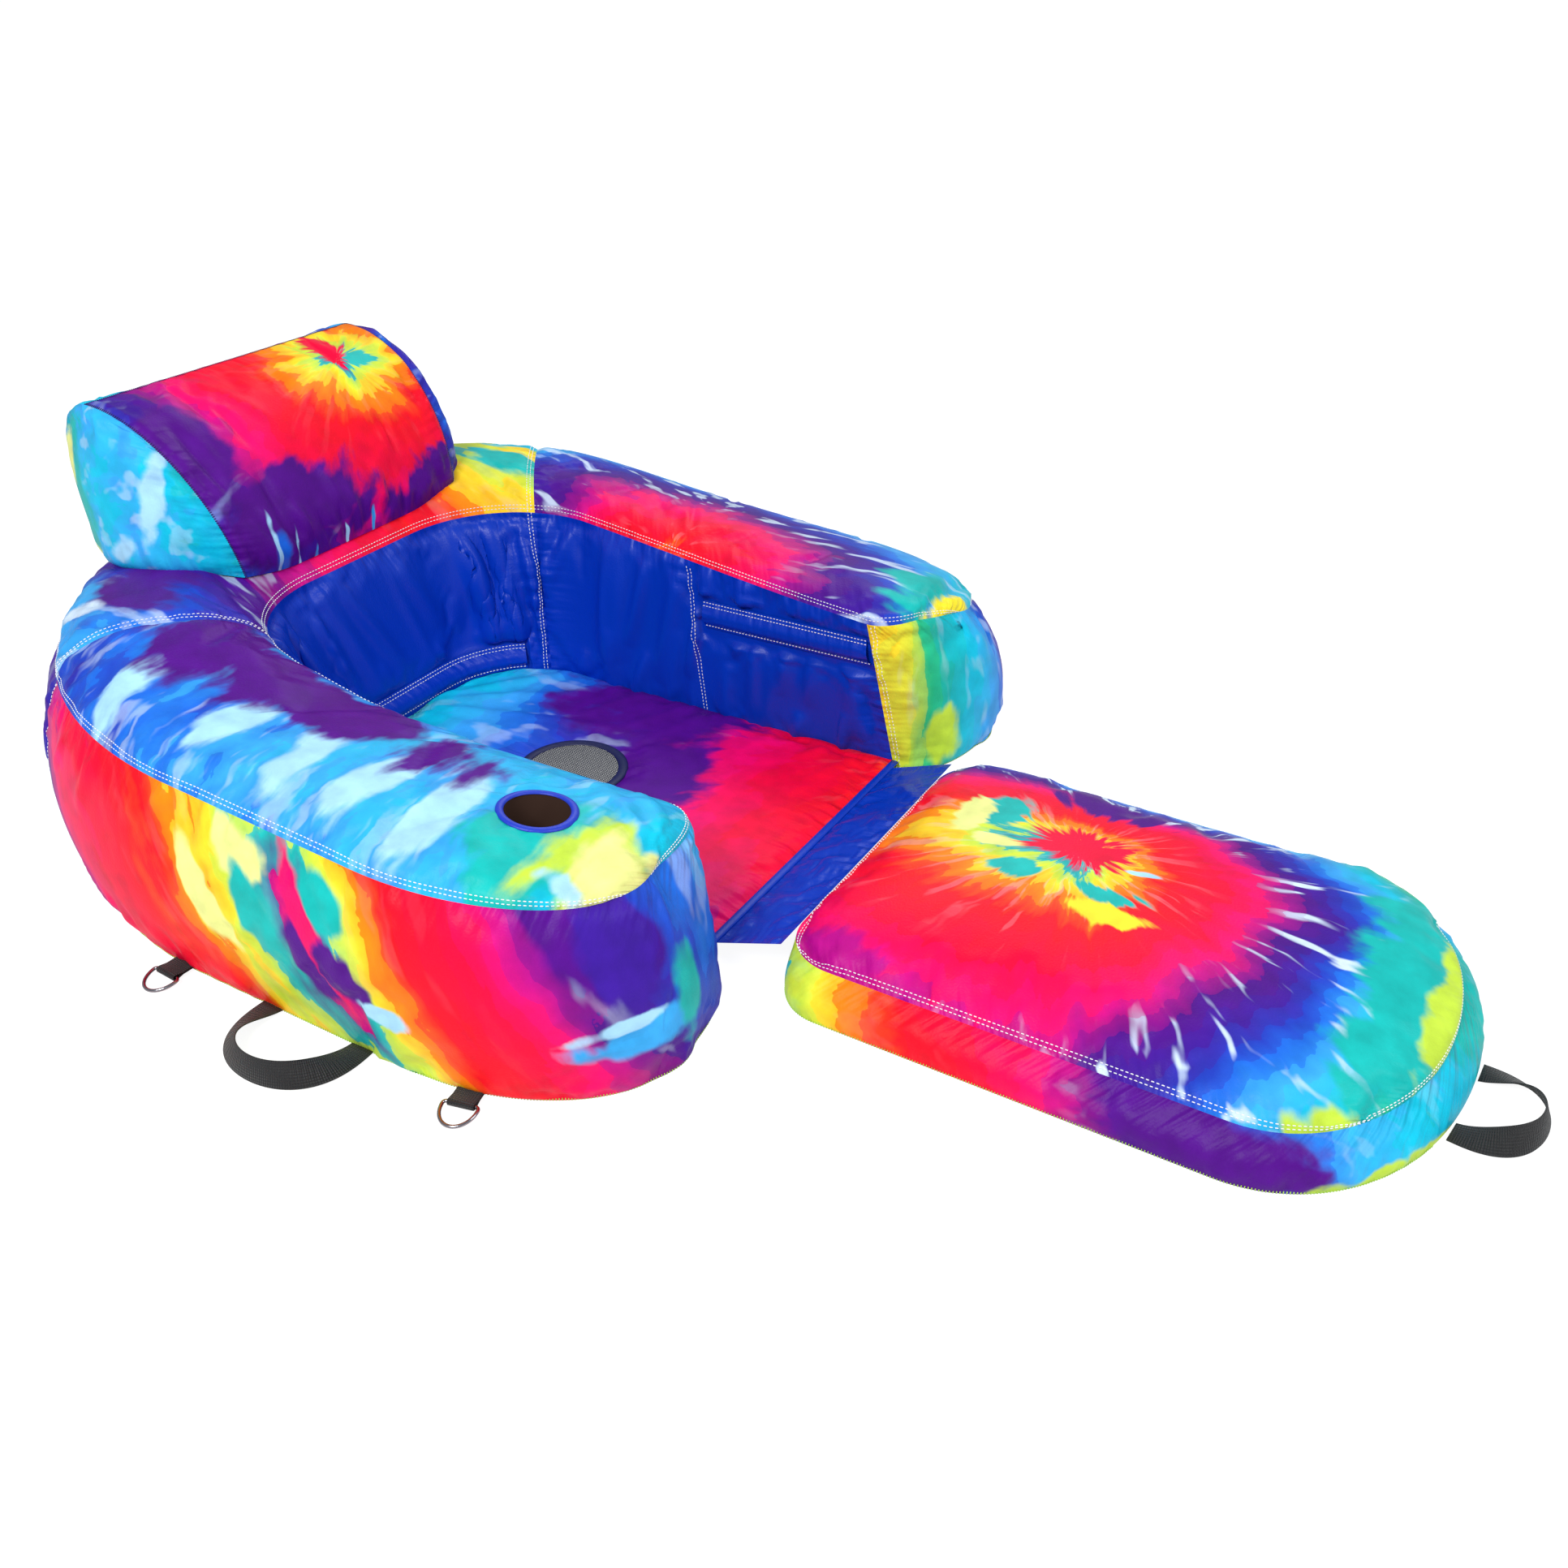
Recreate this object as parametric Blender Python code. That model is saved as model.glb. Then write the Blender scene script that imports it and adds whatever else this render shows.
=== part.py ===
"""Fabric-covered inflatable pool lounger: a horseshoe ring of three mitred cushions, a sling seat,
a wedge headrest and a footrest hinged on a fabric panel. Metres, +Z up, +X from back to feet."""

import math
from collections import namedtuple

import bmesh
import bpy
import numpy as np
from mathutils import Vector
from mathutils.bvhtree import BVHTree

# Cloth, gaps and webbing
FABRIC = 0.0012
GAP = 0.0003
SKIN = FABRIC + GAP
WEBBING_WIDTH = 0.030
WEBBING_THICK = 0.0016
WIRE_RADIUS = 0.002

# Ring, at its top seams
OUTER_HALF = 0.530
BACK_OUTER = -0.763
ARM_TIP = 0.2645
NOSE_OUTER_START = 0.0225
NOSE_INNER_START = 0.195
INNER_FRONT_HALF = 0.221
INNER_REAR_HALF = 0.267
BACK_INNER = -0.471
INNER_RADIUS = 0.170
RIM_FRONT_Z = 0.220
RIM_BACK_Z = 0.252
CROWN = 0.050
CROWN_FULLNESS = 2.5
CROWN_STEEPNESS = 0.625
SIDE_BULGE = 0.024
MITRE_OUTER_ANGLE = math.radians(32.5)
MITRE_INNER_ANGLE = math.radians(25.0)
TIP_ANGLE = math.radians(12.0)
FAN_START = 0.55

# How far the bottom seams lie from the top seams, outwards or towards the seat
SIDE_FLARE = 0.013
NOSE_FLARE = 0.040
WALL_FRONT_RAKE = 0.040
ARM_UNDERCUT = 0.020
CORNER_LEAN = 0.045
BACK_LEAN = 0.053
CORNER_TIGHTENING = 0.020

# Seat sling, drain and cup holder
SEAT_Z = 0.017
SLING_GAP = 0.0009
DRAIN_X = -0.125
DRAIN_Y = -0.010
DRAIN_RADIUS = 0.066
DRAIN_BINDING = 0.012
DRAIN_LAP = 0.003
MESH_LAP = 0.007
MESH_PITCH = 0.019
MESH_BAR = 0.006
CUP_X = 0.135
CUP_Y = -0.385
CUP_RADIUS = 0.0345
CUP_DEPTH = 0.125
CUP_BINDING = 0.0055
CUP_LAP = 0.0008
TRIM_THICK = 0.0014
HEM_WIDTH = 0.008
HEM_THICK = 0.004

# Hinge panel and footrest
HINGE_HALF_WIDTH = 0.222
HINGE_BEAD = 0.0012
FOOT_START = 0.329
FOOT_LENGTH = 0.664
FOOT_HALF_WIDTH = 0.240
FOOT_CORNER = 0.066
FOOT_END_DEPTH = 0.165
FOOT_SEAM_Z = 0.050
FOOT_CROWN = 0.045
FOOT_FLARE = 0.028
FOOT_BULGE = 0.012

# Headrest wedge, in the plane of its side
HEAD_FRONT_X = -0.488
HEAD_REAR_X = -0.722
HEAD_TOP_X = -0.672
HEAD_TOP_Z = 0.492
HEAD_LOW_HALF = 0.186
HEAD_TOP_HALF = 0.222
HEAD_SIDE_BULGE = 0.018
HEAD_FRONT_RISE = 0.110
HEAD_FRONT_REACH = 0.100
HEAD_REAR_RISE = 0.120
HEAD_REAR_REACH = 0.055
HEAD_REAR_OVERHANG = 0.032
HEAD_SEAT = 0.0032

# Zips in the inner walls: level is the share of the wall's height
ZIP_TAPE = 0.024
ZIP_BEAD_WIDTH = 0.006
ZIP_BEAD_HEIGHT = 0.0022
ZIP_TAPE_THICK = 0.0008
ZIP_REAR_LEVEL = 0.685
ZIP_FRONT_LEVEL = 0.795
ZIP_BACK_LEVEL = 0.15
ZIP_ARM_REAR_X = -0.070
ZIP_ARM_FRONT_X = 0.185
ZIP_LIFT = 0.0009
FLAP_WIDTH = 0.034
FLAP_SEAM = 0.012
FLAP_FOLD = 0.002
FLAP_STAND_OFF = 0.0068
SLIDER_LENGTH = 0.010
SLIDER_WALL = 0.0012
SLIDER_CLEARANCE = 0.0005
PULL_LENGTH = 0.016
PULL_HALF_WIDTH = 0.0025
PULL_GROOVE = 0.0002

# Valves, pushed into the bladders
VALVE_RADIUS = 0.012
VALVE_DEPTH = 0.012
VALVE_FLANGE = 0.0014
VALVE_STEM_RADIUS = 0.006
VALVE_PLUG_RADIUS = 0.0045
VALVE_RECESS = 0.001
ARM_VALVE_STATION = 0.55
BACK_VALVE_STATION = 0.12
WALL_VALVE_LEVEL = 0.42
FOOT_VALVE_INSET = 0.120

# Webbing tabs with D-rings, and handles
TAB_REAR_X = -0.262
TAB_FRONT_X = 0.150
TAB_REACH = 0.026
TAB_Z = 0.0065
RING_HALF_WIDTH = 0.0197
RING_DEPTH = 0.028
RING_CLEARANCE = 0.0004
RING_CORNER = 0.004
HANDLE_X = -0.058
HANDLE_HALF_SPAN = 0.066
HANDLE_REACH = 0.092
HANDLE_SWELL = 0.15
HANDLE_ROOT = 0.0005
LOOP_SQUARENESS = 0.8
FOOT_HANDLE_Y = -0.040
FOOT_HANDLE_HALF_SPAN = 0.052
FOOT_HANDLE_REACH = 0.074
HANDLE_TWIST = math.radians(72)
STRAP_FLOOR = 0.0022

# Mesh fineness
SHARP_ANGLE = math.radians(40)
NOSE_SHARE = 0.4
NOSE_STEPS = 5
BODY_STEPS = 8
BACK_STEPS = 14
FLAT_STEPS = 2
FLAP_STEPS = 6
HEIGHT_STEPS = 4
CROWN_STEPS = 8
TURN_STEPS = 24
SEAT_STEPS = 4
FOOT_RINGS = (1.0, 0.92, 0.76, 0.52, 0.25)
HEAD_STEPS = 7
HEAD_FLOOR_STEPS = 9
HEAD_WIDTH_STEPS = 11
HEAD_RINGS = ((0.86, 0.55), (0.55, 0.92), (0.2, 1.0))
LOOP_STEPS = 16
ZIP_STEPS = 4

Contour = namedtuple(
    "Contour", "outer_half back_outer tip nose_outer nose_inner inner_front inner_rear back_inner inner_radius"
)
RIM = Contour(
    OUTER_HALF, BACK_OUTER, ARM_TIP, NOSE_OUTER_START, NOSE_INNER_START,
    INNER_FRONT_HALF, INNER_REAR_HALF, BACK_INNER, INNER_RADIUS,
)
FLOOR = Contour(
    OUTER_HALF + SIDE_FLARE, BACK_OUTER - SIDE_FLARE, ARM_TIP + NOSE_FLARE,
    NOSE_OUTER_START + NOSE_FLARE, NOSE_INNER_START + WALL_FRONT_RAKE,
    INNER_FRONT_HALF + ARM_UNDERCUT, INNER_REAR_HALF - CORNER_LEAN,
    BACK_INNER + BACK_LEAN, INNER_RADIUS - CORNER_TIGHTENING,
)
NEAR, FAR = -1, 1
UP = np.array([0.0, 0.0, 1.0])
RAY_START = 0.2
FOOT_END = FOOT_START + FOOT_LENGTH

for old in list(bpy.data.objects):
    bpy.data.objects.remove(old, do_unlink=True)


def material(name, colour, roughness, metallic=0.0):
    made = bpy.data.materials.new(name)
    made.use_nodes = True
    shader = made.node_tree.nodes["Principled BSDF"]
    shader.inputs["Base Color"].default_value = (*colour, 1.0)
    shader.inputs["Roughness"].default_value = roughness
    shader.inputs["Metallic"].default_value = metallic
    made.diffuse_color = (*colour, 1.0)
    return made


DYED = material("dyed_nylon", (0.35, 0.04, 0.42), 0.42)
BLUE = material("blue_nylon", (0.01, 0.05, 0.45), 0.42)
LINING = material("lime_lining", (0.45, 0.70, 0.12), 0.6)
BLACK = material("black_webbing", (0.012, 0.012, 0.013), 0.75)
NAVY = material("navy_binding", (0.012, 0.03, 0.20), 0.6)
MESH_GREY = material("grey_mesh", (0.42, 0.44, 0.46), 0.6)
CHROME = material("plated_steel", (0.78, 0.78, 0.80), 0.18, 1.0)
VINYL = material("clear_vinyl", (0.80, 0.82, 0.84), 0.3)
DARK = material("dark_pocket", (0.02, 0.013, 0.01), 0.8)

bodies = {}


def body(name, pivot, parent):
    """An empty on the joint's axis that carries the pieces of one moving body."""
    holder = bpy.data.objects.new(name + "_pivot", None)
    bpy.context.scene.collection.objects.link(holder)
    pivot = np.array(pivot, float)
    if parent:
        holder.parent = bodies[parent][0]
        holder.location = pivot - bodies[parent][1]
    bodies[name] = (holder, pivot)


def piece(name, verts, faces, finish, carrier="lounger"):
    """One closed solid from points in the design frame, carried by a body's empty."""
    holder, pivot = bodies[carrier]
    mesh = bpy.data.meshes.new(name)
    shifted = np.asarray(verts, float) - pivot
    mesh.from_pydata([tuple(point) for point in shifted], [], [tuple(face) for face in faces])
    work = bmesh.new()
    work.from_mesh(mesh)
    bmesh.ops.recalc_face_normals(work, faces=work.faces)
    work.to_mesh(mesh)
    work.free()
    mesh.shade_smooth()
    mesh.set_sharp_from_angle(angle=SHARP_ANGLE)
    mesh.materials.append(finish)
    made = bpy.data.objects.new(name, mesh)
    bpy.context.scene.collection.objects.link(made)
    made.parent = holder
    return made


def split(a, b, c, d):
    """Two triangles of a four-sided face, always on the diagonal from its first point."""
    return [(a, b, c), (a, c, d)]


def grid_faces(rows, columns, start=0, wrap=False):
    faces = []
    for row in range(rows if wrap else rows - 1):
        after = (row + 1) % rows
        for column in range(columns - 1):
            faces += split(
                start + row * columns + column, start + after * columns + column,
                start + after * columns + column + 1, start + row * columns + column + 1,
            )
    return faces


def shell(name, outside, inside, finish, carrier="lounger", wrap=False):
    """A cloth panel: two grids of points, one on each side, closed round their edges."""
    outside = np.asarray(outside, float)
    inside = np.asarray(inside, float)
    rows, columns = outside.shape[:2]
    count = rows * columns
    verts = np.concatenate([outside.reshape(-1, 3), inside.reshape(-1, 3)])
    faces = grid_faces(rows, columns, 0, wrap)
    faces += [face[::-1] for face in grid_faces(rows, columns, count, wrap)]
    edges = []
    for row in range(rows if wrap else rows - 1):
        after = (row + 1) % rows
        edges.append((row * columns, after * columns))
        edges.append((after * columns + columns - 1, row * columns + columns - 1))
    if not wrap:
        for column in range(columns - 1):
            edges.append((column + 1, column))
            last = (rows - 1) * columns
            edges.append((last + column, last + column + 1))
    faces += [(a, b, b + count, a + count) for a, b in edges]
    return piece(name, verts, faces, finish, carrier)


def loft(name, loops, finish, carrier="lounger", ends=None):
    """A solid through closed loops of equal count; ends lists the faces that close each end, or it closes on a point."""
    loops = np.asarray(loops, float)
    rows, columns = loops.shape[:2]
    verts = list(loops.reshape(-1, 3))
    faces = []
    for row in range(rows - 1):
        for column in range(columns):
            after = (column + 1) % columns
            faces += split(
                row * columns + column, row * columns + after,
                (row + 1) * columns + after, (row + 1) * columns + column,
            )
    for row in (0, rows - 1):
        if ends:
            faces += [tuple(row * columns + column for column in end) for end in ends]
            continue
        middle = len(verts)
        verts.append(loops[row].mean(axis=0))
        for column in range(columns):
            faces.append((row * columns + column, row * columns + (column + 1) % columns, middle))
    return piece(name, verts, faces, finish, carrier)


def dome(name, outside, inside, finish, carrier="lounger"):
    """A panel made of closed rings from its edge to its middle, with the same rings on its inner side."""
    outside = np.asarray(outside, float)
    inside = np.asarray(inside, float)
    rings, columns = outside.shape[:2]
    verts = []
    faces = []
    starts = []
    for side in (outside, inside):
        start = len(verts)
        starts.append(start)
        verts += list(side.reshape(-1, 3))
        middle = len(verts)
        verts.append(side[-1].mean(axis=0))
        for ring in range(rings - 1):
            for column in range(columns):
                after = (column + 1) % columns
                faces += split(
                    start + ring * columns + column, start + ring * columns + after,
                    start + (ring + 1) * columns + after, start + (ring + 1) * columns + column,
                )
        last = start + (rings - 1) * columns
        faces += [(last + column, last + (column + 1) % columns, middle) for column in range(columns)]
    for column in range(columns):
        after = (column + 1) % columns
        faces.append((starts[0] + column, starts[0] + after, starts[1] + after, starts[1] + column))
    return piece(name, verts, faces, finish, carrier)


def ribbon_loops(path, across, width, thick):
    """Corners of a flat strap along a path; across holds the direction of its width at each point."""
    path = np.asarray(path, float)
    across = np.asarray(across, float)
    along = np.gradient(path, axis=0)
    normal = np.cross(along, across)
    normal /= np.linalg.norm(normal, axis=1)[:, None]
    side = across * width / 2
    lift = normal * thick / 2
    return np.stack([path - side - lift, path + side - lift, path + side + lift, path - side + lift], axis=1)


def cut(solid, verts, faces, operation="DIFFERENCE"):
    """Cuts a solid with a closed cutter given in the design frame."""
    tool = piece(solid.name + "_cutter", verts, faces, BLACK)
    tool.hide_render = True
    tool.display_type = "WIRE"
    hole = solid.modifiers.new("hole_" + str(len(solid.modifiers)), "BOOLEAN")
    hole.operation = operation
    hole.object = tool
    hole.solver = "EXACT"


def drum(centre, axis, radius, low, high):
    """Points and faces of a closed cylinder between two distances along its axis."""
    axis = np.asarray(axis, float) / np.linalg.norm(axis)
    first = np.cross(axis, [0.0, 0.0, 1.0] if abs(axis[2]) < 0.9 else [1.0, 0.0, 0.0])
    first /= np.linalg.norm(first)
    second = np.cross(axis, first)
    turns = np.arange(TURN_STEPS) * 2 * math.pi / TURN_STEPS
    circle = np.outer(np.cos(turns), first) + np.outer(np.sin(turns), second)
    verts = np.concatenate([centre + axis * low + circle * radius, centre + axis * high + circle * radius])
    around = range(TURN_STEPS)
    faces = [(i, (i + 1) % TURN_STEPS, TURN_STEPS + (i + 1) % TURN_STEPS, TURN_STEPS + i) for i in around]
    faces.append(tuple(around)[::-1])
    faces.append(tuple(TURN_STEPS + i for i in around))
    return verts, faces


def turned(name, profile, centre, axis, finish, carrier="lounger"):
    """A solid turned about an axis; profile holds (radius, distance along the axis), closed on the axis."""
    axis = np.asarray(axis, float) / np.linalg.norm(axis)
    first = np.cross(axis, [0.0, 0.0, 1.0] if abs(axis[2]) < 0.9 else [1.0, 0.0, 0.0])
    first /= np.linalg.norm(first)
    second = np.cross(axis, first)
    turns = np.arange(TURN_STEPS // 2) * 4 * math.pi / TURN_STEPS
    circle = np.outer(np.cos(turns), first) + np.outer(np.sin(turns), second)
    loops = [centre + axis * along + circle * radius for radius, along in profile]
    return loft(name, loops, finish, carrier)


def smooth(share):
    share = min(max(share, 0.0), 1.0)
    return share * share * (3 - 2 * share)


# Plan of the ring: a station on an arm runs from its nose tip, 0, to its mitre, 1


def nose_angle(station):
    return TIP_ANGLE + (math.pi / 2 - TIP_ANGLE) * station / NOSE_SHARE


def arm_outer(plan, station, inset):
    """Outer edge of an arm in plan, on the side where y is positive."""
    middle = (plan.outer_half + plan.inner_front) / 2
    reach = (plan.outer_half - plan.inner_front) / 2 - inset
    if station < NOSE_SHARE:
        angle = nose_angle(station)
        length = plan.tip - plan.nose_outer - inset
        return plan.nose_outer + length * math.cos(angle), middle + reach * math.sin(angle)
    centre = plan.back_outer + plan.outer_half
    straight = plan.nose_outer - centre
    run = (station - NOSE_SHARE) / (1 - NOSE_SHARE) * (straight + plan.outer_half * MITRE_OUTER_ANGLE)
    if run < straight:
        return plan.nose_outer - run, plan.outer_half - inset
    angle = (run - straight) / plan.outer_half
    radius = plan.outer_half - inset
    return centre - radius * math.sin(angle), radius * math.cos(angle)


def arm_inner(plan, station, inset):
    """Inner edge of an arm in plan, on the side where y is positive."""
    middle = (plan.outer_half + plan.inner_front) / 2
    reach = (plan.outer_half - plan.inner_front) / 2 - inset
    if station < NOSE_SHARE:
        angle = nose_angle(station)
        length = plan.tip - plan.nose_inner - inset
        return plan.nose_inner + length * math.cos(angle), middle - reach * math.sin(angle)
    corner = plan.back_inner + plan.inner_radius
    straight = plan.nose_inner - corner
    run = (station - NOSE_SHARE) / (1 - NOSE_SHARE) * (straight + plan.inner_radius * MITRE_INNER_ANGLE)
    if run < straight:
        share = run / straight
        return plan.nose_inner - run, plan.inner_front + (plan.inner_rear - plan.inner_front) * share + inset
    angle = (run - straight) / plan.inner_radius
    radius = plan.inner_radius + inset
    return corner - radius * math.sin(angle), plan.inner_rear - plan.inner_radius + radius * math.cos(angle)


def back_inner(plan, station, inset):
    """Inner edge of the back in plan; the station runs from -1 at the near mitre to 1 at the far one."""
    flat = plan.inner_rear - plan.inner_radius
    run = abs(station) * (flat + plan.inner_radius * (math.pi / 2 - MITRE_INNER_ANGLE))
    side = math.copysign(1.0, station)
    if run < flat:
        return plan.back_inner - inset, side * run
    angle = (run - flat) / plan.inner_radius
    radius = plan.inner_radius + inset
    return plan.back_inner + plan.inner_radius - radius * math.cos(angle), side * (flat + radius * math.sin(angle))


def back_outer(plan, station, inset):
    """Outer edge of the back: level with the inner edge near the middle, fanned out to the mitres."""
    side = math.copysign(1.0, station)
    level = math.asin(abs(back_inner(RIM, station, 0.0)[1]) / RIM.outer_half)
    fan = smooth((abs(station) - FAN_START) / (1 - FAN_START))
    angle = level + (math.pi / 2 - MITRE_OUTER_ANGLE - level) * fan
    radius = plan.outer_half - inset
    return plan.back_outer + plan.outer_half - radius * math.cos(angle), side * radius * math.sin(angle)


EDGES = {"arm": (arm_outer, arm_inner), "back": (back_outer, back_inner)}


def seam_height(x):
    share = (ARM_TIP - x) / (ARM_TIP - BACK_INNER)
    return RIM_FRONT_Z + (RIM_BACK_Z - RIM_FRONT_Z) * smooth(share)


def bulge(kind, inner, station, level):
    """How far a side swells past the straight line between its seams."""
    swell = SIDE_BULGE * math.sin(math.pi * level)
    if not inner:
        return swell
    if kind == "arm" and station < NOSE_SHARE:
        return swell * (1 - station / NOSE_SHARE) ** 2
    return 0.0


def side_point(section, inner, station, level, inset):
    """A point on a side of the ring; level runs from 0 at the bottom seam to 1 at the top seam."""
    kind, sign = section
    edge = EDGES[kind][1 if inner else 0]
    depth = inset - bulge(kind, inner, station, level)
    low = np.array(edge(FLOOR, station, depth))
    high = np.array(edge(RIM, station, depth))
    x, y = low + (high - low) * level
    height = seam_height(edge(RIM, station, 0.0)[0])
    return np.array([x, y * sign, inset + level * (height - 2 * inset)])


def crown_height(section, station):
    kind, sign = section
    if kind == "arm" and station < NOSE_SHARE:
        return CROWN * (1 - (1 - station / NOSE_SHARE) ** 2)
    return CROWN


def crown_share(across):
    """The crown's height as a share, steep at both seams and flat in the middle."""
    return max(1 - abs(2 * across - 1) ** CROWN_FULLNESS, 0.0) ** CROWN_STEEPNESS


def top_point(section, station, across, inset):
    """A point on the crowned top; across runs from 0 at the outer seam to 1 at the inner seam."""
    start = side_point(section, False, station, 1.0, inset)
    end = side_point(section, True, station, 1.0, inset)
    point = start + (end - start) * across
    point[2] += crown_height(section, station) * crown_share(across)
    return point


def base_point(section, station, across, inset):
    start = side_point(section, False, station, 0.0, inset)
    end = side_point(section, True, station, 0.0, inset)
    return start + (end - start) * across


def top_height(section, x, y):
    """Height of the crowned top over a place in plan, found by a few Newton steps."""
    station, across = (0.3, 0.5) if section[0] == "arm" else (y / INNER_REAR_HALF, 0.5)
    step = 1e-5
    for _ in range(12):
        here = top_point(section, station, across, 0.0)
        along = (top_point(section, station + step, across, 0.0) - here)[:2] / step
        over = (top_point(section, station, across + step, 0.0) - here)[:2] / step
        change = np.linalg.solve(np.column_stack([along, over]), np.array([x, y]) - here[:2])
        station += float(np.clip(change[0], -0.1, 0.1))
        across += float(np.clip(change[1], -0.2, 0.2))
    return top_point(section, station, across, 0.0)[2]


def trimmed(count, length, low=0.0, high=1.0):
    """Evenly spaced shares with half a gap taken off each end."""
    margin = GAP / 2 / length
    return np.linspace(low + margin, high - margin, count)


def crowded(shares):
    """Shares drawn halfway to a cosine spacing, so that the steep edges of a crown get more points."""
    return (shares + (1 - np.cos(math.pi * shares)) / 2) / 2


def arm_stations(first, last, steps_nose, steps_body):
    nose = np.linspace(first, NOSE_SHARE, steps_nose + 1)[:-1] if first < NOSE_SHARE else []
    start = max(first, NOSE_SHARE)
    return np.concatenate([nose, np.linspace(start, last, steps_body + 1)])


ARM_WIDTH = OUTER_HALF - INNER_FRONT_HALF
ARM_LENGTH = NOSE_INNER_START - BACK_INNER
STATION_GAP = GAP / ARM_LENGTH
TIP_GAP = GAP / (ARM_TIP - NOSE_OUTER_START) / math.sin(TIP_ANGLE) * NOSE_SHARE
LEVELS = trimmed(HEIGHT_STEPS + 1, RIM_FRONT_Z)
TIP_WIDTH = ARM_WIDTH * math.sin(TIP_ANGLE)
ACROSS = crowded(trimmed(CROWN_STEPS + 1, TIP_WIDTH))
BASE_ACROSS = trimmed(3, TIP_WIDTH)


def panel(name, place, rows, columns, finish):
    """A cloth panel over a function of (row, column, inset)."""
    sides = [[[place(row, column, inset) for column in columns] for row in rows] for inset in (0.0, FABRIC)]
    return shell(name, sides[0], sides[1], finish)


def bladder_loop(section, station):
    """Section of a bladder: up the outside, over the crown, down the inside and back along the floor."""
    levels = np.linspace(0.0, 1.0, HEIGHT_STEPS + 1)
    across = [*ACROSS[:-1], 1.0]
    loop = [side_point(section, False, station, level, SKIN) for level in levels]
    loop += [top_point(section, station, share, SKIN) for share in across[1:]]
    loop += [side_point(section, True, station, level, SKIN) for level in levels[-2::-1]]
    loop.append(base_point(section, station, 0.5, SKIN))
    return loop


def wall_normal(section, station, level):
    """Unit normal of an inner wall, pointing into the seat well."""
    step = 1e-4
    along = side_point(section, True, station + step, level, 0.0) - side_point(section, True, station, level, 0.0)
    up = side_point(section, True, station, level + step, 0.0) - side_point(section, True, station, level, 0.0)
    normal = np.cross(along, up)
    normal /= np.linalg.norm(normal)
    middle = np.array([BACK_INNER / 2, 0.0, RIM_FRONT_Z / 2])
    point = side_point(section, True, station, level, 0.0)
    return normal if normal @ (middle - point) > 0 else -normal


def valve(name, mouth, inward, holder, carrier="lounger"):
    """A push-in valve in a well in its bladder; mouth is the middle of its flange, level with the bladder."""
    verts, faces = drum(mouth, inward, VALVE_RADIUS + GAP, -VALVE_DEPTH, VALVE_DEPTH + GAP)
    cut(holder, verts, faces)
    profile = [
        (VALVE_PLUG_RADIUS, 0.0), (VALVE_RADIUS, 0.0), (VALVE_RADIUS, VALVE_FLANGE),
        (VALVE_STEM_RADIUS, VALVE_FLANGE * 2), (VALVE_STEM_RADIUS, VALVE_DEPTH - VALVE_FLANGE),
        (VALVE_PLUG_RADIUS, VALVE_DEPTH),
    ]
    turned(name, profile, mouth, inward, VINYL, carrier)


def ring_section(name, section, stations, tip_stations=()):
    """Cover panels and bladder of one cushion; tip_stations carry an arm's band round its nose."""
    outer = [(False, station) for station in stations[::-1]]
    inner = [(True, station) for station in tip_stations]
    panel(
        name + "_band", lambda row, level, inset: side_point(section, row[0], row[1], level, inset),
        outer + inner, LEVELS[::-1], DYED,
    )
    kind = section[0]
    first = stations[0] + (TIP_GAP if kind == "arm" else 0.0)
    rows = np.concatenate([[first], stations[1:]])
    panel(name + "_top", lambda row, share, inset: top_point(section, row, share, inset), rows, ACROSS, DYED)
    panel(
        name + "_base", lambda row, share, inset: base_point(section, row, share, inset), rows, BASE_ACROSS, LINING,
    )
    if kind == "arm":
        walls = arm_stations(NOSE_SHARE + STATION_GAP / 2, stations[-1], 0, BODY_STEPS)
    else:
        walls = stations
    panel(
        name + "_wall", lambda row, level, inset: side_point(section, True, row, level, inset),
        walls, LEVELS[::-1], BLUE,
    )
    return loft(name + "_bladder", [bladder_loop(section, row) for row in rows], VINYL)


def wall_frames(section, stations, levels):
    """Point, normal and up direction along a line on an inner wall."""
    frames = []
    for station, level in zip(stations, levels):
        point = side_point(section, True, station, level, 0.0)
        normal = wall_normal(section, station, level)
        up = side_point(section, True, station, level + 1e-3, 0.0) - point
        up -= normal * (up @ normal)
        frames.append((point, normal, up / np.linalg.norm(up)))
    return frames


def swept(name, frames, profile, ends, finish):
    """A profile of (up, out) offsets carried along frames on a wall."""
    loops = [[point + up * rise + normal * out for rise, out in profile] for point, normal, up in frames]
    return loft(name, loops, finish, ends=ends)


# Faces that close the ends of the eight-point profiles below: a bead on a tape, and a bent strip or channel
BEAD_ENDS = ((0, 1, 2, 3, 6, 7), (3, 4, 5, 6))
STRIP_ENDS = ((0, 1, 2, 7), (2, 3, 6, 7), (3, 4, 5, 6))


def zip_profile():
    half_tape, half_bead = ZIP_TAPE / 2, ZIP_BEAD_WIDTH / 2
    low, tape, bead = ZIP_LIFT, ZIP_LIFT + ZIP_TAPE_THICK, ZIP_LIFT + ZIP_BEAD_HEIGHT
    return [
        (-half_tape, low), (half_tape, low), (half_tape, tape), (half_bead, tape),
        (half_bead, bead), (-half_bead, bead), (-half_bead, tape), (-half_tape, tape),
    ]


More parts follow.
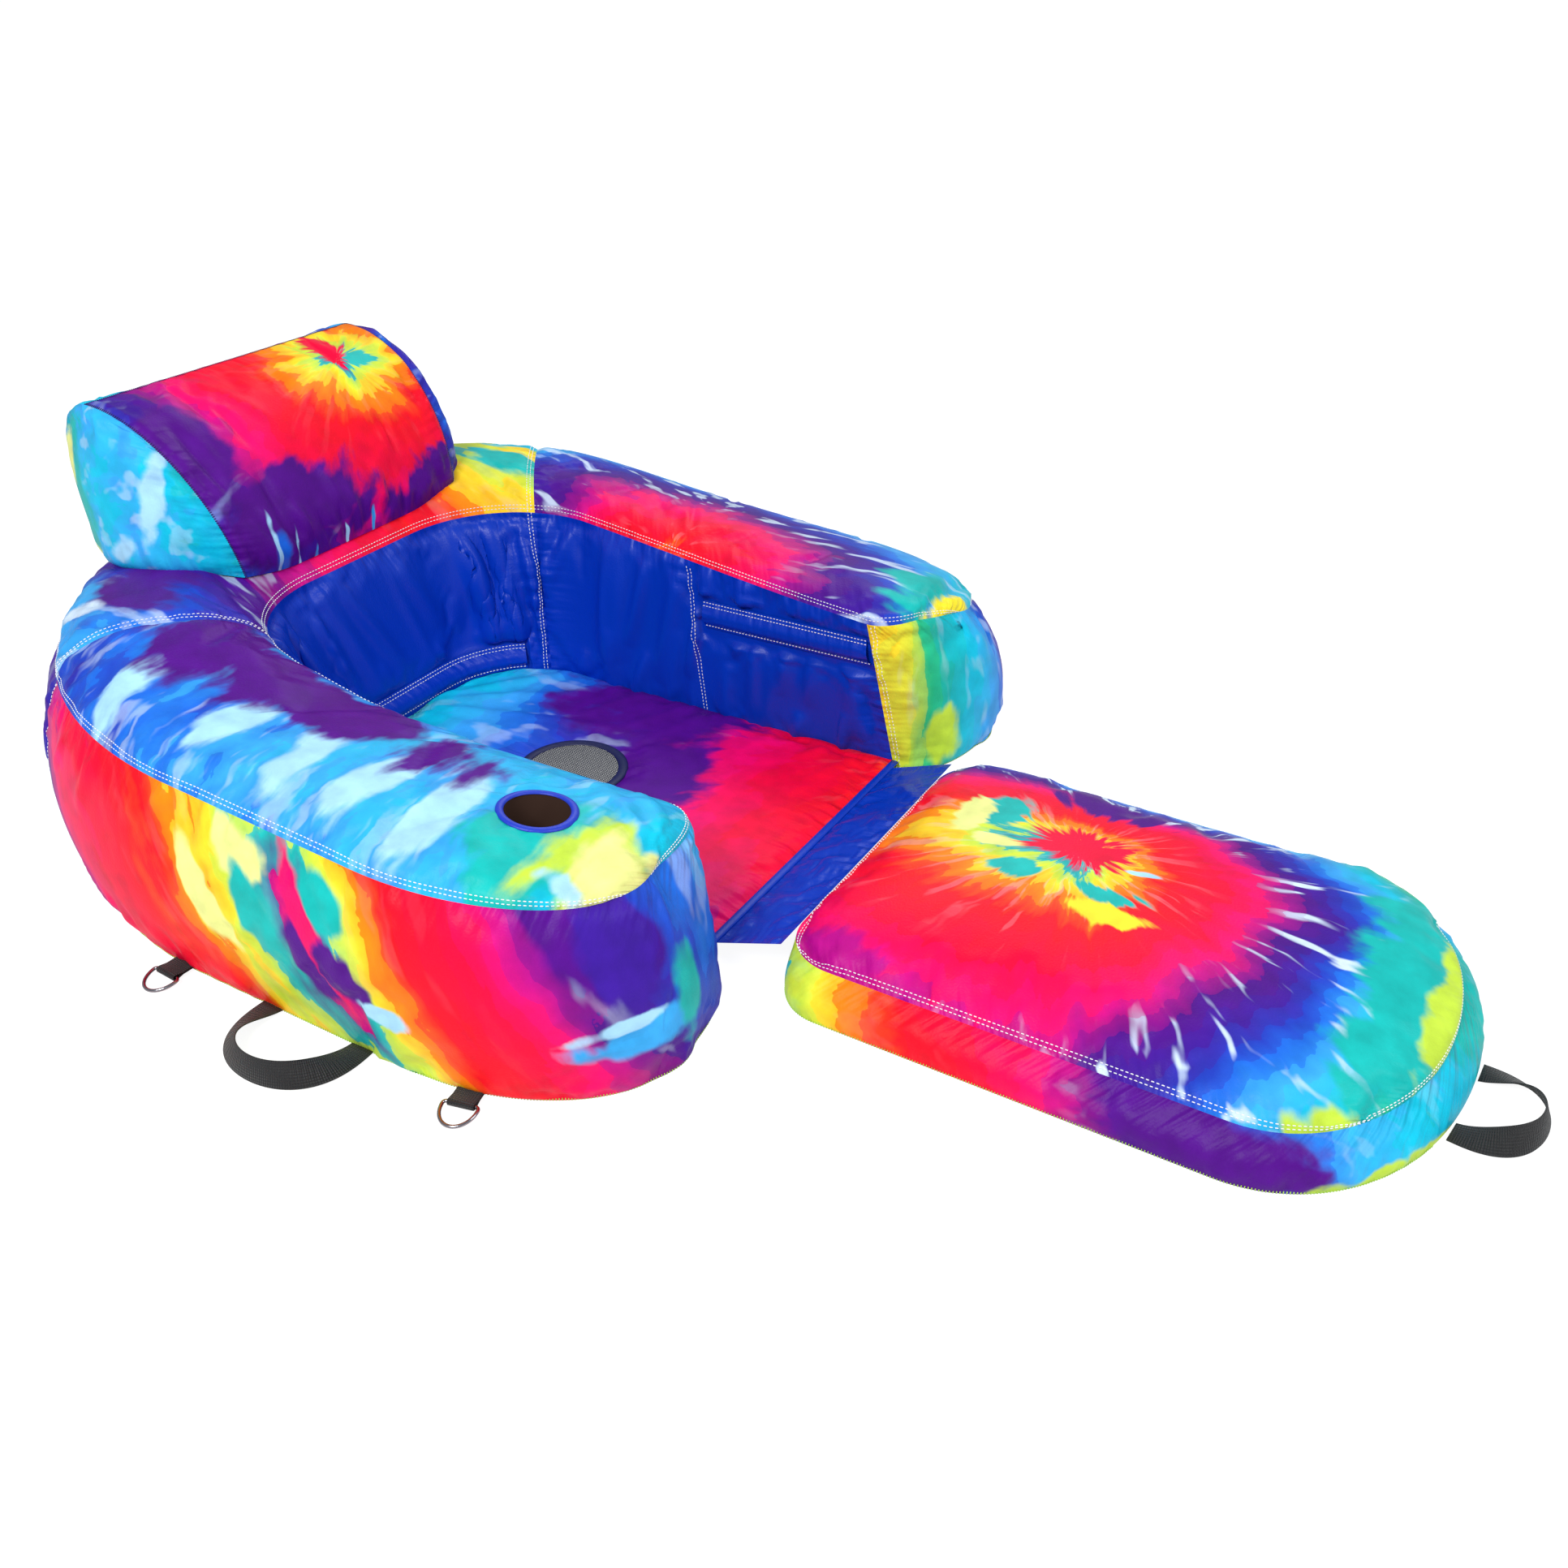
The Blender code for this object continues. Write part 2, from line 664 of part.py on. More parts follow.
def flap_profile():
    """A flap sewn above the zip that stands off far enough for the slider to run under it."""
    top = ZIP_TAPE / 2 + FLAP_SEAM
    low = top - FLAP_WIDTH
    fold = ZIP_TAPE / 2 + FLAP_FOLD
    near, far = ZIP_LIFT, ZIP_LIFT + FABRIC
    return [
        (top, near), (top, far), (fold + FABRIC, far), (fold, FLAP_STAND_OFF + FABRIC),
        (low, FLAP_STAND_OFF + FABRIC), (low, FLAP_STAND_OFF), (fold - FABRIC, FLAP_STAND_OFF), (fold, near),
    ]


def slider_profile():
    """A channel that straddles the zip's bead."""
    inner = ZIP_BEAD_WIDTH / 2 + SLIDER_CLEARANCE
    outer = inner + SLIDER_WALL
    foot = ZIP_LIFT + ZIP_TAPE_THICK + SLIDER_CLEARANCE
    roof = ZIP_LIFT + ZIP_BEAD_HEIGHT + SLIDER_CLEARANCE
    return [
        (-outer, foot), (-inner, foot), (-inner, roof), (inner, roof),
        (inner, foot), (outer, foot), (outer, roof + SLIDER_WALL), (-outer, roof + SLIDER_WALL),
    ]


def straightened(frames):
    """Frames moved onto the straight line between the first and the last, in front of the wall all along."""
    start, end = frames[0][0], frames[-1][0]
    shares = np.linspace(0.0, 1.0, len(frames))
    chord = [start + (end - start) * share for share in shares]
    proud = max((frame[0] - point) @ frame[1] for frame, point in zip(frames, chord))
    return [(point + frame[1] * proud, frame[1], frame[2]) for frame, point in zip(frames, chord)]


def slider(name, frames):
    """A slider on the zip's bead, set square to the wall halfway along the line that it runs on."""
    start, middle, end = frames[0][0], frames[len(frames) // 2], frames[-1][0]
    along = end - start
    along /= np.linalg.norm(along)
    normal = middle[1] - along * (middle[1] @ along)
    normal /= np.linalg.norm(normal)
    up = np.cross(normal, along)
    up *= math.copysign(1.0, up[2])
    channel = slider_profile()
    roof = channel[2][1]
    half = PULL_HALF_WIDTH
    groove = half - PULL_GROOVE
    pull = [
        (-half, roof), (-groove, roof), (-groove, roof + PULL_GROOVE), (groove, roof + PULL_GROOVE),
        (groove, roof), (half, roof), (half, roof + SLIDER_WALL), (-half, roof + SLIDER_WALL),
    ]
    stops = [
        (0.0, channel), (SLIDER_LENGTH, channel), (SLIDER_LENGTH + SLIDER_CLEARANCE, pull), (PULL_LENGTH, pull),
    ]
    body(name, start, "lounger")
    loops = [[start + along * run + up * rise + normal * out for rise, out in profile] for run, profile in stops]
    loft(name, loops, CHROME, name, STRIP_ENDS)


def wall_station(section, x, level):
    """Station of a place on the straight part of an arm's inner wall."""
    step = 0.1
    first = side_point(section, True, NOSE_SHARE, level, 0.0)[0]
    second = side_point(section, True, NOSE_SHARE + step, level, 0.0)[0]
    return NOSE_SHARE + step * (x - first) / (second - first)


def wall_valve(name, section, station, holder):
    inward = -wall_normal(section, station, WALL_VALVE_LEVEL)
    mouth = side_point(section, True, station, WALL_VALVE_LEVEL, SKIN) + inward * VALVE_RECESS
    valve(name, mouth, inward, holder)


def washer(name, ring, radii, low, high, finish):
    """A flat trim ring; ring gives the points of a circle from a radius and a height."""
    upper = np.stack([ring(radius, high) for radius in radii], axis=1)
    lower = np.stack([ring(radius, low) for radius in radii], axis=1)
    shell(name, upper, lower, finish, wrap=True)


def lattice(centre, reach, low, high):
    """Points and faces of a square plate of crossing bars."""
    count = math.ceil(reach / MESH_PITCH)
    lines = [step * MESH_PITCH + side * MESH_BAR / 2 for step in range(-count, count + 1) for side in (-1, 1)]
    size = len(lines)
    verts = [(centre[0] + x, centre[1] + y, z) for z in (low, high) for x in lines for y in lines]
    cells = [(i, j) for i in range(size - 1) for j in range(size - 1) if not (i % 2 and j % 2)]
    filled = set(cells)
    faces = []
    for i, j in cells:
        corners = [i * size + j, (i + 1) * size + j, (i + 1) * size + j + 1, i * size + j + 1]
        faces.append(tuple(corners[::-1]))
        faces.append(tuple(corner + size * size for corner in corners))
        beside = [(i, j - 1), (i + 1, j), (i, j + 1), (i - 1, j)]
        for side, neighbour in enumerate(beside):
            if neighbour not in filled:
                a, b = corners[side], corners[(side + 1) % 4]
                faces.append((a, b, b + size * size, a + size * size))
    return verts, faces


def seat_edge(section, station, z):
    """Edge of the seat sling against an inner wall at a height."""
    height = seam_height(EDGES[section[0]][1](RIM, station, 0.0)[0])
    return side_point(section, True, station, (z + SLING_GAP) / (height + 2 * SLING_GAP), -SLING_GAP)


def seat_rows(z):
    """Sling from its front edge to the straight part of the back, as rows from the near to the far wall."""
    edges = [("arm", station) for station in arm_rows[NOSE_STEPS:]]
    edges += [("back", station) for station in back_rows[:back_middle + FLAT_STEPS - 1:-1]]
    rows = []
    for kind, station in edges:
        far = seat_edge((kind, FAR), station, z)
        near = far * [1.0, -1.0, 1.0]
        rows.append([near + (far - near) * share for share in np.linspace(0.0, 1.0, SEAT_STEPS + 1)])
    return rows


def floor_frame(section, x):
    """Place on an arm's outer bottom seam, with the outward and the forward direction there."""
    low, high = 0.0, 1.0
    for _ in range(40):
        station = (low + high) / 2
        low, high = (station, high) if arm_outer(FLOOR, station, 0.0)[0] > x else (low, station)
    origin = side_point(section, False, station, 0.0, 0.0)
    forward = side_point(section, False, station - 1e-4, 0.0, 0.0) - origin
    forward /= np.linalg.norm(forward)
    outward = np.cross(UP, forward) * section[1]
    return origin, outward, forward


def surface(made, carrier="lounger"):
    """Search tree over a solid's faces in the design frame."""
    pivot = Vector(bodies[carrier][1])
    verts = [vertex.co + pivot for vertex in made.data.vertices]
    return BVHTree.FromPolygons(verts, [face.vertices for face in made.data.polygons])


def stand_off(tree, origin, outward, places):
    """How far a band reaches out from its bottom seam at places given as offsets from the origin."""
    outward = np.asarray(outward, float)
    reach = []
    for place in places:
        hit = tree.ray_cast(Vector(origin + place + outward * RAY_START), Vector(-outward))[0]
        reach.append((np.array(hit) - origin) @ outward)
    return max(reach)


def tie_point(name, section, band, x):
    """A webbing tab folded round the bar of a D-ring that turns in it."""
    origin, outward, forward = floor_frame(section, x)
    bend = WIRE_RADIUS + RING_CLEARANCE + WEBBING_THICK / 2
    ply = (WEBBING_THICK + GAP) / 2
    top = UP * (TAB_Z + ply + WEBBING_THICK / 2)
    root = stand_off(band, origin, outward, [top + forward * WEBBING_WIDTH * share for share in (-0.5, 0.0, 0.5)]) + GAP
    turns = np.linspace(-math.pi / 2, math.pi / 2, 7)
    fold = [(TAB_REACH + bend * math.cos(turn), bend * math.sin(turn)) for turn in turns]
    neck = TAB_REACH - 3 * bend
    path = [(root, -ply), (neck, -ply), *fold, (neck, ply), (root, ply)]
    points = [origin + outward * out + UP * (TAB_Z + rise) for out, rise in path]
    across = np.tile(forward, (len(points), 1))
    loft(name + "_tab", ribbon_loops(points, across, WEBBING_WIDTH, WEBBING_THICK), BLACK)
    pivot = origin + outward * TAB_REACH + UP * TAB_Z
    body(name + "_ring", pivot, "lounger")
    dip = math.asin((TAB_Z - WIRE_RADIUS - RING_CLEARANCE) / RING_DEPTH)
    bow = outward * math.cos(dip) - UP * math.sin(dip)
    corner = RING_CORNER
    outline = [(side * (RING_HALF_WIDTH - corner), 0.0) for side in (-1, 1)]
    outline += [
        (RING_HALF_WIDTH - corner + corner * math.cos(turn), corner + corner * math.sin(turn))
        for turn in np.linspace(-math.pi / 3, -math.pi / 6, 2)
    ]
    outline += [
        (RING_HALF_WIDTH * math.cos(turn), corner + (RING_DEPTH - corner) * math.sin(turn))
        for turn in np.linspace(0.0, math.pi, 11)
    ]
    outline += [
        (corner - RING_HALF_WIDTH - corner * math.cos(turn), corner + corner * math.sin(turn))
        for turn in np.linspace(-math.pi / 6, -math.pi / 3, 2)
    ]
    wire(name + "_ring", [forward * along + bow * out for along, out in outline], CHROME)


def wire(name, points, finish):
    """A closed round wire through points around its body's pivot."""
    curve = bpy.data.curves.new(name, "CURVE")
    curve.dimensions = "3D"
    curve.bevel_depth = WIRE_RADIUS
    curve.bevel_resolution = 1
    line = curve.splines.new("POLY")
    line.points.add(len(points) - 1)
    for slot, point in zip(line.points, points):
        slot.co = (*point, 1.0)
    line.use_cyclic_u = True
    curve.materials.append(finish)
    made = bpy.data.objects.new(name, curve)
    bpy.context.scene.collection.objects.link(made)
    made.parent = bodies[name][0]


def loop_strap(place, half_span, reach):
    """Corners of a handle: flat on the floor at its ends, standing on edge at its outer bend.
    place gives a point from a distance along the seam, a distance out of it and a height."""
    path = []
    tilts = []
    for turn in np.linspace(0.0, math.pi, LOOP_STEPS + 1):
        lift = max(math.sin(turn), 0.0)
        tilt = HANDLE_TWIST * lift
        along = half_span * math.cos(turn) * (1 + HANDLE_SWELL * lift)
        path.append(place(along, reach * lift ** LOOP_SQUARENESS, STRAP_FLOOR + WEBBING_WIDTH / 2 * math.sin(tilt)))
        tilts.append(tilt)
    path = np.array(path)
    flat = np.gradient(path, axis=0) * [1.0, 1.0, 0.0]
    flat /= np.linalg.norm(flat, axis=1)[:, None]
    level = np.cross(UP, flat)
    tilts = np.array(tilts)[:, None]
    across = level * np.cos(tilts) + UP * np.sin(tilts)
    return ribbon_loops(path, across, WEBBING_WIDTH, WEBBING_THICK)


def side_handle(name, section, band):
    origin, outward, forward = floor_frame(section, HANDLE_X)
    top = UP * (STRAP_FLOOR + WEBBING_THICK / 2)
    ends = [top + forward * HANDLE_HALF_SPAN * side for side in (-1, 1)]
    root = stand_off(band, origin, outward, ends) + GAP + HANDLE_ROOT
    body(name, origin + outward * root + UP * STRAP_FLOOR, "lounger")

    def place(along, out, z):
        return origin - forward * along * section[1] + outward * (root + out) + UP * z

    strap = loop_strap(place, HANDLE_HALF_SPAN, HANDLE_REACH)
    loft(name, strap[::section[1]], BLACK, name)


# Footrest: its outline holds points in plan, outward normals and how far each belongs to the rear edge


def foot_outline():
    rear_x = FOOT_START + FOOT_CORNER
    corner_y = FOOT_HALF_WIDTH - FOOT_CORNER
    end_x = FOOT_END - FOOT_END_DEPTH
    side_x = (rear_x + end_x) / 2
    points = []
    for turn in np.linspace(math.pi, 1.5 * math.pi, 4):
        normal = (math.cos(turn), math.sin(turn))
        points.append(((rear_x + FOOT_CORNER * normal[0], FOOT_CORNER * normal[1] - corner_y), normal, normal[0] ** 2))
    points.append(((side_x, -FOOT_HALF_WIDTH), (0.0, -1.0), 0.0))
    for turn in np.linspace(-math.pi / 2, math.pi / 2, 13):
        place = (end_x + FOOT_END_DEPTH * math.cos(turn), FOOT_HALF_WIDTH * math.sin(turn))
        normal = np.array([math.cos(turn) / FOOT_END_DEPTH, math.sin(turn) / FOOT_HALF_WIDTH])
        points.append((place, normal / np.linalg.norm(normal), 0.0))
    points.append(((side_x, FOOT_HALF_WIDTH), (0.0, 1.0), 0.0))
    for turn in np.linspace(math.pi / 2, math.pi, 4):
        normal = (math.cos(turn), math.sin(turn))
        points.append(((rear_x + FOOT_CORNER * normal[0], FOOT_CORNER * normal[1] + corner_y), normal, normal[0] ** 2))
    for share in (0.5, 0.0, -0.5):
        points.append(((FOOT_START, corner_y * share), (-1.0, 0.0), 1.0))
    return points


FOOT_OUTLINE = foot_outline()


def foot_loop(level, inset, trim=0.0):
    """The footrest's side at a level, from 0 at the floor to 1 at the top seam."""
    loop = []
    for place, normal, rear in FOOT_OUTLINE:
        swell = (FOOT_FLARE * (1 - level) + FOOT_BULGE * math.sin(math.pi * level)) * (1 - rear)
        x, y = np.array(place) + np.array(normal) * (swell - inset - trim)
        loop.append((x, y, inset + level * (FOOT_SEAM_Z - 2 * inset)))
    return loop


def foot_ring(size, inset, trim=0.0):
    """One ring of the crowned top; size runs from 1 at the seam to 0 at the spine."""
    crown = FOOT_CROWN * max(1 - size ** CROWN_FULLNESS, 0.0) ** CROWN_STEEPNESS
    loop = []
    for x, y, z in foot_loop(1.0, inset, trim):
        spine = min(max(x, FOOT_START + FOOT_HALF_WIDTH), FOOT_END - FOOT_END_DEPTH)
        loop.append((spine + (x - spine) * size, y * size, z + crown))
    return loop


def foot_handle(tree):
    """Strap on the footrest's end, square to the line between the two places where it leaves the band."""
    top = np.array([0.0, FOOT_HANDLE_Y, STRAP_FLOOR + WEBBING_THICK / 2])
    forward = np.array([1.0, 0.0, 0.0])
    reaches = []
    for side in (-1, 1):
        for share in (0.0, -0.5, 0.5):
            y = side * FOOT_HANDLE_HALF_SPAN + share * WEBBING_WIDTH
            reaches.append((y, stand_off(tree, top + forward * FOOT_END, forward, [[0.0, y, 0.0]])))
    lean = (reaches[3][1] - reaches[0][1]) / (2 * FOOT_HANDLE_HALF_SPAN)
    root = FOOT_END + max(out - lean * y for y, out in reaches) + GAP + HANDLE_ROOT
    origin = np.array([root, FOOT_HANDLE_Y, 0.0])
    line = np.array([-lean, -1.0, 0.0]) / math.hypot(lean, 1.0)
    outward = np.array([1.0, -lean, 0.0]) / math.hypot(lean, 1.0)
    body("foot_handle", origin + UP * STRAP_FLOOR, "footrest")

    def place(along, out, z):
        return origin + line * along + outward * out + UP * z

    strap = loop_strap(place, FOOT_HANDLE_HALF_SPAN, FOOT_HANDLE_REACH)
    loft("foot_handle", strap, BLACK, "foot_handle")
    return strap


# Headrest: a side profile in x and z for each share of the width, swept from near to far


def bezier(first, second, third, fourth, count):
    shares = np.linspace(0.0, 1.0, count + 1)[:, None]
    rest = 1 - shares
    return (
        first * rest ** 3 + 3 * second * rest ** 2 * shares + 3 * third * rest * shares ** 2 + fourth * shares ** 3
    )


def head_profile(lateral):
    """Front edge up to the top, down the rear and back along the ring's crown."""
    y = lateral * HEAD_LOW_HALF

    def seat(x):
        return np.array([x, top_height(("back", 1), x, y) + HEAD_SEAT])

    front, rear = seat(HEAD_FRONT_X), seat(HEAD_REAR_X)
    top = np.array([HEAD_TOP_X, HEAD_TOP_Z])
    rise = bezier(front, front + [0.0, HEAD_FRONT_RISE], top + [HEAD_FRONT_REACH, 0.0], top, HEAD_STEPS)
    fall = bezier(
        top, top - [HEAD_REAR_REACH, 0.0], rear + [-HEAD_REAR_OVERHANG, HEAD_REAR_RISE], rear, HEAD_STEPS
    )
    shares = crowded(np.linspace(0.0, 1.0, HEAD_FLOOR_STEPS + 1))[1:-1]
    floor = [seat(HEAD_REAR_X + (HEAD_FRONT_X - HEAD_REAR_X) * share) for share in shares]
    return np.concatenate([rise, fall[1:], floor])


def inset_loop(points, depth):
    """A closed profile, anticlockwise, moved inwards by a depth."""
    before = points - np.roll(points, 1, axis=0)
    after = np.roll(points, -1, axis=0) - points
    before /= np.linalg.norm(before, axis=1)[:, None]
    after /= np.linalg.norm(after, axis=1)[:, None]
    inward = np.column_stack([-before[:, 1], before[:, 0]])
    onward = np.column_stack([-after[:, 1], after[:, 0]])
    mitre = (inward + onward) / (1 + (inward * onward).sum(axis=1))[:, None]
    return points + mitre * depth


def head_half(z):
    share = (z - RIM_BACK_Z - CROWN) / (HEAD_TOP_Z - RIM_BACK_Z - CROWN)
    return HEAD_LOW_HALF + (HEAD_TOP_HALF - HEAD_LOW_HALF) * share


HEAD_SHARES = np.linspace(-1.0, 1.0, HEAD_WIDTH_STEPS)
HEAD_PROFILES = [head_profile(share) for share in HEAD_SHARES]


def head_loop(row, inset, trim=0.0):
    """Profile of one row in space; trim draws it in sideways."""
    profile = inset_loop(HEAD_PROFILES[row], inset)
    return np.array([(x, HEAD_SHARES[row] * (head_half(z) - inset - trim), z) for x, z in profile])


def head_side_rings(row, inset, trim=0.0):
    """Rings of a swelling side panel from its seam to its middle."""
    profile = inset_loop(HEAD_PROFILES[row], inset + trim)
    middle = profile.mean(axis=0)
    rings = []
    for size, swell in ((1.0, 0.0), *HEAD_RINGS):
        loop = middle + (profile - middle) * size
        rings.append([(x, HEAD_SHARES[row] * (head_half(z) + HEAD_SIDE_BULGE * swell - inset), z) for x, z in loop])
    return np.array(rings)


def head_panel(name, first, last, finish):
    """A panel of the headrest between two corners of its profile."""
    sides = []
    for inset in (0.0, FABRIC):
        rows = []
        for row in range(HEAD_WIDTH_STEPS):
            loop = head_loop(row, inset, GAP / 2)
            line = np.take(loop, range(first, last + 1), axis=0, mode="wrap")
            line[0] += (line[1] - line[0]) / np.linalg.norm(line[1] - line[0]) * GAP / 2
            line[-1] += (line[-2] - line[-1]) / np.linalg.norm(line[-2] - line[-1]) * GAP / 2
            rows.append(line)
        sides.append(rows)
    shell(name, sides[0], sides[1], finish)


body("lounger", (0.0, 0.0, 0.0), None)

# Ring of three mitred cushions
NEAR_ARM, FAR_ARM, BACK = ("arm", NEAR), ("arm", FAR), ("back", 1)
arm_rows = arm_stations(0.0, 1 - STATION_GAP / 2, NOSE_STEPS, BODY_STEPS)
nose_rows = np.linspace(0.0, NOSE_SHARE - STATION_GAP / 2, NOSE_STEPS + 1)
back_rows = trimmed(BACK_STEPS + 1, ARM_LENGTH, -1.0, 1.0)
back_middle = BACK_STEPS // 2
near_bladder = ring_section("near_arm", NEAR_ARM, arm_rows, nose_rows)
far_bladder = ring_section("far_arm", FAR_ARM, arm_rows, nose_rows)
back_bladder = ring_section("back", BACK, back_rows)
wall_valve("near_arm_valve", NEAR_ARM, ARM_VALVE_STATION, near_bladder)
wall_valve("far_arm_valve", FAR_ARM, ARM_VALVE_STATION, far_bladder)
wall_valve("back_valve", BACK, BACK_VALVE_STATION, back_bladder)

# Zips behind the three inner walls
for side, section in (("near_arm", NEAR_ARM), ("far_arm", FAR_ARM)):
    rear = wall_station(section, ZIP_ARM_REAR_X, ZIP_REAR_LEVEL)
    front = wall_station(section, ZIP_ARM_FRONT_X, ZIP_FRONT_LEVEL)
    levels = np.linspace(ZIP_REAR_LEVEL, ZIP_FRONT_LEVEL, ZIP_STEPS + 1)
    line = straightened(wall_frames(section, np.linspace(rear, front, ZIP_STEPS + 1), levels))
    swept(side + "_zip", line, zip_profile(), BEAD_ENDS, BLACK)
    swept(side + "_zip_flap", line, flap_profile(), STRIP_ENDS, BLUE)
    slider(side + "_zip_slider", line)
zip_rows = back_rows[back_middle - FLAT_STEPS:back_middle + FLAT_STEPS + 1]
flap_rows = back_rows[back_middle - FLAP_STEPS:back_middle + FLAP_STEPS + 1]
zip_line = wall_frames(BACK, zip_rows, np.full(len(zip_rows), ZIP_BACK_LEVEL))
flap_line = wall_frames(BACK, flap_rows, np.full(len(flap_rows), ZIP_BACK_LEVEL))
swept("back_zip", zip_line, zip_profile(), BEAD_ENDS, BLACK)
swept("back_zip_flap", flap_line, flap_profile(), STRIP_ENDS, BLUE)
slider("back_zip_slider", zip_line)

# Seat sling with its drain and its front hem
turns = np.arange(TURN_STEPS) * 2 * math.pi / TURN_STEPS
drain = np.array([DRAIN_X, DRAIN_Y, 0.0])
seat = shell("seat_sling", seat_rows(SEAT_Z), seat_rows(SEAT_Z - FABRIC), DYED)
cut(seat, *drum(drain, UP, DRAIN_RADIUS, SEAT_Z - HEM_WIDTH, SEAT_Z + HEM_WIDTH))


def drain_ring(radius, z):
    return drain + np.column_stack([radius * np.cos(turns), radius * np.sin(turns), np.full(TURN_STEPS, z)])


drain_inner = DRAIN_RADIUS - DRAIN_LAP
washer(
    "drain_binding", drain_ring, (drain_inner, drain_inner + DRAIN_BINDING),
    SEAT_Z + GAP, SEAT_Z + GAP + TRIM_THICK, NAVY,
)
mesh_top = SEAT_Z - FABRIC - GAP
mesh_reach = DRAIN_RADIUS + MESH_LAP
net = piece("drain_mesh", *lattice(drain, mesh_reach, mesh_top - FABRIC, mesh_top), MESH_GREY)
cut(net, *drum(drain, UP, mesh_reach, mesh_top - HEM_WIDTH, mesh_top + HEM_WIDTH), "INTERSECT")
seat_front = seat_edge(NEAR_ARM, NOSE_SHARE, SEAT_Z)
hem_half = abs(seat_front[1]) - HEM_THICK
hem_z = SEAT_Z - FABRIC / 2
hem = [
    [(seat_front[0] + GAP + out, side * hem_half, hem_z + rise) for out, rise in (
        (0.0, -HEM_THICK / 2), (HEM_WIDTH, -HEM_THICK / 2), (HEM_WIDTH, HEM_THICK / 2), (0.0, HEM_THICK / 2),
    )]
    for side in (NEAR, FAR)
]
loft("seat_front_binding", hem, NAVY)

# Cup holder sunk in the near arm
cup_outer = CUP_RADIUS + FABRIC
cup = np.array([CUP_X, CUP_Y, top_height(NEAR_ARM, CUP_X, CUP_Y)])
cup_floor = cup[2] - CUP_DEPTH


def cup_rim(radius, lift):
    places = [(CUP_X + radius * math.cos(turn), CUP_Y + radius * math.sin(turn)) for turn in turns]
    return np.array([(x, y, top_height(NEAR_ARM, x, y) + lift) for x, y in places])


def cup_level(radius, z):
    return np.column_stack([CUP_X + radius * np.cos(turns), CUP_Y + radius * np.sin(turns), np.full(TURN_STEPS, z)])


loft(
    "cup_pocket",
    [
        cup_level(cup_outer, cup_floor), cup_rim(cup_outer, 0.0),
        cup_rim(CUP_RADIUS, 0.0), cup_level(CUP_RADIUS, cup_floor + FABRIC),
    ],
    DARK,
)
washer(
    "cup_binding", cup_rim, (CUP_RADIUS - CUP_LAP, cup_outer + CUP_BINDING), GAP, GAP + TRIM_THICK, NAVY,
)
well = drum(cup, UP, cup_outer + GAP, -CUP_DEPTH - GAP, CUP_DEPTH)
cut(bpy.data.objects["near_arm_top"], *well)
cut(near_bladder, *well)

# Hinge panel from the seat's hem up to the footrest's top seam
hinge_back = np.array([seat_front[0] + 2 * GAP + HEM_WIDTH + HINGE_BEAD, 0.0, hem_z])
hinge_front = np.array([FOOT_START - GAP - HINGE_BEAD, 0.0, FOOT_SEAM_Z - HINGE_BEAD])
body("hinge_panel", hinge_back, "lounger")
body("footrest", hinge_front, "hinge_panel")
slope = math.atan2(hinge_front[2] - hinge_back[2], hinge_front[0] - hinge_back[0])
bead = []
for axis, middle in ((hinge_front, slope), (hinge_back, slope + math.pi)):
    for turn in np.linspace(middle - math.pi / 2, middle + math.pi / 2, 5):
        bead.append(axis + HINGE_BEAD * np.array([math.cos(turn), 0.0, math.sin(turn)]))
loft("hinge_panel", [np.array(bead) + [0.0, side * HINGE_HALF_WIDTH, 0.0] for side in (NEAR, FAR)], BLUE, "hinge_panel")

# Footrest
foot_levels = trimmed(4, FOOT_SEAM_Z)
foot_band = [np.stack([foot_loop(level, inset) for level in foot_levels], axis=1) for inset in (0.0, FABRIC)]
foot_cover = shell("footrest_band", foot_band[0], foot_band[1], DYED, "footrest", wrap=True)
foot_top = [[foot_ring(size, inset, GAP / 2) for size in FOOT_RINGS] for inset in (0.0, FABRIC)]
dome("footrest_top", foot_top[0], foot_top[1], DYED, "footrest")
foot_base = [[foot_loop(0.0, inset, GAP / 2)] for inset in (0.0, FABRIC)]
dome("footrest_base", foot_base[0], foot_base[1], LINING, "footrest")
foot_loops = [foot_loop(level, SKIN) for level in (0.0, *foot_levels[1:-1], 1.0)]
foot_loops += [foot_ring(size, SKIN) for size in FOOT_RINGS[1:]]
foot_bladder = loft("footrest_bladder", foot_loops, VINYL, "footrest")
foot_mouth = np.array([FOOT_START + FOOT_VALVE_INSET, 0.0, SKIN + VALVE_RECESS])
valve("footrest_valve", foot_mouth, UP, foot_bladder, "footrest")

# Headrest wedge sewn to the back's top
head_panel("headrest_front", 0, HEAD_STEPS, DYED)
head_panel("headrest_back", HEAD_STEPS, 2 * HEAD_STEPS, DYED)
head_panel("headrest_base", 2 * HEAD_STEPS, len(HEAD_PROFILES[0]), LINING)
for side, row in (("near", 0), ("far", HEAD_WIDTH_STEPS - 1)):
    dome(
        "headrest_" + side + "_side", head_side_rings(row, 0.0, GAP / 2), head_side_rings(row, FABRIC, GAP / 2), DYED,
    )
head_loops = [*head_side_rings(0, SKIN)[:0:-1]]
head_loops += [head_loop(row, SKIN) for row in range(HEAD_WIDTH_STEPS)]
head_loops += [*head_side_rings(HEAD_WIDTH_STEPS - 1, SKIN)[1:]]
head_bladder = loft("headrest_bladder", head_loops, VINYL)
rear_line = head_loop(HEAD_WIDTH_STEPS // 2, SKIN)[HEAD_STEPS + HEAD_STEPS // 2:][:2]
rear_run = rear_line[1] - rear_line[0]
rear_inward = np.array([-rear_run[2], 0.0, rear_run[0]]) / np.linalg.norm(rear_run)
valve("headrest_valve", rear_line.mean(axis=0) + rear_inward * VALVE_RECESS, rear_inward, head_bladder)

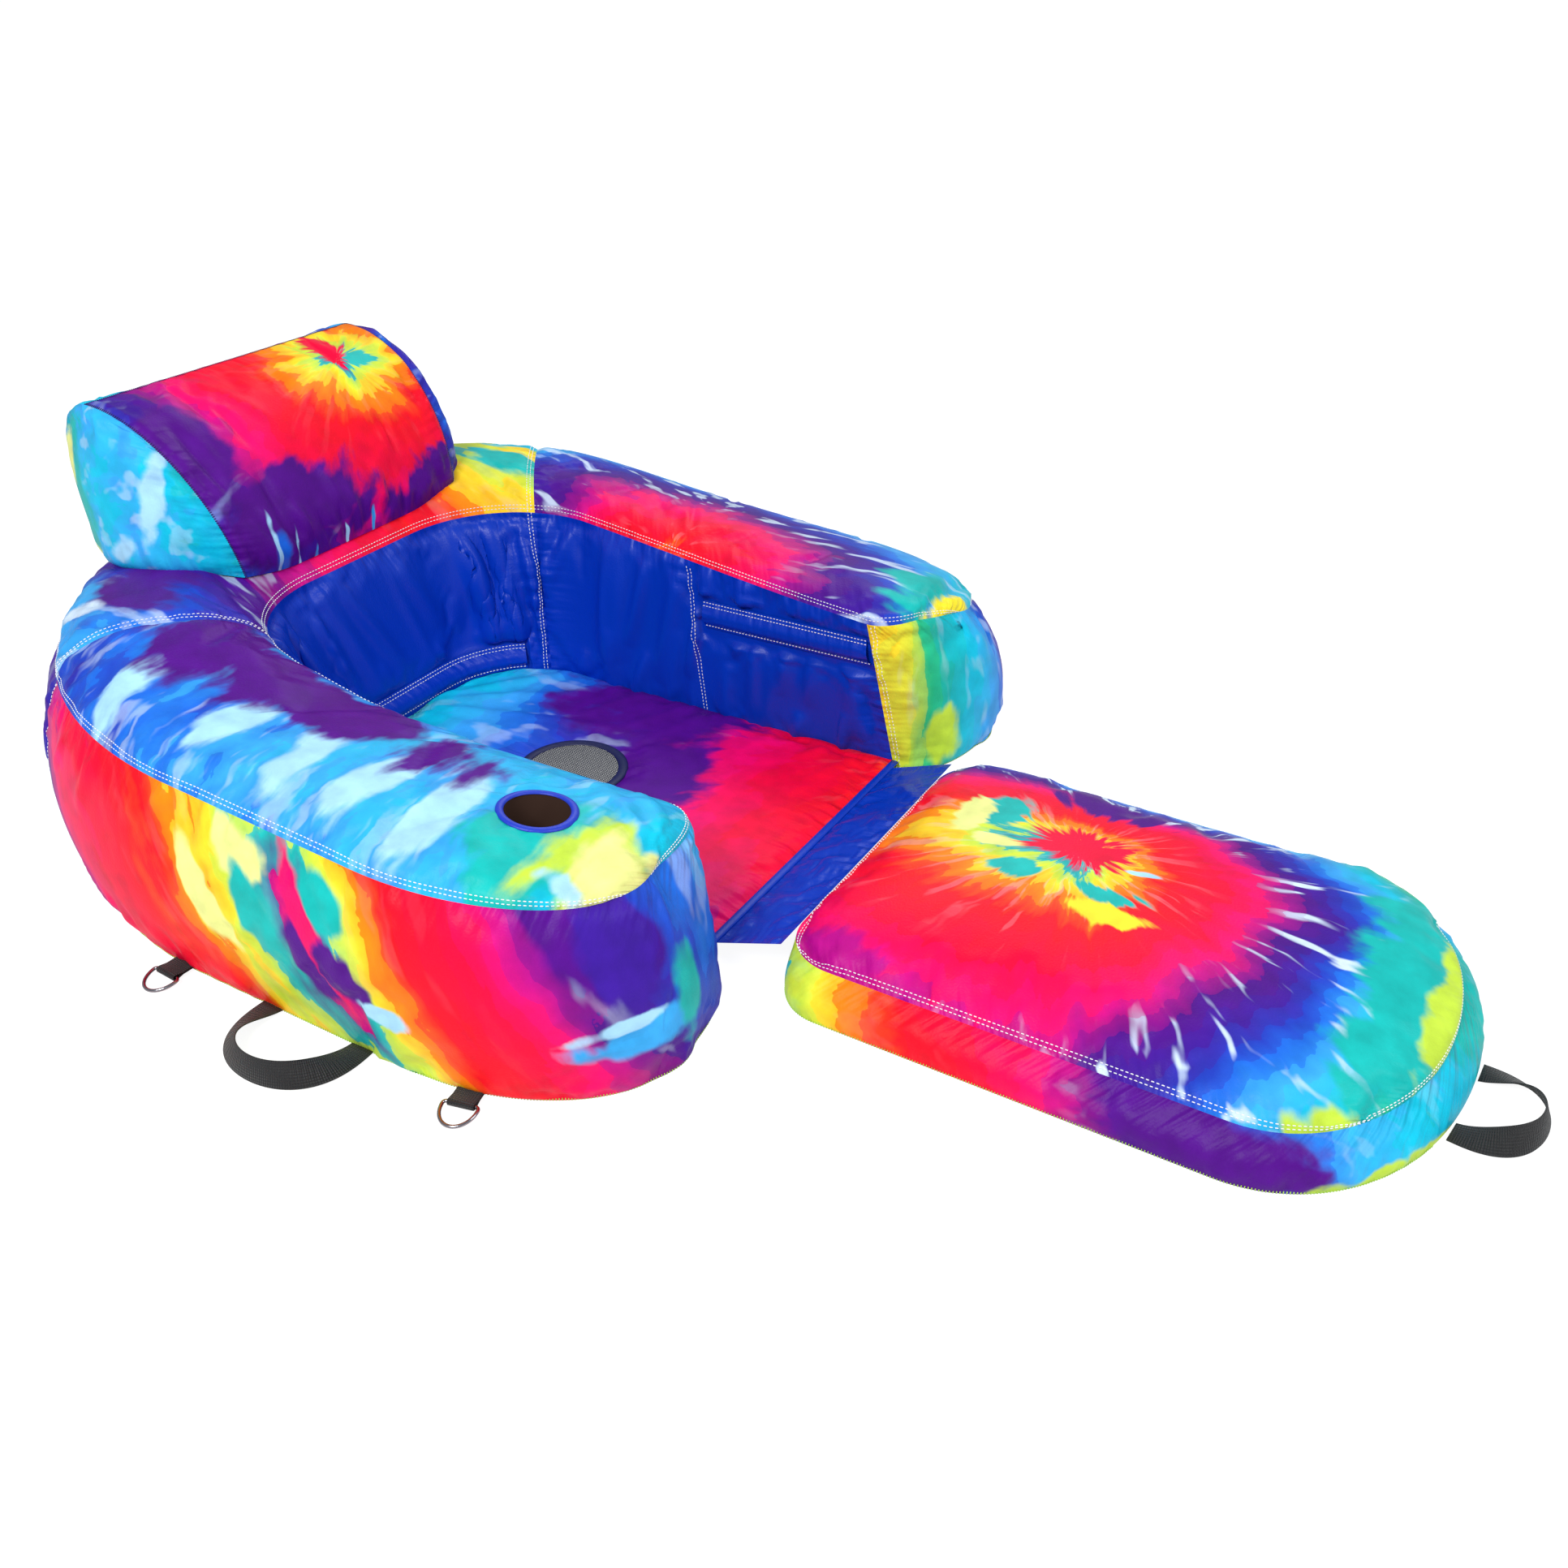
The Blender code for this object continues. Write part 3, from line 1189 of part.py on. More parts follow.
# Tie points and handles on the bottom seams
for side, section in (("near", NEAR_ARM), ("far", FAR_ARM)):
    band = surface(bpy.data.objects[side + "_arm_band"])
    tie_point(side + "_rear", section, band, TAB_REAR_X)
    tie_point(side + "_front", section, band, TAB_FRONT_X)
    side_handle(side + "_handle", section, band)
foot_strap = foot_handle(surface(foot_cover, "footrest"))

# The whole float is centred on the origin between the back's swell and the foot handle
rear_end = side_point(BACK, False, 0.0, 0.5, 0.0)[0]
centre_x = (rear_end + foot_strap[:, :, 0].max()) / 2
bodies["lounger"][0].location.x = -centre_x
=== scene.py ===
"""Looks of the fabric-covered pool lounger: sewn covers, dye, stitching, straps, light and camera.
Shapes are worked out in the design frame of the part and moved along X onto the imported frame."""

import math
from collections import namedtuple

import bpy
import numpy as np
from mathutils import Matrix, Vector


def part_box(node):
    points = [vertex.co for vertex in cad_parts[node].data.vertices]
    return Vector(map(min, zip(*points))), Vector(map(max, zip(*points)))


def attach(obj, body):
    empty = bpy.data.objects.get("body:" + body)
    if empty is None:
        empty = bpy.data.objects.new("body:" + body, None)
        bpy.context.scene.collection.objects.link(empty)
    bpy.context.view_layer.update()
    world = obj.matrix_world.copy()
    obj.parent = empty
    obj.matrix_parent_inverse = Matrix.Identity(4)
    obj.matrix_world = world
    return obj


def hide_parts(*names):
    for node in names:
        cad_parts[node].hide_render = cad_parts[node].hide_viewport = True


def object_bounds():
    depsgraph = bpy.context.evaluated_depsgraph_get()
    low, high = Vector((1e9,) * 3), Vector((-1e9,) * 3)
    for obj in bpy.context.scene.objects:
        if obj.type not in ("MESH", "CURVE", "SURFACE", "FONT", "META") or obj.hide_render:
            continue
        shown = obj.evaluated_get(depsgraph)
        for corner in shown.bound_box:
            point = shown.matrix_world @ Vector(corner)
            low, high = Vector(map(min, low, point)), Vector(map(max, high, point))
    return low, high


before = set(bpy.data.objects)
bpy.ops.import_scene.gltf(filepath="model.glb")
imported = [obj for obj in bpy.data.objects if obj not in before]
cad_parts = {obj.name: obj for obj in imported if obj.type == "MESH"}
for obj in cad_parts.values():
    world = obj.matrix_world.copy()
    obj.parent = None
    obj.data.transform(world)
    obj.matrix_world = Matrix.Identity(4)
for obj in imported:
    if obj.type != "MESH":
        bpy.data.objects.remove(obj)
cad_box = [list(corner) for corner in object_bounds()]

# Ring, at its top seams
OUTER_HALF = 0.530
BACK_OUTER = -0.763
ARM_TIP = 0.2645
NOSE_OUTER_START = 0.0225
NOSE_INNER_START = 0.195
INNER_FRONT_HALF = 0.221
INNER_REAR_HALF = 0.267
BACK_INNER = -0.471
INNER_RADIUS = 0.170
RIM_FRONT_Z = 0.220
RIM_BACK_Z = 0.252
CROWN = 0.050
ARM_CROWN = 0.040
CROWN_FULLNESS = 2.5
CROWN_STEEPNESS = 0.625
SIDE_BULGE = 0.024
MITRE_OUTER_ANGLE = math.radians(32.5)
MITRE_INNER_ANGLE = math.radians(25.0)
TIP_ANGLE = math.radians(12.0)
TIP_ROUND = 0.008
TIP_FADE = 0.07
NOSE_SHARE = 0.4
CROWN_CHANGE = 0.7
CROWN_CHANGE_RUN = 0.3

# How the soft arms lean as they stand in the photo: drop of one edge, and where along X the lean sets in
NEAR_DROP = 0.040
FAR_DROP = 0.060
LEAN_START = -0.375
LEAN_RUN = 0.24
FAR_START = -0.80
FAR_RUN = 0.60
NEAR_PULL = 0.034
NEAR_PULL_X = 0.20
NEAR_PULL_RUN = 0.12
NEAR_PULL_Y = -0.48
NEAR_PULL_WIDE = 0.16
ARM_WIDTH = 0.29
FAN_START = 0.55

# How far the bottom seams lie from the top seams
SIDE_FLARE = 0.013
NOSE_FLARE = 0.040
WALL_FRONT_RAKE = 0.040
ARM_UNDERCUT = 0.020
CORNER_LEAN = 0.045
BACK_LEAN = 0.053
CORNER_TIGHTENING = 0.020

# Seat, drain, cup holder and hinge panel
SEAT_Z = 0.017
SEAT_CROWN = 0.006
SEAT_BACK_STATION = 0.16
SEAT_BACK_CELLS = 17
OVER_SEAT = (-0.2, 0.0, 0.12)
DRAIN = (-0.125, -0.010)
DRAIN_RADIUS = 0.066
DRAIN_EDGE_IN = 0.004
DRAIN_EDGE_OUT = 0.009
DRAIN_EDGE_RISE = 0.0022
DRAIN_AROUND = 0.02
CUP = (0.129, -0.371)
CUP_RADIUS = 0.0345
CUP_DEPTH = 0.125
CUP_TAPER = 0.06
CUP_EDGE_IN = 0.0008
CUP_EDGE_OUT = 0.0075
CUP_EDGE_RISE = 0.0026
CUP_DENT_GAP = 0.006
CUP_DENT_RUN = 0.010
EDGE_LIFT = 0.0006
CIRCLE_POINTS = 72
POCKET_ROWS = 9
HEM_GAP = 0.002
HEM_OVER = 0.0008
HEM_RISE = 0.0018
HEM_SIDES = 12
HINGE_HALF_WIDTH = 0.222
HINGE_BACK = (0.2416, 0.0164)
HINGE_FRONT = (0.3275, 0.0488)
HINGE_RUN = 0.10
HINGE_CELL = 0.006

# Footrest
FOOT_START = 0.329
FOOT_END = 0.993
FOOT_HALF_WIDTH = 0.240
FOOT_CORNER = 0.066
FOOT_END_DEPTH = 0.165
FOOT_SEAM_Z = 0.050
FOOT_CROWN = 0.045
FOOT_FLARE = 0.028
FOOT_BULGE = 0.012
FOOT_SIDE_RUN = 0.62
FOOT_END_RUN = 0.46
FOOT_REAR_POWER = 6.0
FOOT_REAR_TURN = 0.75 * math.pi
FOOT_END_FAN = math.radians(50)
FOOT_CORNER_POINTS = 20
FOOT_END_POINTS = 30

# Headrest wedge
HEAD_FRONT_X = -0.488
HEAD_REAR_X = -0.722
HEAD_TOP = (-0.672, 0.492)
HEAD_LOW_HALF = 0.186
HEAD_TOP_HALF = 0.222
HEAD_SIDE_BULGE = 0.018
HEAD_FLARE = 0.075
HEAD_FAR_FLARE = 0.028
HEAD_FRONT_RISE = 0.110
HEAD_FRONT_REACH = 0.100
HEAD_REAR_RISE = 0.120
HEAD_REAR_REACH = 0.055
HEAD_REAR_OVERHANG = 0.032
HEAD_SEAT = 0.0032
HEAD_SINK = 0.004
HEAD_CORNER = 0.80
HEAD_FLARE_POWER = 0.8
HEAD_LONG_POINTS = 61
HEAD_HIGH_POINTS = 31

# Zip flaps in the inner walls
ZIP_REAR_LEVEL = 0.685
ZIP_FRONT_LEVEL = 0.795
ZIP_BACK_LEVEL = 0.15
ZIP_ARM_REAR_X = -0.070
ZIP_ARM_FRONT_X = 0.185
FLAP_TOP = 0.024
FLAP_LOW = -0.016
FLAP_OVER = 0.014
FLAP_STAND_OFF = 0.0072
FLAP_LIFT = 0.0014
FLAP_CLOTH = 0.0012
FLAP_BEND = 0.003
FLAP_BEND_RUN = 0.012
FLAP_TUCK = 0.9
FLAP_SEAM_GAP = 0.004
FLAP_POINTS = 60
BACK_FLAP_POINTS = 90
BACK_FLAP_STATION = 0.857

# Straps and rings
WEBBING_WIDTH = 0.030
WEBBING_THICK = 0.0018
WIRE_RADIUS = 0.002
WIRE_PLAY = 0.0004
WIRE_SIDES = 12
PLY_GAP = 0.0002
TAB_REAR_X = -0.262
TAB_FRONT_X = 0.150
TAB_REACH = 0.026
TAB_Z = 0.0065
RING_HALF_WIDTH = 0.0197
RING_DEPTH = 0.028
RING_CORNER = 0.004
HANDLE_X = -0.058
HANDLE_HALF_SPAN = 0.066
HANDLE_REACH = 0.092
HANDLE_SWELL = 0.15
LOOP_SQUARENESS = 0.8
FOOT_HANDLE_Y = -0.040
FOOT_HANDLE_HALF_SPAN = 0.052
FOOT_HANDLE_REACH = 0.072
FOOT_HANDLE_ROOT = 1.0195
FOOT_HANDLE_LEAN = 0.116
HANDLE_TWIST = math.radians(72)
STRAP_FLOOR = 0.0022
BESIDE_FOOT_HANDLE = 0.1

# Cloth, how it settles and where it is held
CELL = 0.010
LOOSE = 0.030
SETTLE_FRAMES = 14
CLOTH = {
    "quality": 5, "mass": 0.2, "tension_stiffness": 15, "compression_stiffness": 15, "shear_stiffness": 5,
    "bending_stiffness": 0.05, "air_damping": 4, "shrink_min": -LOOSE, "use_pressure": True,
    "uniform_pressure_force": 2.0,
}
MOST_LIFT = 0.006
MOST_SINK = 0.0025
SLIDE_SHARE = 0.5
FOLD_SEED = 11
HELD_COLUMNS = 7
HELD_RUN = 0.025
HELD_HINGE_ROWS = 4
ZIP_HELD_RUN = 0.01
ZIP_HELD_LEVEL = 0.14
BACK_HELD_STATION = 0.03
BACK_HELD_LEVEL = 0.28
HOLE_EDGE = 0.0015
HOLE_FACES = 0.002
HOLE_HELD = 0.012

# Bladders
BLADDER_INSET = 0.012
HEAD_AIR_WIDE = 0.93
HEAD_AIR_POINTS = 9
FOOT_AIR_END = 0.02
FOOT_AIR_DROP = 0.012
FOOT_AIR_Z = 0.008
FOOT_AIR_LEAST = 0.01
FOOT_AIR_POINTS = 13

# Thread, net and relief of the cloth
STITCH = 0.0036
STITCH_PITCH = 0.0052
STITCH_SIDES = 5
STITCH_SHOULDER = 0.34
THREAD = 0.0006
THREAD_LIFT = 0.0003
ROW_FIRST = 0.0055
ROW_SECOND = 0.0105
FLAP_ROW_FIRST = 0.003
FLAP_ROW_SECOND = 0.008
FLAP_ROW_LOW = 0.004
ZIP_ROW_GAP = 0.006
CROSS_STITCH = 0.004
LIME_INSET = 0.0015
LIME_PITCH = 0.0032
NAVY_INSET = 0.0012
NAVY_PITCH = 0.003
NET_THREAD = 0.0007
NET_PITCH = 0.0026
NET_OVER = 0.003
NET_STEP = 0.0004
NET_DROP = 0.001
NET_POINTS = 25
NET_SIDES = 4
WEAVE_SCALE = 420.0
WEAVE_DEPTH = 0.0003
PUCKER_DEPTH = 0.008
PUCKER_REACH = 0.022
PUCKER_STRETCH = ((14.0, 75.0, 0.0), (75.0, 14.0, 0.0))
RIB_PITCH = 0.0024
CORD_PITCH = 0.0030
RIB_DEPTH = 0.0003

# Dye: its gloss, and how it sways, runs ragged and pales
DYED_ROUGHNESS = 0.44
DYED_SPECULAR = 0.14
DYE_LENGTH = 1.8
DYE_LAYER = 0.035
SWAY_SCALE = 7.0
SWAY = 0.05
FINE_SCALE = 2.9
FINE_SHARE = 0.30
BLOT_SCALE = 26.0
BLOT_SHARE = 0.25
STREAK_SCALE = 2.4
STREAK_RANGE = (0.56, 0.66)
WASH_SCALE = 34.0
WASH_RANGE = {"From Min": 0.3, "From Max": 0.7, "To Min": 0.84, "To Max": 1.10}
SPOT_RAGGED = 2.3
SPOT_RANGE = (1.20, 0.78)

# Stage: floor, lights as (name, place, target, size, power), sky and the photo's camera
FLOOR_REACH = 30.0
FLOOR_GAP = 0.0005
FLOOR_SHADE = (0.85, 0.85, 0.85, 1.0)
PAPER_SHADE = (0.22, 0.22, 0.22, 1.0)
PAPER_GLOW = 0.93
LIGHTS = (
    ("key", (0.1, -2.6, 2.8), (0.0, 0.0, 0.1), 1.5, 92.0),
    ("fill", (2.6, 0.2, 2.4), (0.0, 0.0, 0.1), 1.2, 34.0),
    ("rear", (-1.0, 2.6, 2.6), (0.0, 0.0, 0.2), 2.0, 30.0),
)
SKY_COLOUR = (0.72, 0.74, 0.78, 1.0)
SKY_STRENGTH = 0.54
SKY_WHITE = 1.02 / SKY_STRENGTH
LENS = 33.52
SENSOR_WIDTH = 36.0
CAMERA_AZIMUTH = math.radians(30.52)
CAMERA_ELEVATION = math.radians(31.96)
CAMERA_TARGET = (0.19451, 0.01028, 0.08946)
CAMERA_DISTANCE = 1.81175
UP = np.array([0.0, 0.0, 1.0])

Contour = namedtuple(
    "Contour",
    "outer_half back_outer tip nose_outer nose_inner inner_front inner_rear back_inner inner_radius",
)
RIM = Contour(
    OUTER_HALF, BACK_OUTER, ARM_TIP, NOSE_OUTER_START, NOSE_INNER_START,
    INNER_FRONT_HALF, INNER_REAR_HALF, BACK_INNER, INNER_RADIUS,
)
FLOOR = Contour(
    OUTER_HALF + SIDE_FLARE, BACK_OUTER - SIDE_FLARE, ARM_TIP + NOSE_FLARE,
    NOSE_OUTER_START + NOSE_FLARE, NOSE_INNER_START + WALL_FRONT_RAKE,
    INNER_FRONT_HALF + ARM_UNDERCUT, INNER_REAR_HALF - CORNER_LEAN,
    BACK_INNER + BACK_LEAN, INNER_RADIUS - CORNER_TIGHTENING,
)
NEAR_ARM, FAR_ARM, BACK = ("arm", -1), ("arm", 1), ("back", 1)
SECTIONS = {"near": NEAR_ARM, "far": FAR_ARM, "back": BACK}
ARMS = {"near": NEAR_ARM, "far": FAR_ARM}


def unit(vectors):
    return vectors / np.linalg.norm(vectors, axis=1)[:, None]


def matched(first, second):
    return np.broadcast_arrays(np.asarray(first, float), np.asarray(second, float))


def smooth(share):
    share = np.clip(share, 0.0, 1.0)
    return share * share * (3 - 2 * share)


# Surfaces of the ring: a station on an arm runs from its nose, 0, to its mitre, 1; on the back from -1 to 1


def arm_edge(plan, station, inset, inner):
    """X and Y along the inner or the outer edge of the far arm: round the nose, straight, then a turn."""
    middle = (plan.outer_half + plan.inner_front) / 2
    reach = (plan.outer_half - plan.inner_front) / 2 - inset
    angle = TIP_ANGLE + (math.pi / 2 - TIP_ANGLE) * np.minimum(station, NOSE_SHARE) / NOSE_SHARE
    body = (station - NOSE_SHARE) / (1 - NOSE_SHARE)
    if inner:
        nose_x = plan.nose_inner + (plan.tip - plan.nose_inner - inset) * np.cos(angle)
        nose_y = middle - reach * np.sin(angle)
        corner = plan.back_inner + plan.inner_radius
        straight = plan.nose_inner - corner
        run = body * (straight + plan.inner_radius * MITRE_INNER_ANGLE)
        turn = np.maximum(run - straight, 0.0) / plan.inner_radius
        radius = plan.inner_radius + inset
        rake = plan.inner_front + (plan.inner_rear - plan.inner_front) * run / straight + inset
        on_line = run < straight
        x = np.where(on_line, plan.nose_inner - run, corner - radius * np.sin(turn))
        y = np.where(on_line, rake, plan.inner_rear - plan.inner_radius + radius * np.cos(turn))
    else:
        nose_x = plan.nose_outer + (plan.tip - plan.nose_outer - inset) * np.cos(angle)
        nose_y = middle + reach * np.sin(angle)
        centre = plan.back_outer + plan.outer_half
        straight = plan.nose_outer - centre
        run = body * (straight + plan.outer_half * MITRE_OUTER_ANGLE)
        turn = np.maximum(run - straight, 0.0) / plan.outer_half
        radius = plan.outer_half - inset
        on_line = run < straight
        x = np.where(on_line, plan.nose_outer - run, centre - radius * np.sin(turn))
        y = np.where(on_line, radius + 0 * run, radius * np.cos(turn))
    in_nose = station < NOSE_SHARE
    return np.where(in_nose, nose_x, x), np.where(in_nose, nose_y, y)


def back_edge(plan, station, inset, inner):
    """X and Y along an edge of the back; the outer stations fan out towards the mitres."""
    side = np.where(station < 0, -1.0, 1.0)
    flat = RIM.inner_rear - RIM.inner_radius
    if not inner:
        run = np.abs(station) * (flat + RIM.inner_radius * (math.pi / 2 - MITRE_INNER_ANGLE))
        bend = np.maximum(run - flat, 0.0) / RIM.inner_radius
        over = np.where(run < flat, run, flat + RIM.inner_radius * np.sin(bend))
        level = np.arcsin(over / RIM.outer_half)
        fan = smooth((np.abs(station) - FAN_START) / (1 - FAN_START))
        angle = level + (math.pi / 2 - MITRE_OUTER_ANGLE - level) * fan
        radius = plan.outer_half - inset
        return plan.back_outer + plan.outer_half - radius * np.cos(angle), side * radius * np.sin(angle)
    flat = plan.inner_rear - plan.inner_radius
    run = np.abs(station) * (flat + plan.inner_radius * (math.pi / 2 - MITRE_INNER_ANGLE))
    angle = np.maximum(run - flat, 0.0) / plan.inner_radius
    radius = plan.inner_radius + inset
    on_line = run < flat
    bent = plan.back_inner + plan.inner_radius - radius * np.cos(angle)
    x = np.where(on_line, plan.back_inner - inset, bent)
    return x, side * np.where(on_line, run, flat + radius * np.sin(angle))


EDGES = {"arm": arm_edge, "back": back_edge}


def seam_height(x):
    return RIM_FRONT_Z + (RIM_BACK_Z - RIM_FRONT_Z) * smooth((ARM_TIP - x) / (ARM_TIP - BACK_INNER))


def lean(section, x, y):
    """How much the top seams drop: the near arm's towards the seat, the far side's away from it."""
    if section == NEAR_ARM:
        over = np.clip((OUTER_HALF - y) / ARM_WIDTH, 0.0, 1.0)
        return NEAR_DROP * over * smooth((x - LEAN_START) / LEAN_RUN)
    over = np.clip((y - INNER_REAR_HALF) / ARM_WIDTH, 0.0, 1.0)
    return FAR_DROP * over * smooth((x - FAR_START) / FAR_RUN)


def wall_height(section, station):
    """Height of the inner top seam as it is cut, and as it stands with the lean."""
    rim = EDGES[section[0]](RIM, station, 0.0, True)
    cut = seam_height(rim[0])
    return cut, cut - lean(section, *rim)


def towards_tip(station):
    """1 at an arm's tip, falling to 0 at the end of its nose."""
    return np.clip(1 - station / NOSE_SHARE, 0.0, 1.0) ** 2


def side_point(section, inner, station, level, inset=0.0):
    """Points on a side of the ring; level runs from 0 at the bottom seam to 1 at the top seam."""
    station, level = matched(station, level)
    kind, sign = section
    edge = EDGES[kind]
    swell = SIDE_BULGE * np.sin(math.pi * level)
    if inner:
        swell = swell * towards_tip(station) if kind == "arm" else 0.0 * swell
    low = edge(FLOOR, station, inset - swell, inner)
    high = edge(RIM, station, inset - swell, inner)
    rim = edge(RIM, station, 0.0, inner)
    height = seam_height(rim[0]) - lean(section, *rim)
    x = low[0] + (high[0] - low[0]) * level
    y = (low[1] + (high[1] - low[1]) * level) * sign
    return np.stack([x, y, inset + level * (height - 2 * inset)], axis=-1)


def tip_swell(station, across):
    """Rounds an arm's nose between its two edges."""
    return TIP_ROUND * 4 * across * (1 - across) * np.exp(-(station / TIP_FADE) ** 2)


def crown_share(across):
    """0 at both edges and 1 in the middle, steep at the edges."""
    return np.maximum(1 - np.abs(2 * across - 1) ** CROWN_FULLNESS, 0.0) ** CROWN_STEEPNESS


def top_point(section, station, across, inset=0.0):
    station, across = matched(station, across)
    start = side_point(section, False, station, 1.0, inset)
    end = side_point(section, True, station, 1.0, inset)
    points = start + (end - start) * across[..., None]
    crown = CROWN * crown_share(across)
    if section[0] == "arm":
        change = smooth((station - CROWN_CHANGE) / CROWN_CHANGE_RUN)
        full = ARM_CROWN / CROWN + (1 - ARM_CROWN / CROWN) * change
        crown = crown * full * (1 - towards_tip(station))
        points[..., 0] += tip_swell(station, across)
    points[..., 2] += crown
    return points


def base_point(section, station, across):
    start = side_point(section, False, station, 0.0)
    end = side_point(section, True, station, 0.0)
    points = start + (end - start) * np.asarray(across, float)[..., None]
    if section[0] == "arm":
        points[..., 0] += tip_swell(station, across)
    return points


def tip_point(section, across, level):
    """The short front of a nose, between its outer and its inner edge."""
    start = side_point(section, False, 0.0, level)
    end = side_point(section, True, 0.0, level)
    points = start + (end - start) * across[..., None]
    points[..., 0] += tip_swell(0.0, across)
    return points


def top_height(section, x, y):
    """Heights of the crowned top over places in plan, by Newton steps."""
    x, y = matched(x, y)
    station = np.full(x.shape, 0.3) if section[0] == "arm" else y / INNER_REAR_HALF
    across = np.full(x.shape, 0.5)
    step = 1e-5
    for _ in range(12):
        here = top_point(section, station, across)
        along = (top_point(section, station + step, across) - here) / step
        over = (top_point(section, station, across + step) - here) / step
        miss_x, miss_y = x - here[..., 0], y - here[..., 1]
        area = along[..., 0] * over[..., 1] - along[..., 1] * over[..., 0]
        station = station + np.clip((miss_x * over[..., 1] - miss_y * over[..., 0]) / area, -0.1, 0.1)
        across = across + np.clip((along[..., 0] * miss_y - along[..., 1] * miss_x) / area, -0.2, 0.2)
    return top_point(section, station, across)[..., 2]


# Grids of cloth: every second row and column of a grid is a point of the cloth that settles


def run_along(points):
    """Length along a line up to each of its points."""
    return np.concatenate([[0.0], np.cumsum(np.linalg.norm(np.diff(points, axis=0), axis=1))])


def at_stops(stops, run, values):
    """Values along a line, read off at stops along its run."""
    return np.stack([np.interp(stops, run, column) for column in values.T], axis=1)


def spaced(curve, low, high):
    """An odd number of parameters, evenly spaced along a curve, with two to a cell."""
    dense = np.linspace(low, high, 600)
    run = run_along(curve(dense))
    count = max(3, round(run[-1] / CELL))
    return np.interp(np.linspace(0.0, run[-1], 2 * count + 1), run, dense)


def even(length, cell=CELL):
    """An odd number of even shares of a length, with two to a cell."""
    return np.linspace(0.0, 1.0, 2 * max(3, round(length / cell)) + 1)


def grid_normals(grid, turn):
    normals = np.cross(np.gradient(grid, axis=0), np.gradient(grid, axis=1)) * turn
    return normals / np.maximum(np.linalg.norm(normals, axis=2), 1e-9)[..., None]


def from_edge(grid, edge):
    """A grid turned so that its rows start at an edge and run inwards."""
    if edge in ("first_row", "last_row"):
        grid = np.swapaxes(grid, 0, 1)
    if edge in ("last_row", "last_column"):
        grid = grid[:, ::-1]
    return grid


class Panel:
    """A cloth panel: where it is cut to, where it settles, its finish and which of its faces are left out.
    Its outer side has the facing direction at one grid point, or else at the middle of the grid."""

    def __init__(self, grid, finish, facing, at=None, loose=1.0, press=1.0):
        self.rest = grid
        self.grid = grid.copy()
        self.finish = finish
        row, column = at or (grid.shape[0] // 2, grid.shape[1] // 2)
        normal = grid_normals(grid, 1.0)[row, column]
        self.turn = 1.0 if normal @ np.asarray(facing, float) > 0 else -1.0
        self.loose = loose
        self.press = press
        self.hold = np.zeros(grid.shape[:2], bool)
        self.hold[[0, -1], :] = True
        self.hold[:, [0, -1]] = True
        self.gone = np.zeros((grid.shape[0] - 1, grid.shape[1] - 1), bool)

    def normals(self):
        return grid_normals(self.grid, self.turn)

    def runs(self):
        """Run along and across the cloth, then the distance from its edges along and across."""
        found = []
        for axis in (0, 1):
            steps = np.linalg.norm(np.diff(self.rest, axis=axis), axis=2)
            before = [(0, 0), (0, 0)]
            before[axis] = (1, 0)
            found.append(np.pad(np.cumsum(steps, axis=axis), before))
        along, over = found
        left = [np.minimum(along, along[-1:] - along), np.minimum(over, over[:, -1:] - over)]
        blank = np.zeros_like(along)
        return np.stack([along, over, blank], axis=-1), np.stack([*left, blank], axis=-1)

    def cut_hole(self, centre, radius):
        """Leaves out the faces over a round hole and holds the cloth round it."""
        flat = self.rest[..., :2] - np.array(centre)
        reach = np.linalg.norm(flat, axis=2)
        middle = (reach[1:, 1:] + reach[:-1, 1:] + reach[1:, :-1] + reach[:-1, :-1]) / 4
        self.gone |= middle < radius + HOLE_FACES
        inside = reach < radius + HOLE_EDGE
        push = (radius + HOLE_EDGE) / np.maximum(reach, 1e-6)
        pushed = np.array(centre) + flat * push[..., None]
        for grid in (self.rest, self.grid):
            grid[..., :2] = np.where(inside[..., None], pushed, grid[..., :2])
        self.hold |= reach < radius + HOLE_HELD


def quads(rows, columns, start, turn, gone):
    index = np.arange(rows * columns).reshape(rows, columns) + start
    faces = np.stack([index[:-1, :-1], index[1:, :-1], index[1:, 1:], index[:-1, 1:]], axis=-1)
    faces = faces[~gone]
    return faces if turn > 0 else faces[:, ::-1]


def halves(gone):
    """Left-out faces of the coarse grid."""
    return gone[::2, ::2] & gone[1::2, ::2] & gone[::2, 1::2] & gone[1::2, 1::2]


def doubled(values):
    """Values on every second point, filled in along both directions with a cubic."""
    for _ in range(2):
        values = np.swapaxes(values, 0, 1)
        padded = np.concatenate([2 * values[:1] - values[1:2], values, 2 * values[-1:] - values[-2:-1]])
        between = (9 * (padded[1:-2] + padded[2:-1]) - padded[:-3] - padded[3:]) / 16
        filled = np.empty((2 * len(values) - 1, *values.shape[1:]))
        filled[::2] = values
        filled[1::2] = between
        values = filled
    return values


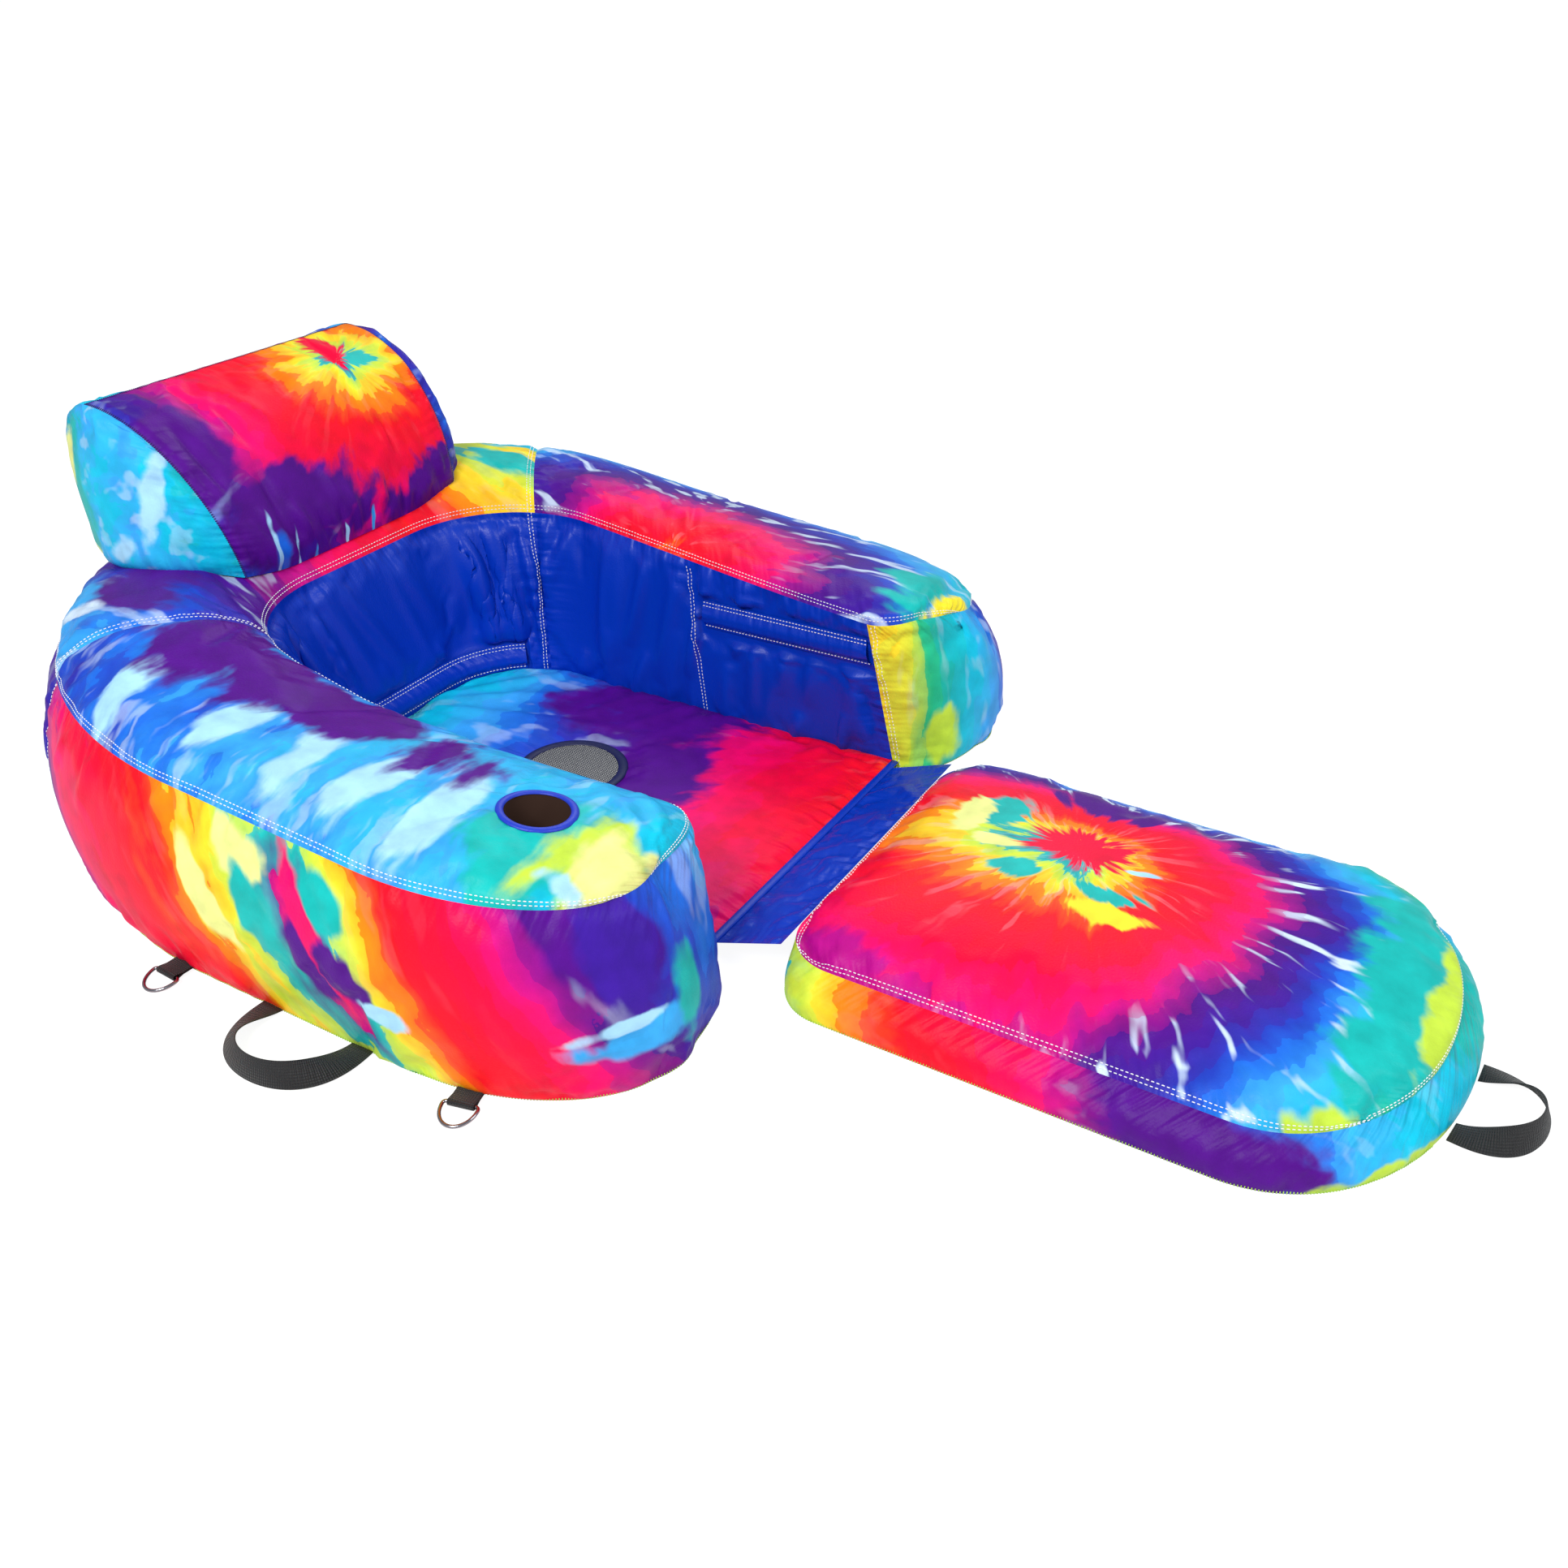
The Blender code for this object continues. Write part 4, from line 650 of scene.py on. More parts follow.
def settle(panels):
    """Lets slightly loose cloth, held along its seams, blow out and wrinkle; moves each panel's grid."""
    verts, faces, holds, presses = [], [], [], []
    start = 0
    for panel in panels:
        coarse = panel.rest[::2, ::2]
        rows, columns = coarse.shape[:2]
        verts.append(coarse.reshape(-1, 3))
        faces.append(quads(rows, columns, start, panel.turn, halves(panel.gone)))
        holds.append(panel.hold[::2, ::2].ravel())
        presses.append(np.full(rows * columns, panel.press))
        start += rows * columns
    verts = np.concatenate(verts)
    mesh = bpy.data.meshes.new("settling")
    mesh.from_pydata(verts.tolist(), [], np.concatenate(faces).tolist())
    cloth = bpy.data.objects.new("settling", mesh)
    bpy.context.scene.collection.objects.link(cloth)
    holds = np.concatenate(holds)
    pin = cloth.vertex_groups.new(name="pin")
    pin.add(np.flatnonzero(holds).tolist(), 1.0, "REPLACE")
    press = cloth.vertex_groups.new(name="press")
    presses = np.concatenate(presses)
    for value in np.unique(presses):
        press.add(np.flatnonzero(presses == value).tolist(), float(value), "REPLACE")
    modifier = cloth.modifiers.new("cloth", "CLOTH")
    settings = modifier.settings
    settings.vertex_group_mass = "pin"
    settings.vertex_group_pressure = "press"
    for key, value in CLOTH.items():
        setattr(settings, key, value)
    settings.effector_weights.gravity = 0.0
    modifier.collision_settings.use_collision = False
    scene = bpy.context.scene
    modifier.point_cache.frame_start = 1
    modifier.point_cache.frame_end = SETTLE_FRAMES
    for number in range(1, SETTLE_FRAMES + 1):
        scene.frame_set(number)
    made = cloth.evaluated_get(bpy.context.evaluated_depsgraph_get())
    moved = np.empty(len(verts) * 3)
    made.data.vertices.foreach_get("co", moved)
    moved = moved.reshape(-1, 3)
    bpy.data.objects.remove(cloth)
    scene.frame_set(1)
    start = 0
    for panel in panels:
        coarse = panel.rest[::2, ::2]
        rows, columns = coarse.shape[:2]
        shift = moved[start:start + rows * columns].reshape(rows, columns, 3) - coarse
        start += rows * columns
        normals = grid_normals(coarse, panel.turn)
        out = (shift * normals).sum(axis=2)
        kept = np.clip(out * panel.loose, -MOST_SINK, MOST_LIFT)
        slide = shift - normals * out[..., None]
        slide = slide * min(panel.loose, 1.0) * SLIDE_SHARE
        panel.grid = panel.grid + doubled(normals * kept[..., None] + slide)


def fold(panel, start, end, height, width):
    """Raises a soft fold along a line on a panel, fading at both ends."""
    line = end - start
    share = np.clip(((panel.rest - start) @ line) / (line @ line), 0.0, 1.0)
    away = np.linalg.norm(panel.rest - start - share[..., None] * line, axis=2)
    lift = height * np.exp(-(away / width) ** 2) * np.sin(math.pi * np.clip(share, 0.01, 0.99)) ** 0.7
    panel.grid = panel.grid + panel.normals() * np.where(panel.hold, 0.0, lift)[..., None]


dice = np.random.default_rng(FOLD_SEED)


def folds(panel, edge, count, reach, drift, height, width):
    """Folds that start at an edge of a panel and run inwards, leaning along the edge by a drift."""
    grid = from_edge(panel.rest, edge)
    along, inwards = np.array(grid.shape[:2]) - 1
    for share in (np.arange(count) + dice.uniform(0.1, 0.9, count)) / count:
        first = round(along * share)
        last = round(along * min(max(share + drift * dice.uniform(0.5, 1.5), 0.0), 1.0))
        depth = max(round(inwards * reach * dice.uniform(0.5, 1.2)), 4)
        start, end = grid[first, 1], grid[last, min(depth, inwards - 1)]
        fold(panel, start, end, height * dice.uniform(0.4, 1.0), width * dice.uniform(0.7, 1.4))


# Finishes


def srgb(red, green, blue):
    values = np.array([red, green, blue]) / 255
    linear = np.where(values <= 0.04045, values / 12.92, ((values + 0.055) / 1.055) ** 2.4)
    return (*[float(value) for value in linear], 1.0)


def node(tree, kind, inputs=(), output=0, **settings):
    """Adds a node, sets or links its inputs and gives back one of its outputs."""
    made = tree.nodes.new("ShaderNode" + kind)
    for name, value in settings.items():
        setattr(made, name, value)
    for name, value in dict(inputs).items():
        if isinstance(value, bpy.types.NodeSocket):
            tree.links.new(value, made.inputs[name])
        else:
            made.inputs[name].default_value = value
    return made.outputs[output]


def maths(tree, operation, first, second=0.0, **settings):
    return node(tree, "Math", {0: first, 1: second}, operation=operation, **settings)


def vector(tree, operation, first, second=(0.0, 0.0, 0.0), output=0, scale=1.0):
    inputs = {0: first, 1: second}
    if operation == "SCALE":
        inputs = {0: first, "Scale": scale}
    return node(tree, "VectorMath", inputs, output, operation=operation)


def noise(tree, place, scale, detail=2.0, output=0):
    return node(tree, "TexNoise", {"Vector": place, "Scale": scale, "Detail": detail}, output)


def mixed(tree, share, first, second, **settings):
    inputs = {"Factor": share, 6: first, 7: second}
    return node(tree, "Mix", inputs, output=2, data_type="RGBA", **settings)


def soft_step(tree, value, low, high):
    """0 at one value and 1 at another, with a soft step between them."""
    inputs = {"Value": value, "From Min": low, "From Max": high}
    return node(tree, "MapRange", inputs, interpolation_type="SMOOTHSTEP")


def ramp(tree, share, stops):
    """A colour ramp from (place, colour) pairs."""
    made = tree.nodes.new("ShaderNodeValToRGB")
    tree.links.new(share, made.inputs[0])
    points = made.color_ramp.elements
    while len(points) > 1:
        points.remove(points[-1])
    points[0].position = stops[0][0]
    points[0].color = stops[0][1]
    for place, colour in stops[1:]:
        points.new(place).color = colour
    return made.outputs[0]


PINK, CRIMSON, RED = srgb(252, 4, 108), srgb(248, 0, 62), srgb(255, 14, 34)
ORANGE, YELLOW, LIME = srgb(255, 140, 10), srgb(255, 236, 50), srgb(200, 232, 70)
GREEN, TEAL, CYAN = srgb(40, 196, 130), srgb(20, 188, 182), srgb(10, 196, 228)
SKY, AZURE, BLUE_DYE = srgb(60, 175, 245), srgb(30, 110, 225), srgb(35, 60, 190)
VIOLET, PURPLE, MAGENTA = srgb(62, 25, 156), srgb(84, 10, 138), srgb(190, 10, 136)
PALE, FOAM, STRAW = srgb(215, 235, 255), srgb(172, 224, 252), srgb(242, 246, 150)
RAINBOW = [
    (0.00, PINK), (0.03, PURPLE), (0.05, TEAL), (0.075, LIME), (0.10, YELLOW), (0.14, ORANGE), (0.19, RED),
    (0.30, CRIMSON), (0.36, PINK), (0.40, MAGENTA), (0.45, PURPLE), (0.51, VIOLET), (0.56, BLUE_DYE),
    (0.60, AZURE), (0.65, SKY), (0.71, CYAN), (0.77, TEAL), (0.82, GREEN), (0.86, LIME), (0.91, YELLOW),
    (0.96, ORANGE), (1.02, RED), (1.14, CRIMSON), (1.20, PINK), (1.24, MAGENTA), (1.29, PURPLE),
    (1.36, VIOLET), (1.42, AZURE), (1.48, SKY), (1.55, CYAN), (1.62, TEAL), (1.72, LIME),
]
NONE, FAINT, HALF, FULL = [(grey, grey, grey, 1.0) for grey in (0.0, 0.15, 0.45, 1.0)]
PALE_WINDOW = [
    (0.0, FAINT), (0.16, FAINT), (0.30, NONE), (0.38, NONE), (0.45, FULL), (0.62, FULL), (0.72, HALF),
    (0.86, HALF), (0.93, NONE), (1.2, NONE), (1.26, HALF), (1.32, FULL), (1.46, FULL), (1.6, FAINT),
]


def dye_rings():
    """Rings of dye round a middle, drawn through a rainbow with streaks along the rays."""
    tree = bpy.data.node_groups.new("dye_rings", "ShaderNodeTree")
    face = tree.interface
    for name in ("Centre", "Ahead", "Behind", "Grain", "Slant"):
        face.new_socket(name, in_out="INPUT", socket_type="NodeSocketVector")
    for name in ("Start", "Rays", "Ragged", "Pale"):
        face.new_socket(name, in_out="INPUT", socket_type="NodeSocketFloat")
    for name, kind in (("Color", "Color"), ("Place", "Vector"), ("Jitter", "Float"), ("Wash", "Color")):
        face.new_socket(name, in_out="OUTPUT", socket_type="NodeSocket" + kind)
    ports = tree.nodes.new("NodeGroupInput").outputs
    rest = node(tree, "Attribute", attribute_name="rest", output=1)
    sway = vector(tree, "SUBTRACT", noise(tree, rest, SWAY_SCALE, 3.0, 1), (0.5, 0.5, 0.5))
    place = vector(tree, "ADD", rest, vector(tree, "SCALE", sway, scale=SWAY))
    upright = vector(tree, "MULTIPLY", rest, (0.0, 0.0, 1.0))
    height = vector(tree, "LENGTH", upright, output=1)
    place = vector(tree, "ADD", place, vector(tree, "SCALE", ports["Slant"], scale=height))
    away = vector(tree, "SUBTRACT", place, ports["Centre"])
    ahead = vector(tree, "MULTIPLY", vector(tree, "MAXIMUM", away), ports["Ahead"])
    behind = vector(tree, "MULTIPLY", vector(tree, "MINIMUM", away), ports["Behind"])
    length = vector(tree, "LENGTH", vector(tree, "ADD", ahead, behind), output=1)
    reach = maths(tree, "ADD", length, ports["Start"])
    ray = vector(tree, "NORMALIZE", away)
    grain = vector(tree, "MULTIPLY", place, ports["Grain"])
    grain = vector(tree, "ADD", vector(tree, "SCALE", ray, scale=ports["Rays"]), grain)
    ragged = maths(tree, "SUBTRACT", noise(tree, grain, 1.0, 3.0), 0.5)
    fine = noise(tree, vector(tree, "ADD", grain, (31.0, 7.0, 3.0)), FINE_SCALE, 3.0)
    fine = maths(tree, "SUBTRACT", fine, 0.5)
    blot = maths(tree, "SUBTRACT", noise(tree, rest, BLOT_SCALE, 4.0), 0.5)
    jitter = maths(tree, "ADD", ragged, maths(tree, "MULTIPLY", fine, FINE_SHARE))
    jitter = maths(tree, "ADD", jitter, maths(tree, "MULTIPLY", blot, BLOT_SHARE))
    place_on = maths(tree, "ADD", reach, maths(tree, "MULTIPLY", jitter, ports["Ragged"]))
    layer = maths(tree, "SNAP", place_on, DYE_LAYER)
    place_on = maths(tree, "MULTIPLY", maths(tree, "ADD", place_on, layer), 0.5)
    share = maths(tree, "DIVIDE", place_on, DYE_LENGTH)
    colour = ramp(tree, share, [(place / DYE_LENGTH, colour) for place, colour in RAINBOW])
    window = ramp(tree, share, [(place / DYE_LENGTH, colour) for place, colour in PALE_WINDOW])
    streak = noise(tree, vector(tree, "ADD", grain, (3.0, 51.0, 17.0)), STREAK_SCALE, 2.0)
    streak = soft_step(tree, streak, *STREAK_RANGE)
    pale = maths(tree, "MULTIPLY", maths(tree, "MULTIPLY", streak, window), ports["Pale"], use_clamp=True)
    colour = mixed(tree, pale, colour, PALE)
    wash = noise(tree, vector(tree, "ADD", rest, (5.0, 5.0, 5.0)), WASH_SCALE, 5.0)
    wash = node(tree, "MapRange", {"Value": wash, **WASH_RANGE})
    tint = node(tree, "CombineColor", {0: wash, 1: wash, 2: wash})
    end = tree.nodes.new("NodeGroupOutput")
    for name, value in (("Color", colour), ("Place", place), ("Jitter", jitter), ("Wash", tint)):
        tree.links.new(value, end.inputs[name])
    return tree


def dye_spot():
    """A ragged spot of one dye over the others."""
    tree = bpy.data.node_groups.new("dye_spot", "ShaderNodeTree")
    face = tree.interface
    for name, kind in (
        ("Under", "Color"), ("Dye", "Color"), ("Place", "Vector"), ("Middle", "Vector"), ("Share", "Vector"),
        ("Jitter", "Float"),
    ):
        face.new_socket(name, in_out="INPUT", socket_type="NodeSocket" + kind)
    face.new_socket("Color", in_out="OUTPUT", socket_type="NodeSocketColor")
    ports = tree.nodes.new("NodeGroupInput").outputs
    away = vector(tree, "SUBTRACT", ports["Place"], ports["Middle"])
    length = vector(tree, "LENGTH", vector(tree, "MULTIPLY", away, ports["Share"]), output=1)
    length = maths(tree, "ADD", length, maths(tree, "MULTIPLY", ports["Jitter"], SPOT_RAGGED))
    colour = mixed(tree, soft_step(tree, length, *SPOT_RANGE), ports["Under"], ports["Dye"])
    end = tree.nodes.new("NodeGroupOutput")
    tree.links.new(colour, end.inputs["Color"])
    return tree


RINGS, SPOT = dye_rings(), dye_spot()
finishes = {}


def finish(name, colour, roughness=0.5, metallic=0.0, sheen=0.0, specular=0.5, bump=None):
    """A material; colour is a value or a function that builds nodes, and bump a function that gives a height
    and its depth."""
    made = bpy.data.materials.new(name)
    made.use_nodes = True
    tree = made.node_tree
    shader = tree.nodes["Principled BSDF"]
    if callable(colour):
        tree.links.new(colour(tree), shader.inputs["Base Color"])
    else:
        shader.inputs["Base Color"].default_value = colour
    shader.inputs["Roughness"].default_value = roughness
    shader.inputs["Metallic"].default_value = metallic
    shader.inputs["Sheen Weight"].default_value = sheen
    shader.inputs["Specular IOR Level"].default_value = specular
    if bump:
        height, depth = bump(tree)
        normal = node(tree, "Bump", {"Height": height, "Strength": 1.0, "Distance": depth})
        tree.links.new(normal, shader.inputs["Normal"])
    finishes[name] = made
    return made


def weave(tree):
    """The fine grain of woven nylon and the puckers that a seam draws in it, as a height in metres."""
    rest = node(tree, "Attribute", attribute_name="rest", output=1)
    run = node(tree, "Attribute", attribute_name="run", output=1)
    seam = tree.nodes.new("ShaderNodeSeparateXYZ")
    tree.links.new(node(tree, "Attribute", attribute_name="seam", output=1), seam.inputs[0])
    height = maths(tree, "MULTIPLY", noise(tree, rest, WEAVE_SCALE, 2.0), WEAVE_DEPTH)
    for axis, stretch in enumerate(PUCKER_STRETCH):
        pucker = maths(tree, "SUBTRACT", noise(tree, vector(tree, "MULTIPLY", run, stretch), 1.0, 1.0), 0.5)
        near = maths(tree, "EXPONENT", maths(tree, "DIVIDE", seam.outputs[axis], -PUCKER_REACH))
        depth = maths(tree, "MULTIPLY", near, PUCKER_DEPTH)
        height = maths(tree, "ADD", height, maths(tree, "MULTIPLY", pucker, depth))
    return height, 1.0


def ribs(tree):
    """Ribs across and cords along a strap, from its run in metres."""
    run = node(tree, "UVMap", uv_map="strap")
    parts = tree.nodes.new("ShaderNodeSeparateXYZ")
    tree.links.new(run, parts.inputs[0])
    rib = maths(tree, "SINE", maths(tree, "MULTIPLY", parts.outputs[0], 2 * math.pi / RIB_PITCH))
    cord = maths(tree, "SINE", maths(tree, "MULTIPLY", parts.outputs[1], 2 * math.pi / CORD_PITCH))
    return maths(tree, "ADD", rib, maths(tree, "MULTIPLY", cord, 0.5)), RIB_DEPTH


def dyed(
    name, rings, spots=(), rays=9.0, grain=(2.5, 2.5, 2.5), ragged=0.30, pale=0.9, slant=(0.0, 0.0, 0.0),
):
    """Dyed nylon: rings as (middle, rings per metre ahead, behind, first ring), then spots as
    (dye, middle, reach)."""

    def colour(tree):
        group = tree.nodes.new("ShaderNodeGroup")
        group.node_tree = RINGS
        values = {"Rays": rays, "Grain": grain, "Ragged": ragged, "Pale": pale, "Slant": slant}
        values |= zip(("Centre", "Ahead", "Behind", "Start"), rings)
        for key, value in values.items():
            group.inputs[key].default_value = value
        shade = group.outputs["Color"]
        for dye, middle, reach in spots:
            spot = tree.nodes.new("ShaderNodeGroup")
            spot.node_tree = SPOT
            tree.links.new(shade, spot.inputs["Under"])
            tree.links.new(group.outputs["Place"], spot.inputs["Place"])
            tree.links.new(group.outputs["Jitter"], spot.inputs["Jitter"])
            spot.inputs["Dye"].default_value = dye
            spot.inputs["Middle"].default_value = middle
            spot.inputs["Share"].default_value = [1 / length for length in reach]
            shade = spot.outputs["Color"]
        return mixed(tree, 1.0, shade, group.outputs["Wash"], blend_type="MULTIPLY")

    finish(name, colour, DYED_ROUGHNESS, specular=DYED_SPECULAR, bump=weave)


# Dye of each panel
dyed(
    "foot_top",
    ((0.568, 0.045, 0.09), (1.9, 3.3, 0.0), (0.72, 1.40, 0.0), 0.0),
    [
        (TEAL, (0.465, 0.086, 0.09), (0.034, 0.030, 0.1)),
        (TEAL, (0.520, -0.030, 0.09), (0.026, 0.020, 0.1)),
        (TEAL, (0.622, -0.022, 0.09), (0.034, 0.014, 0.1)),
        (YELLOW, (0.635, -0.055, 0.09), (0.055, 0.014, 0.1)),
        (STRAW, (0.430, 0.060, 0.09), (0.022, 0.040, 0.1)),
        (STRAW, (0.480, 0.020, 0.09), (0.030, 0.012, 0.1)),
        (CRIMSON, (0.570, 0.048, 0.09), (0.062, 0.036, 0.1)),
        (FOAM, (0.645, 0.036, 0.09), (0.018, 0.007, 0.1)),
        (PURPLE, (0.560, 0.165, 0.09), (0.060, 0.030, 0.1)),
        (MAGENTA, (0.375, -0.225, 0.09), (0.075, 0.050, 0.1)),
        (TEAL, (0.945, 0.000, 0.09), (0.060, 0.200, 0.1)),
        (LIME, (0.976, 0.020, 0.09), (0.020, 0.110, 0.1)),
        (LIME, (0.925, -0.225, 0.09), (0.050, 0.026, 0.1)),
    ],
    rays=5.0, ragged=0.14, pale=1.0,
)
dyed(
    "foot_band",
    ((0.335, 0.0, 0.0), (0.98, 0.0, 0.0), (0.98, 0.0, 0.0), 0.05),
    [
        (PURPLE, (0.800, -0.262, 0.03), (0.110, 0.1, 0.060)),
        (TEAL, (0.990, 0.060, 0.03), (0.060, 0.110, 0.1)),
        (LIME, (0.960, -0.120, 0.0), (0.070, 0.120, 0.012)),
    ],
    rays=0.0, grain=(8.0, 16.0, 14.0), ragged=0.14, pale=0.2, slant=(0.4, 0.0, 0.0),
)
dyed(
    "near_band",
    ((0.06, -0.560, 0.10), (1.55, 1.6, 0.3), (0.90, 0.0, 0.5), 0.0),
    [
        (STRAW, (0.000, -0.545, 0.205), (0.036, 0.1, 0.030)),
        (TEAL, (-0.005, -0.555, 0.145), (0.034, 0.1, 0.040)),
        (STRAW, (-0.085, -0.560, 0.150), (0.022, 0.1, 0.050)),
        (PURPLE, (0.040, -0.560, 0.11), (0.030, 0.1, 0.045)),
        (PINK, (0.070, -0.550, 0.16), (0.014, 0.1, 0.080)),
        (TEAL, (0.105, -0.545, 0.185), (0.020, 0.1, 0.030)),
        (PURPLE, (0.095, -0.560, 0.11), (0.032, 0.1, 0.028)),
        (FOAM, (0.125, -0.560, 0.080), (0.030, 0.1, 0.010)),
        (PURPLE, (0.330, -0.450, 0.190), (0.070, 0.045, 0.065)),
        (VIOLET, (0.350, -0.420, 0.150), (0.060, 0.040, 0.060)),
        (AZURE, (0.390, -0.345, 0.170), (0.060, 0.026, 0.080)),
        (SKY, (0.345, -0.430, 0.070), (0.060, 0.070, 0.024)),
        (FOAM, (0.345, -0.450, 0.088), (0.060, 0.050, 0.010)),
        (TEAL, (0.370, -0.370, 0.080), (0.050, 0.028, 0.060)),
    ],
    rays=0.0, grain=(15.0, 8.0, 4.0), ragged=0.17, pale=0.25, slant=(0.6, 0.0, 0.0),
)
dyed(
    "near_top",
    ((-0.50, -0.400, 0.28), (0.15, 0.0, 0.0), (0.15, 0.0, 0.0), 0.58),
    [
        (FOAM, (-0.370, -0.440, 0.29), (0.024, 0.070, 0.1)),
        (FOAM, (-0.225, -0.435, 0.29), (0.030, 0.065, 0.1)),
        (FOAM, (-0.120, -0.430, 0.29), (0.034, 0.070, 0.1)),
        (FOAM, (-0.030, -0.430, 0.28), (0.030, 0.070, 0.1)),
        (FOAM, (0.060, -0.430, 0.27), (0.026, 0.070, 0.1)),
        (PURPLE, (-0.350, -0.340, 0.30), (0.100, 0.085, 0.1)),
        (PURPLE, (-0.160, -0.340, 0.28), (0.240, 0.062, 0.1)),
        (TEAL, (0.180, -0.420, 0.26), (0.070, 0.085, 0.1)),
        (LIME, (0.228, -0.405, 0.25), (0.052, 0.080, 0.1)),
        (STRAW, (0.232, -0.405, 0.25), (0.036, 0.062, 0.1)),
        (FOAM, (0.205, -0.440, 0.25), (0.020, 0.016, 0.1)),
        (STRAW, (0.245, -0.345, 0.25), (0.016, 0.030, 0.1)),
    ],
    rays=0.0, grain=(20.0, 5.0, 5.0), ragged=0.20, pale=0.35,
)
dyed(
    "far_band",
    ((0.0, 0.60, 0.1), (0.0, 1.75, 0.0), (0.0, 1.75, 0.0), 0.25),
    [(LIME, (0.285, 0.285, 0.05), (0.030, 0.030, 0.040))],
    rays=0.0, grain=(14.0, 14.0, 4.0), ragged=0.15, pale=0.4,
)
dyed(
    "far_top",
    ((-0.14, 0.245, 0.25), (1.15, 1.9, 0.0), (1.25, 1.0, 0.0), 0.17),
    [
        (TEAL, (0.215, 0.330, 0.24), (0.050, 0.070, 0.1)),
        (YELLOW, (0.270, 0.330, 0.24), (0.030, 0.060, 0.1)),
    ],
    rays=1.5, grain=(4.0, 15.0, 3.0), ragged=0.17, pale=0.8,
)
dyed(
    "back_top",
    ((0.0, 0.28, 0.27), (0.0, 0.0, 0.0), (0.0, 0.82, 0.0), 0.085),
    [
        (PURPLE, (-0.540, -0.310, 0.28), (0.080, 0.060, 0.1)),
        (SKY, (-0.620, -0.350, 0.28), (0.050, 0.060, 0.1)),
        (PALE, (-0.570, -0.355, 0.29), (0.050, 0.016, 0.1)),
        (TEAL, (-0.450, 0.310, 0.28), (0.060, 0.040, 0.1)),
        (CYAN, (-0.520, 0.390, 0.28), (0.060, 0.060, 0.1)),
    ],
    rays=0.0, grain=(4.0, 16.0, 4.0), ragged=0.14, pale=0.5,
)
dyed(
    "back_band",
    ((-0.7, 0.6, 0.1), (0.5, 0.5, 0.5), (0.5, 0.5, 0.5), 0.0),
    rays=0.0, grain=(10.0, 10.0, 4.0), ragged=0.14, pale=0.2,
)
dyed(
    "head_front",
    ((-0.600, 0.130, 0.475), (1.5, 1.4, 1.7), (1.4, 1.45, 1.7), 0.02),
    [
        (CRIMSON, (-0.620, 0.130, 0.483), (0.05, 0.026, 0.02)),
        (TEAL, (-0.590, 0.155, 0.470), (0.03, 0.018, 0.012)),
        (PURPLE, (-0.555, -0.185, 0.440), (0.08, 0.055, 0.060)),
        (PURPLE, (-0.500, -0.080, 0.335), (0.10, 0.130, 0.050)),
        (PURPLE, (-0.490, 0.160, 0.300), (0.10, 0.100, 0.040)),
        (AZURE, (-0.540, -0.120, 0.300), (0.10, 0.016, 0.034)),
        (FOAM, (-0.540, -0.128, 0.305), (0.10, 0.005, 0.040)),
        (FOAM, (-0.540, -0.090, 0.295), (0.10, 0.004, 0.034)),
        (SKY, (-0.540, -0.060, 0.290), (0.10, 0.006, 0.030)),
        (FOAM, (-0.540, -0.010, 0.285), (0.10, 0.003, 0.024)),
        (SKY, (-0.540, 0.040, 0.285), (0.10, 0.004, 0.026)),
    ],
    rays=3.0, grain=(5.0, 5.0, 5.0), ragged=0.15, pale=0.2,
)
dyed(
    "head_back",
    ((-0.74, 0.0, 0.43), (2.0, 2.0, 2.0), (2.0, 2.0, 2.0), 0.15),
    [(CYAN, (-0.720, -0.205, 0.40), (0.100, 0.050, 0.200))],
)
dyed(
    "head_near",
    ((-0.9, -0.2, 0.35), (0.2, 0.0, 0.2), (0.2, 0.0, 0.2), 0.62),
    [
        (TEAL, (-0.680, -0.215, 0.36), (0.050, 0.1, 0.100)),
        (FOAM, (-0.560, -0.215, 0.40), (0.014, 0.1, 0.060)),
        (FOAM, (-0.600, -0.215, 0.33), (0.020, 0.1, 0.020)),
        (STRAW, (-0.705, -0.215, 0.42), (0.022, 0.1, 0.030)),
        (STRAW, (-0.695, -0.215, 0.29), (0.034, 0.1, 0.022)),
    ],
    rays=0.0, grain=(14.0, 14.0, 14.0), ragged=0.25, pale=0.5,
)
dyed(
    "head_far",
    ((-0.9, 0.2, 0.35), (0.4, 0.0, 0.4), (0.4, 0.0, 0.4), 0.40),
    rays=0.0, grain=(14.0, 14.0, 14.0), pale=0.3,
)
dyed(
    "seat",
    ((0.300, 0.250, 0.02), (1.0, 0.9, 0.0), (0.8, 0.45, 0.0), 0.15),
    [
        (PURPLE, (-0.120, 0.180, 0.02), (0.130, 0.110, 0.1)),
        (PURPLE, (-0.030, 0.020, 0.02), (0.080, 0.100, 0.1)),
    ],
    rays=3.0, grain=(5.0, 5.0, 5.0), ragged=0.14, pale=0.3,
)
finish("blue", srgb(0, 54, 182), 0.36, specular=0.26, bump=weave)
finish("lining", srgb(190, 215, 70), 0.6, bump=weave)
finish("vinyl", srgb(205, 215, 220), 0.25)
finish("thread", srgb(245, 245, 245), 0.6)
finish("navy_thread", srgb(32, 34, 90), 0.6)
finish("lime_thread", srgb(180, 220, 90), 0.6)
# binding: dark navy that is partly the tape's own colour and partly painted shade; the same tape at the
# cup's edge is blue, and here the darkness stands in for the shade on the drain binding's inner wall down in
# the seat
finish("binding", srgb(12, 22, 70), 0.5, bump=weave)
finish("bright_binding", srgb(14, 52, 190), 0.45, bump=weave)
finish("pocket", srgb(70, 50, 42), 0.9, specular=0.1)
# The net's dark grey is partly its own colour and partly painted shade of the sunken drain and of the shaded
# floor under the seat seen through it
finish("net", srgb(52, 58, 68), 0.6)
finish("webbing", srgb(20, 20, 22), 0.6, sheen=0.1, bump=ribs)
finish("zip_tape", srgb(16, 18, 24), 0.7)
finish("chrome", srgb(150, 150, 156), 0.18, metallic=1.0)

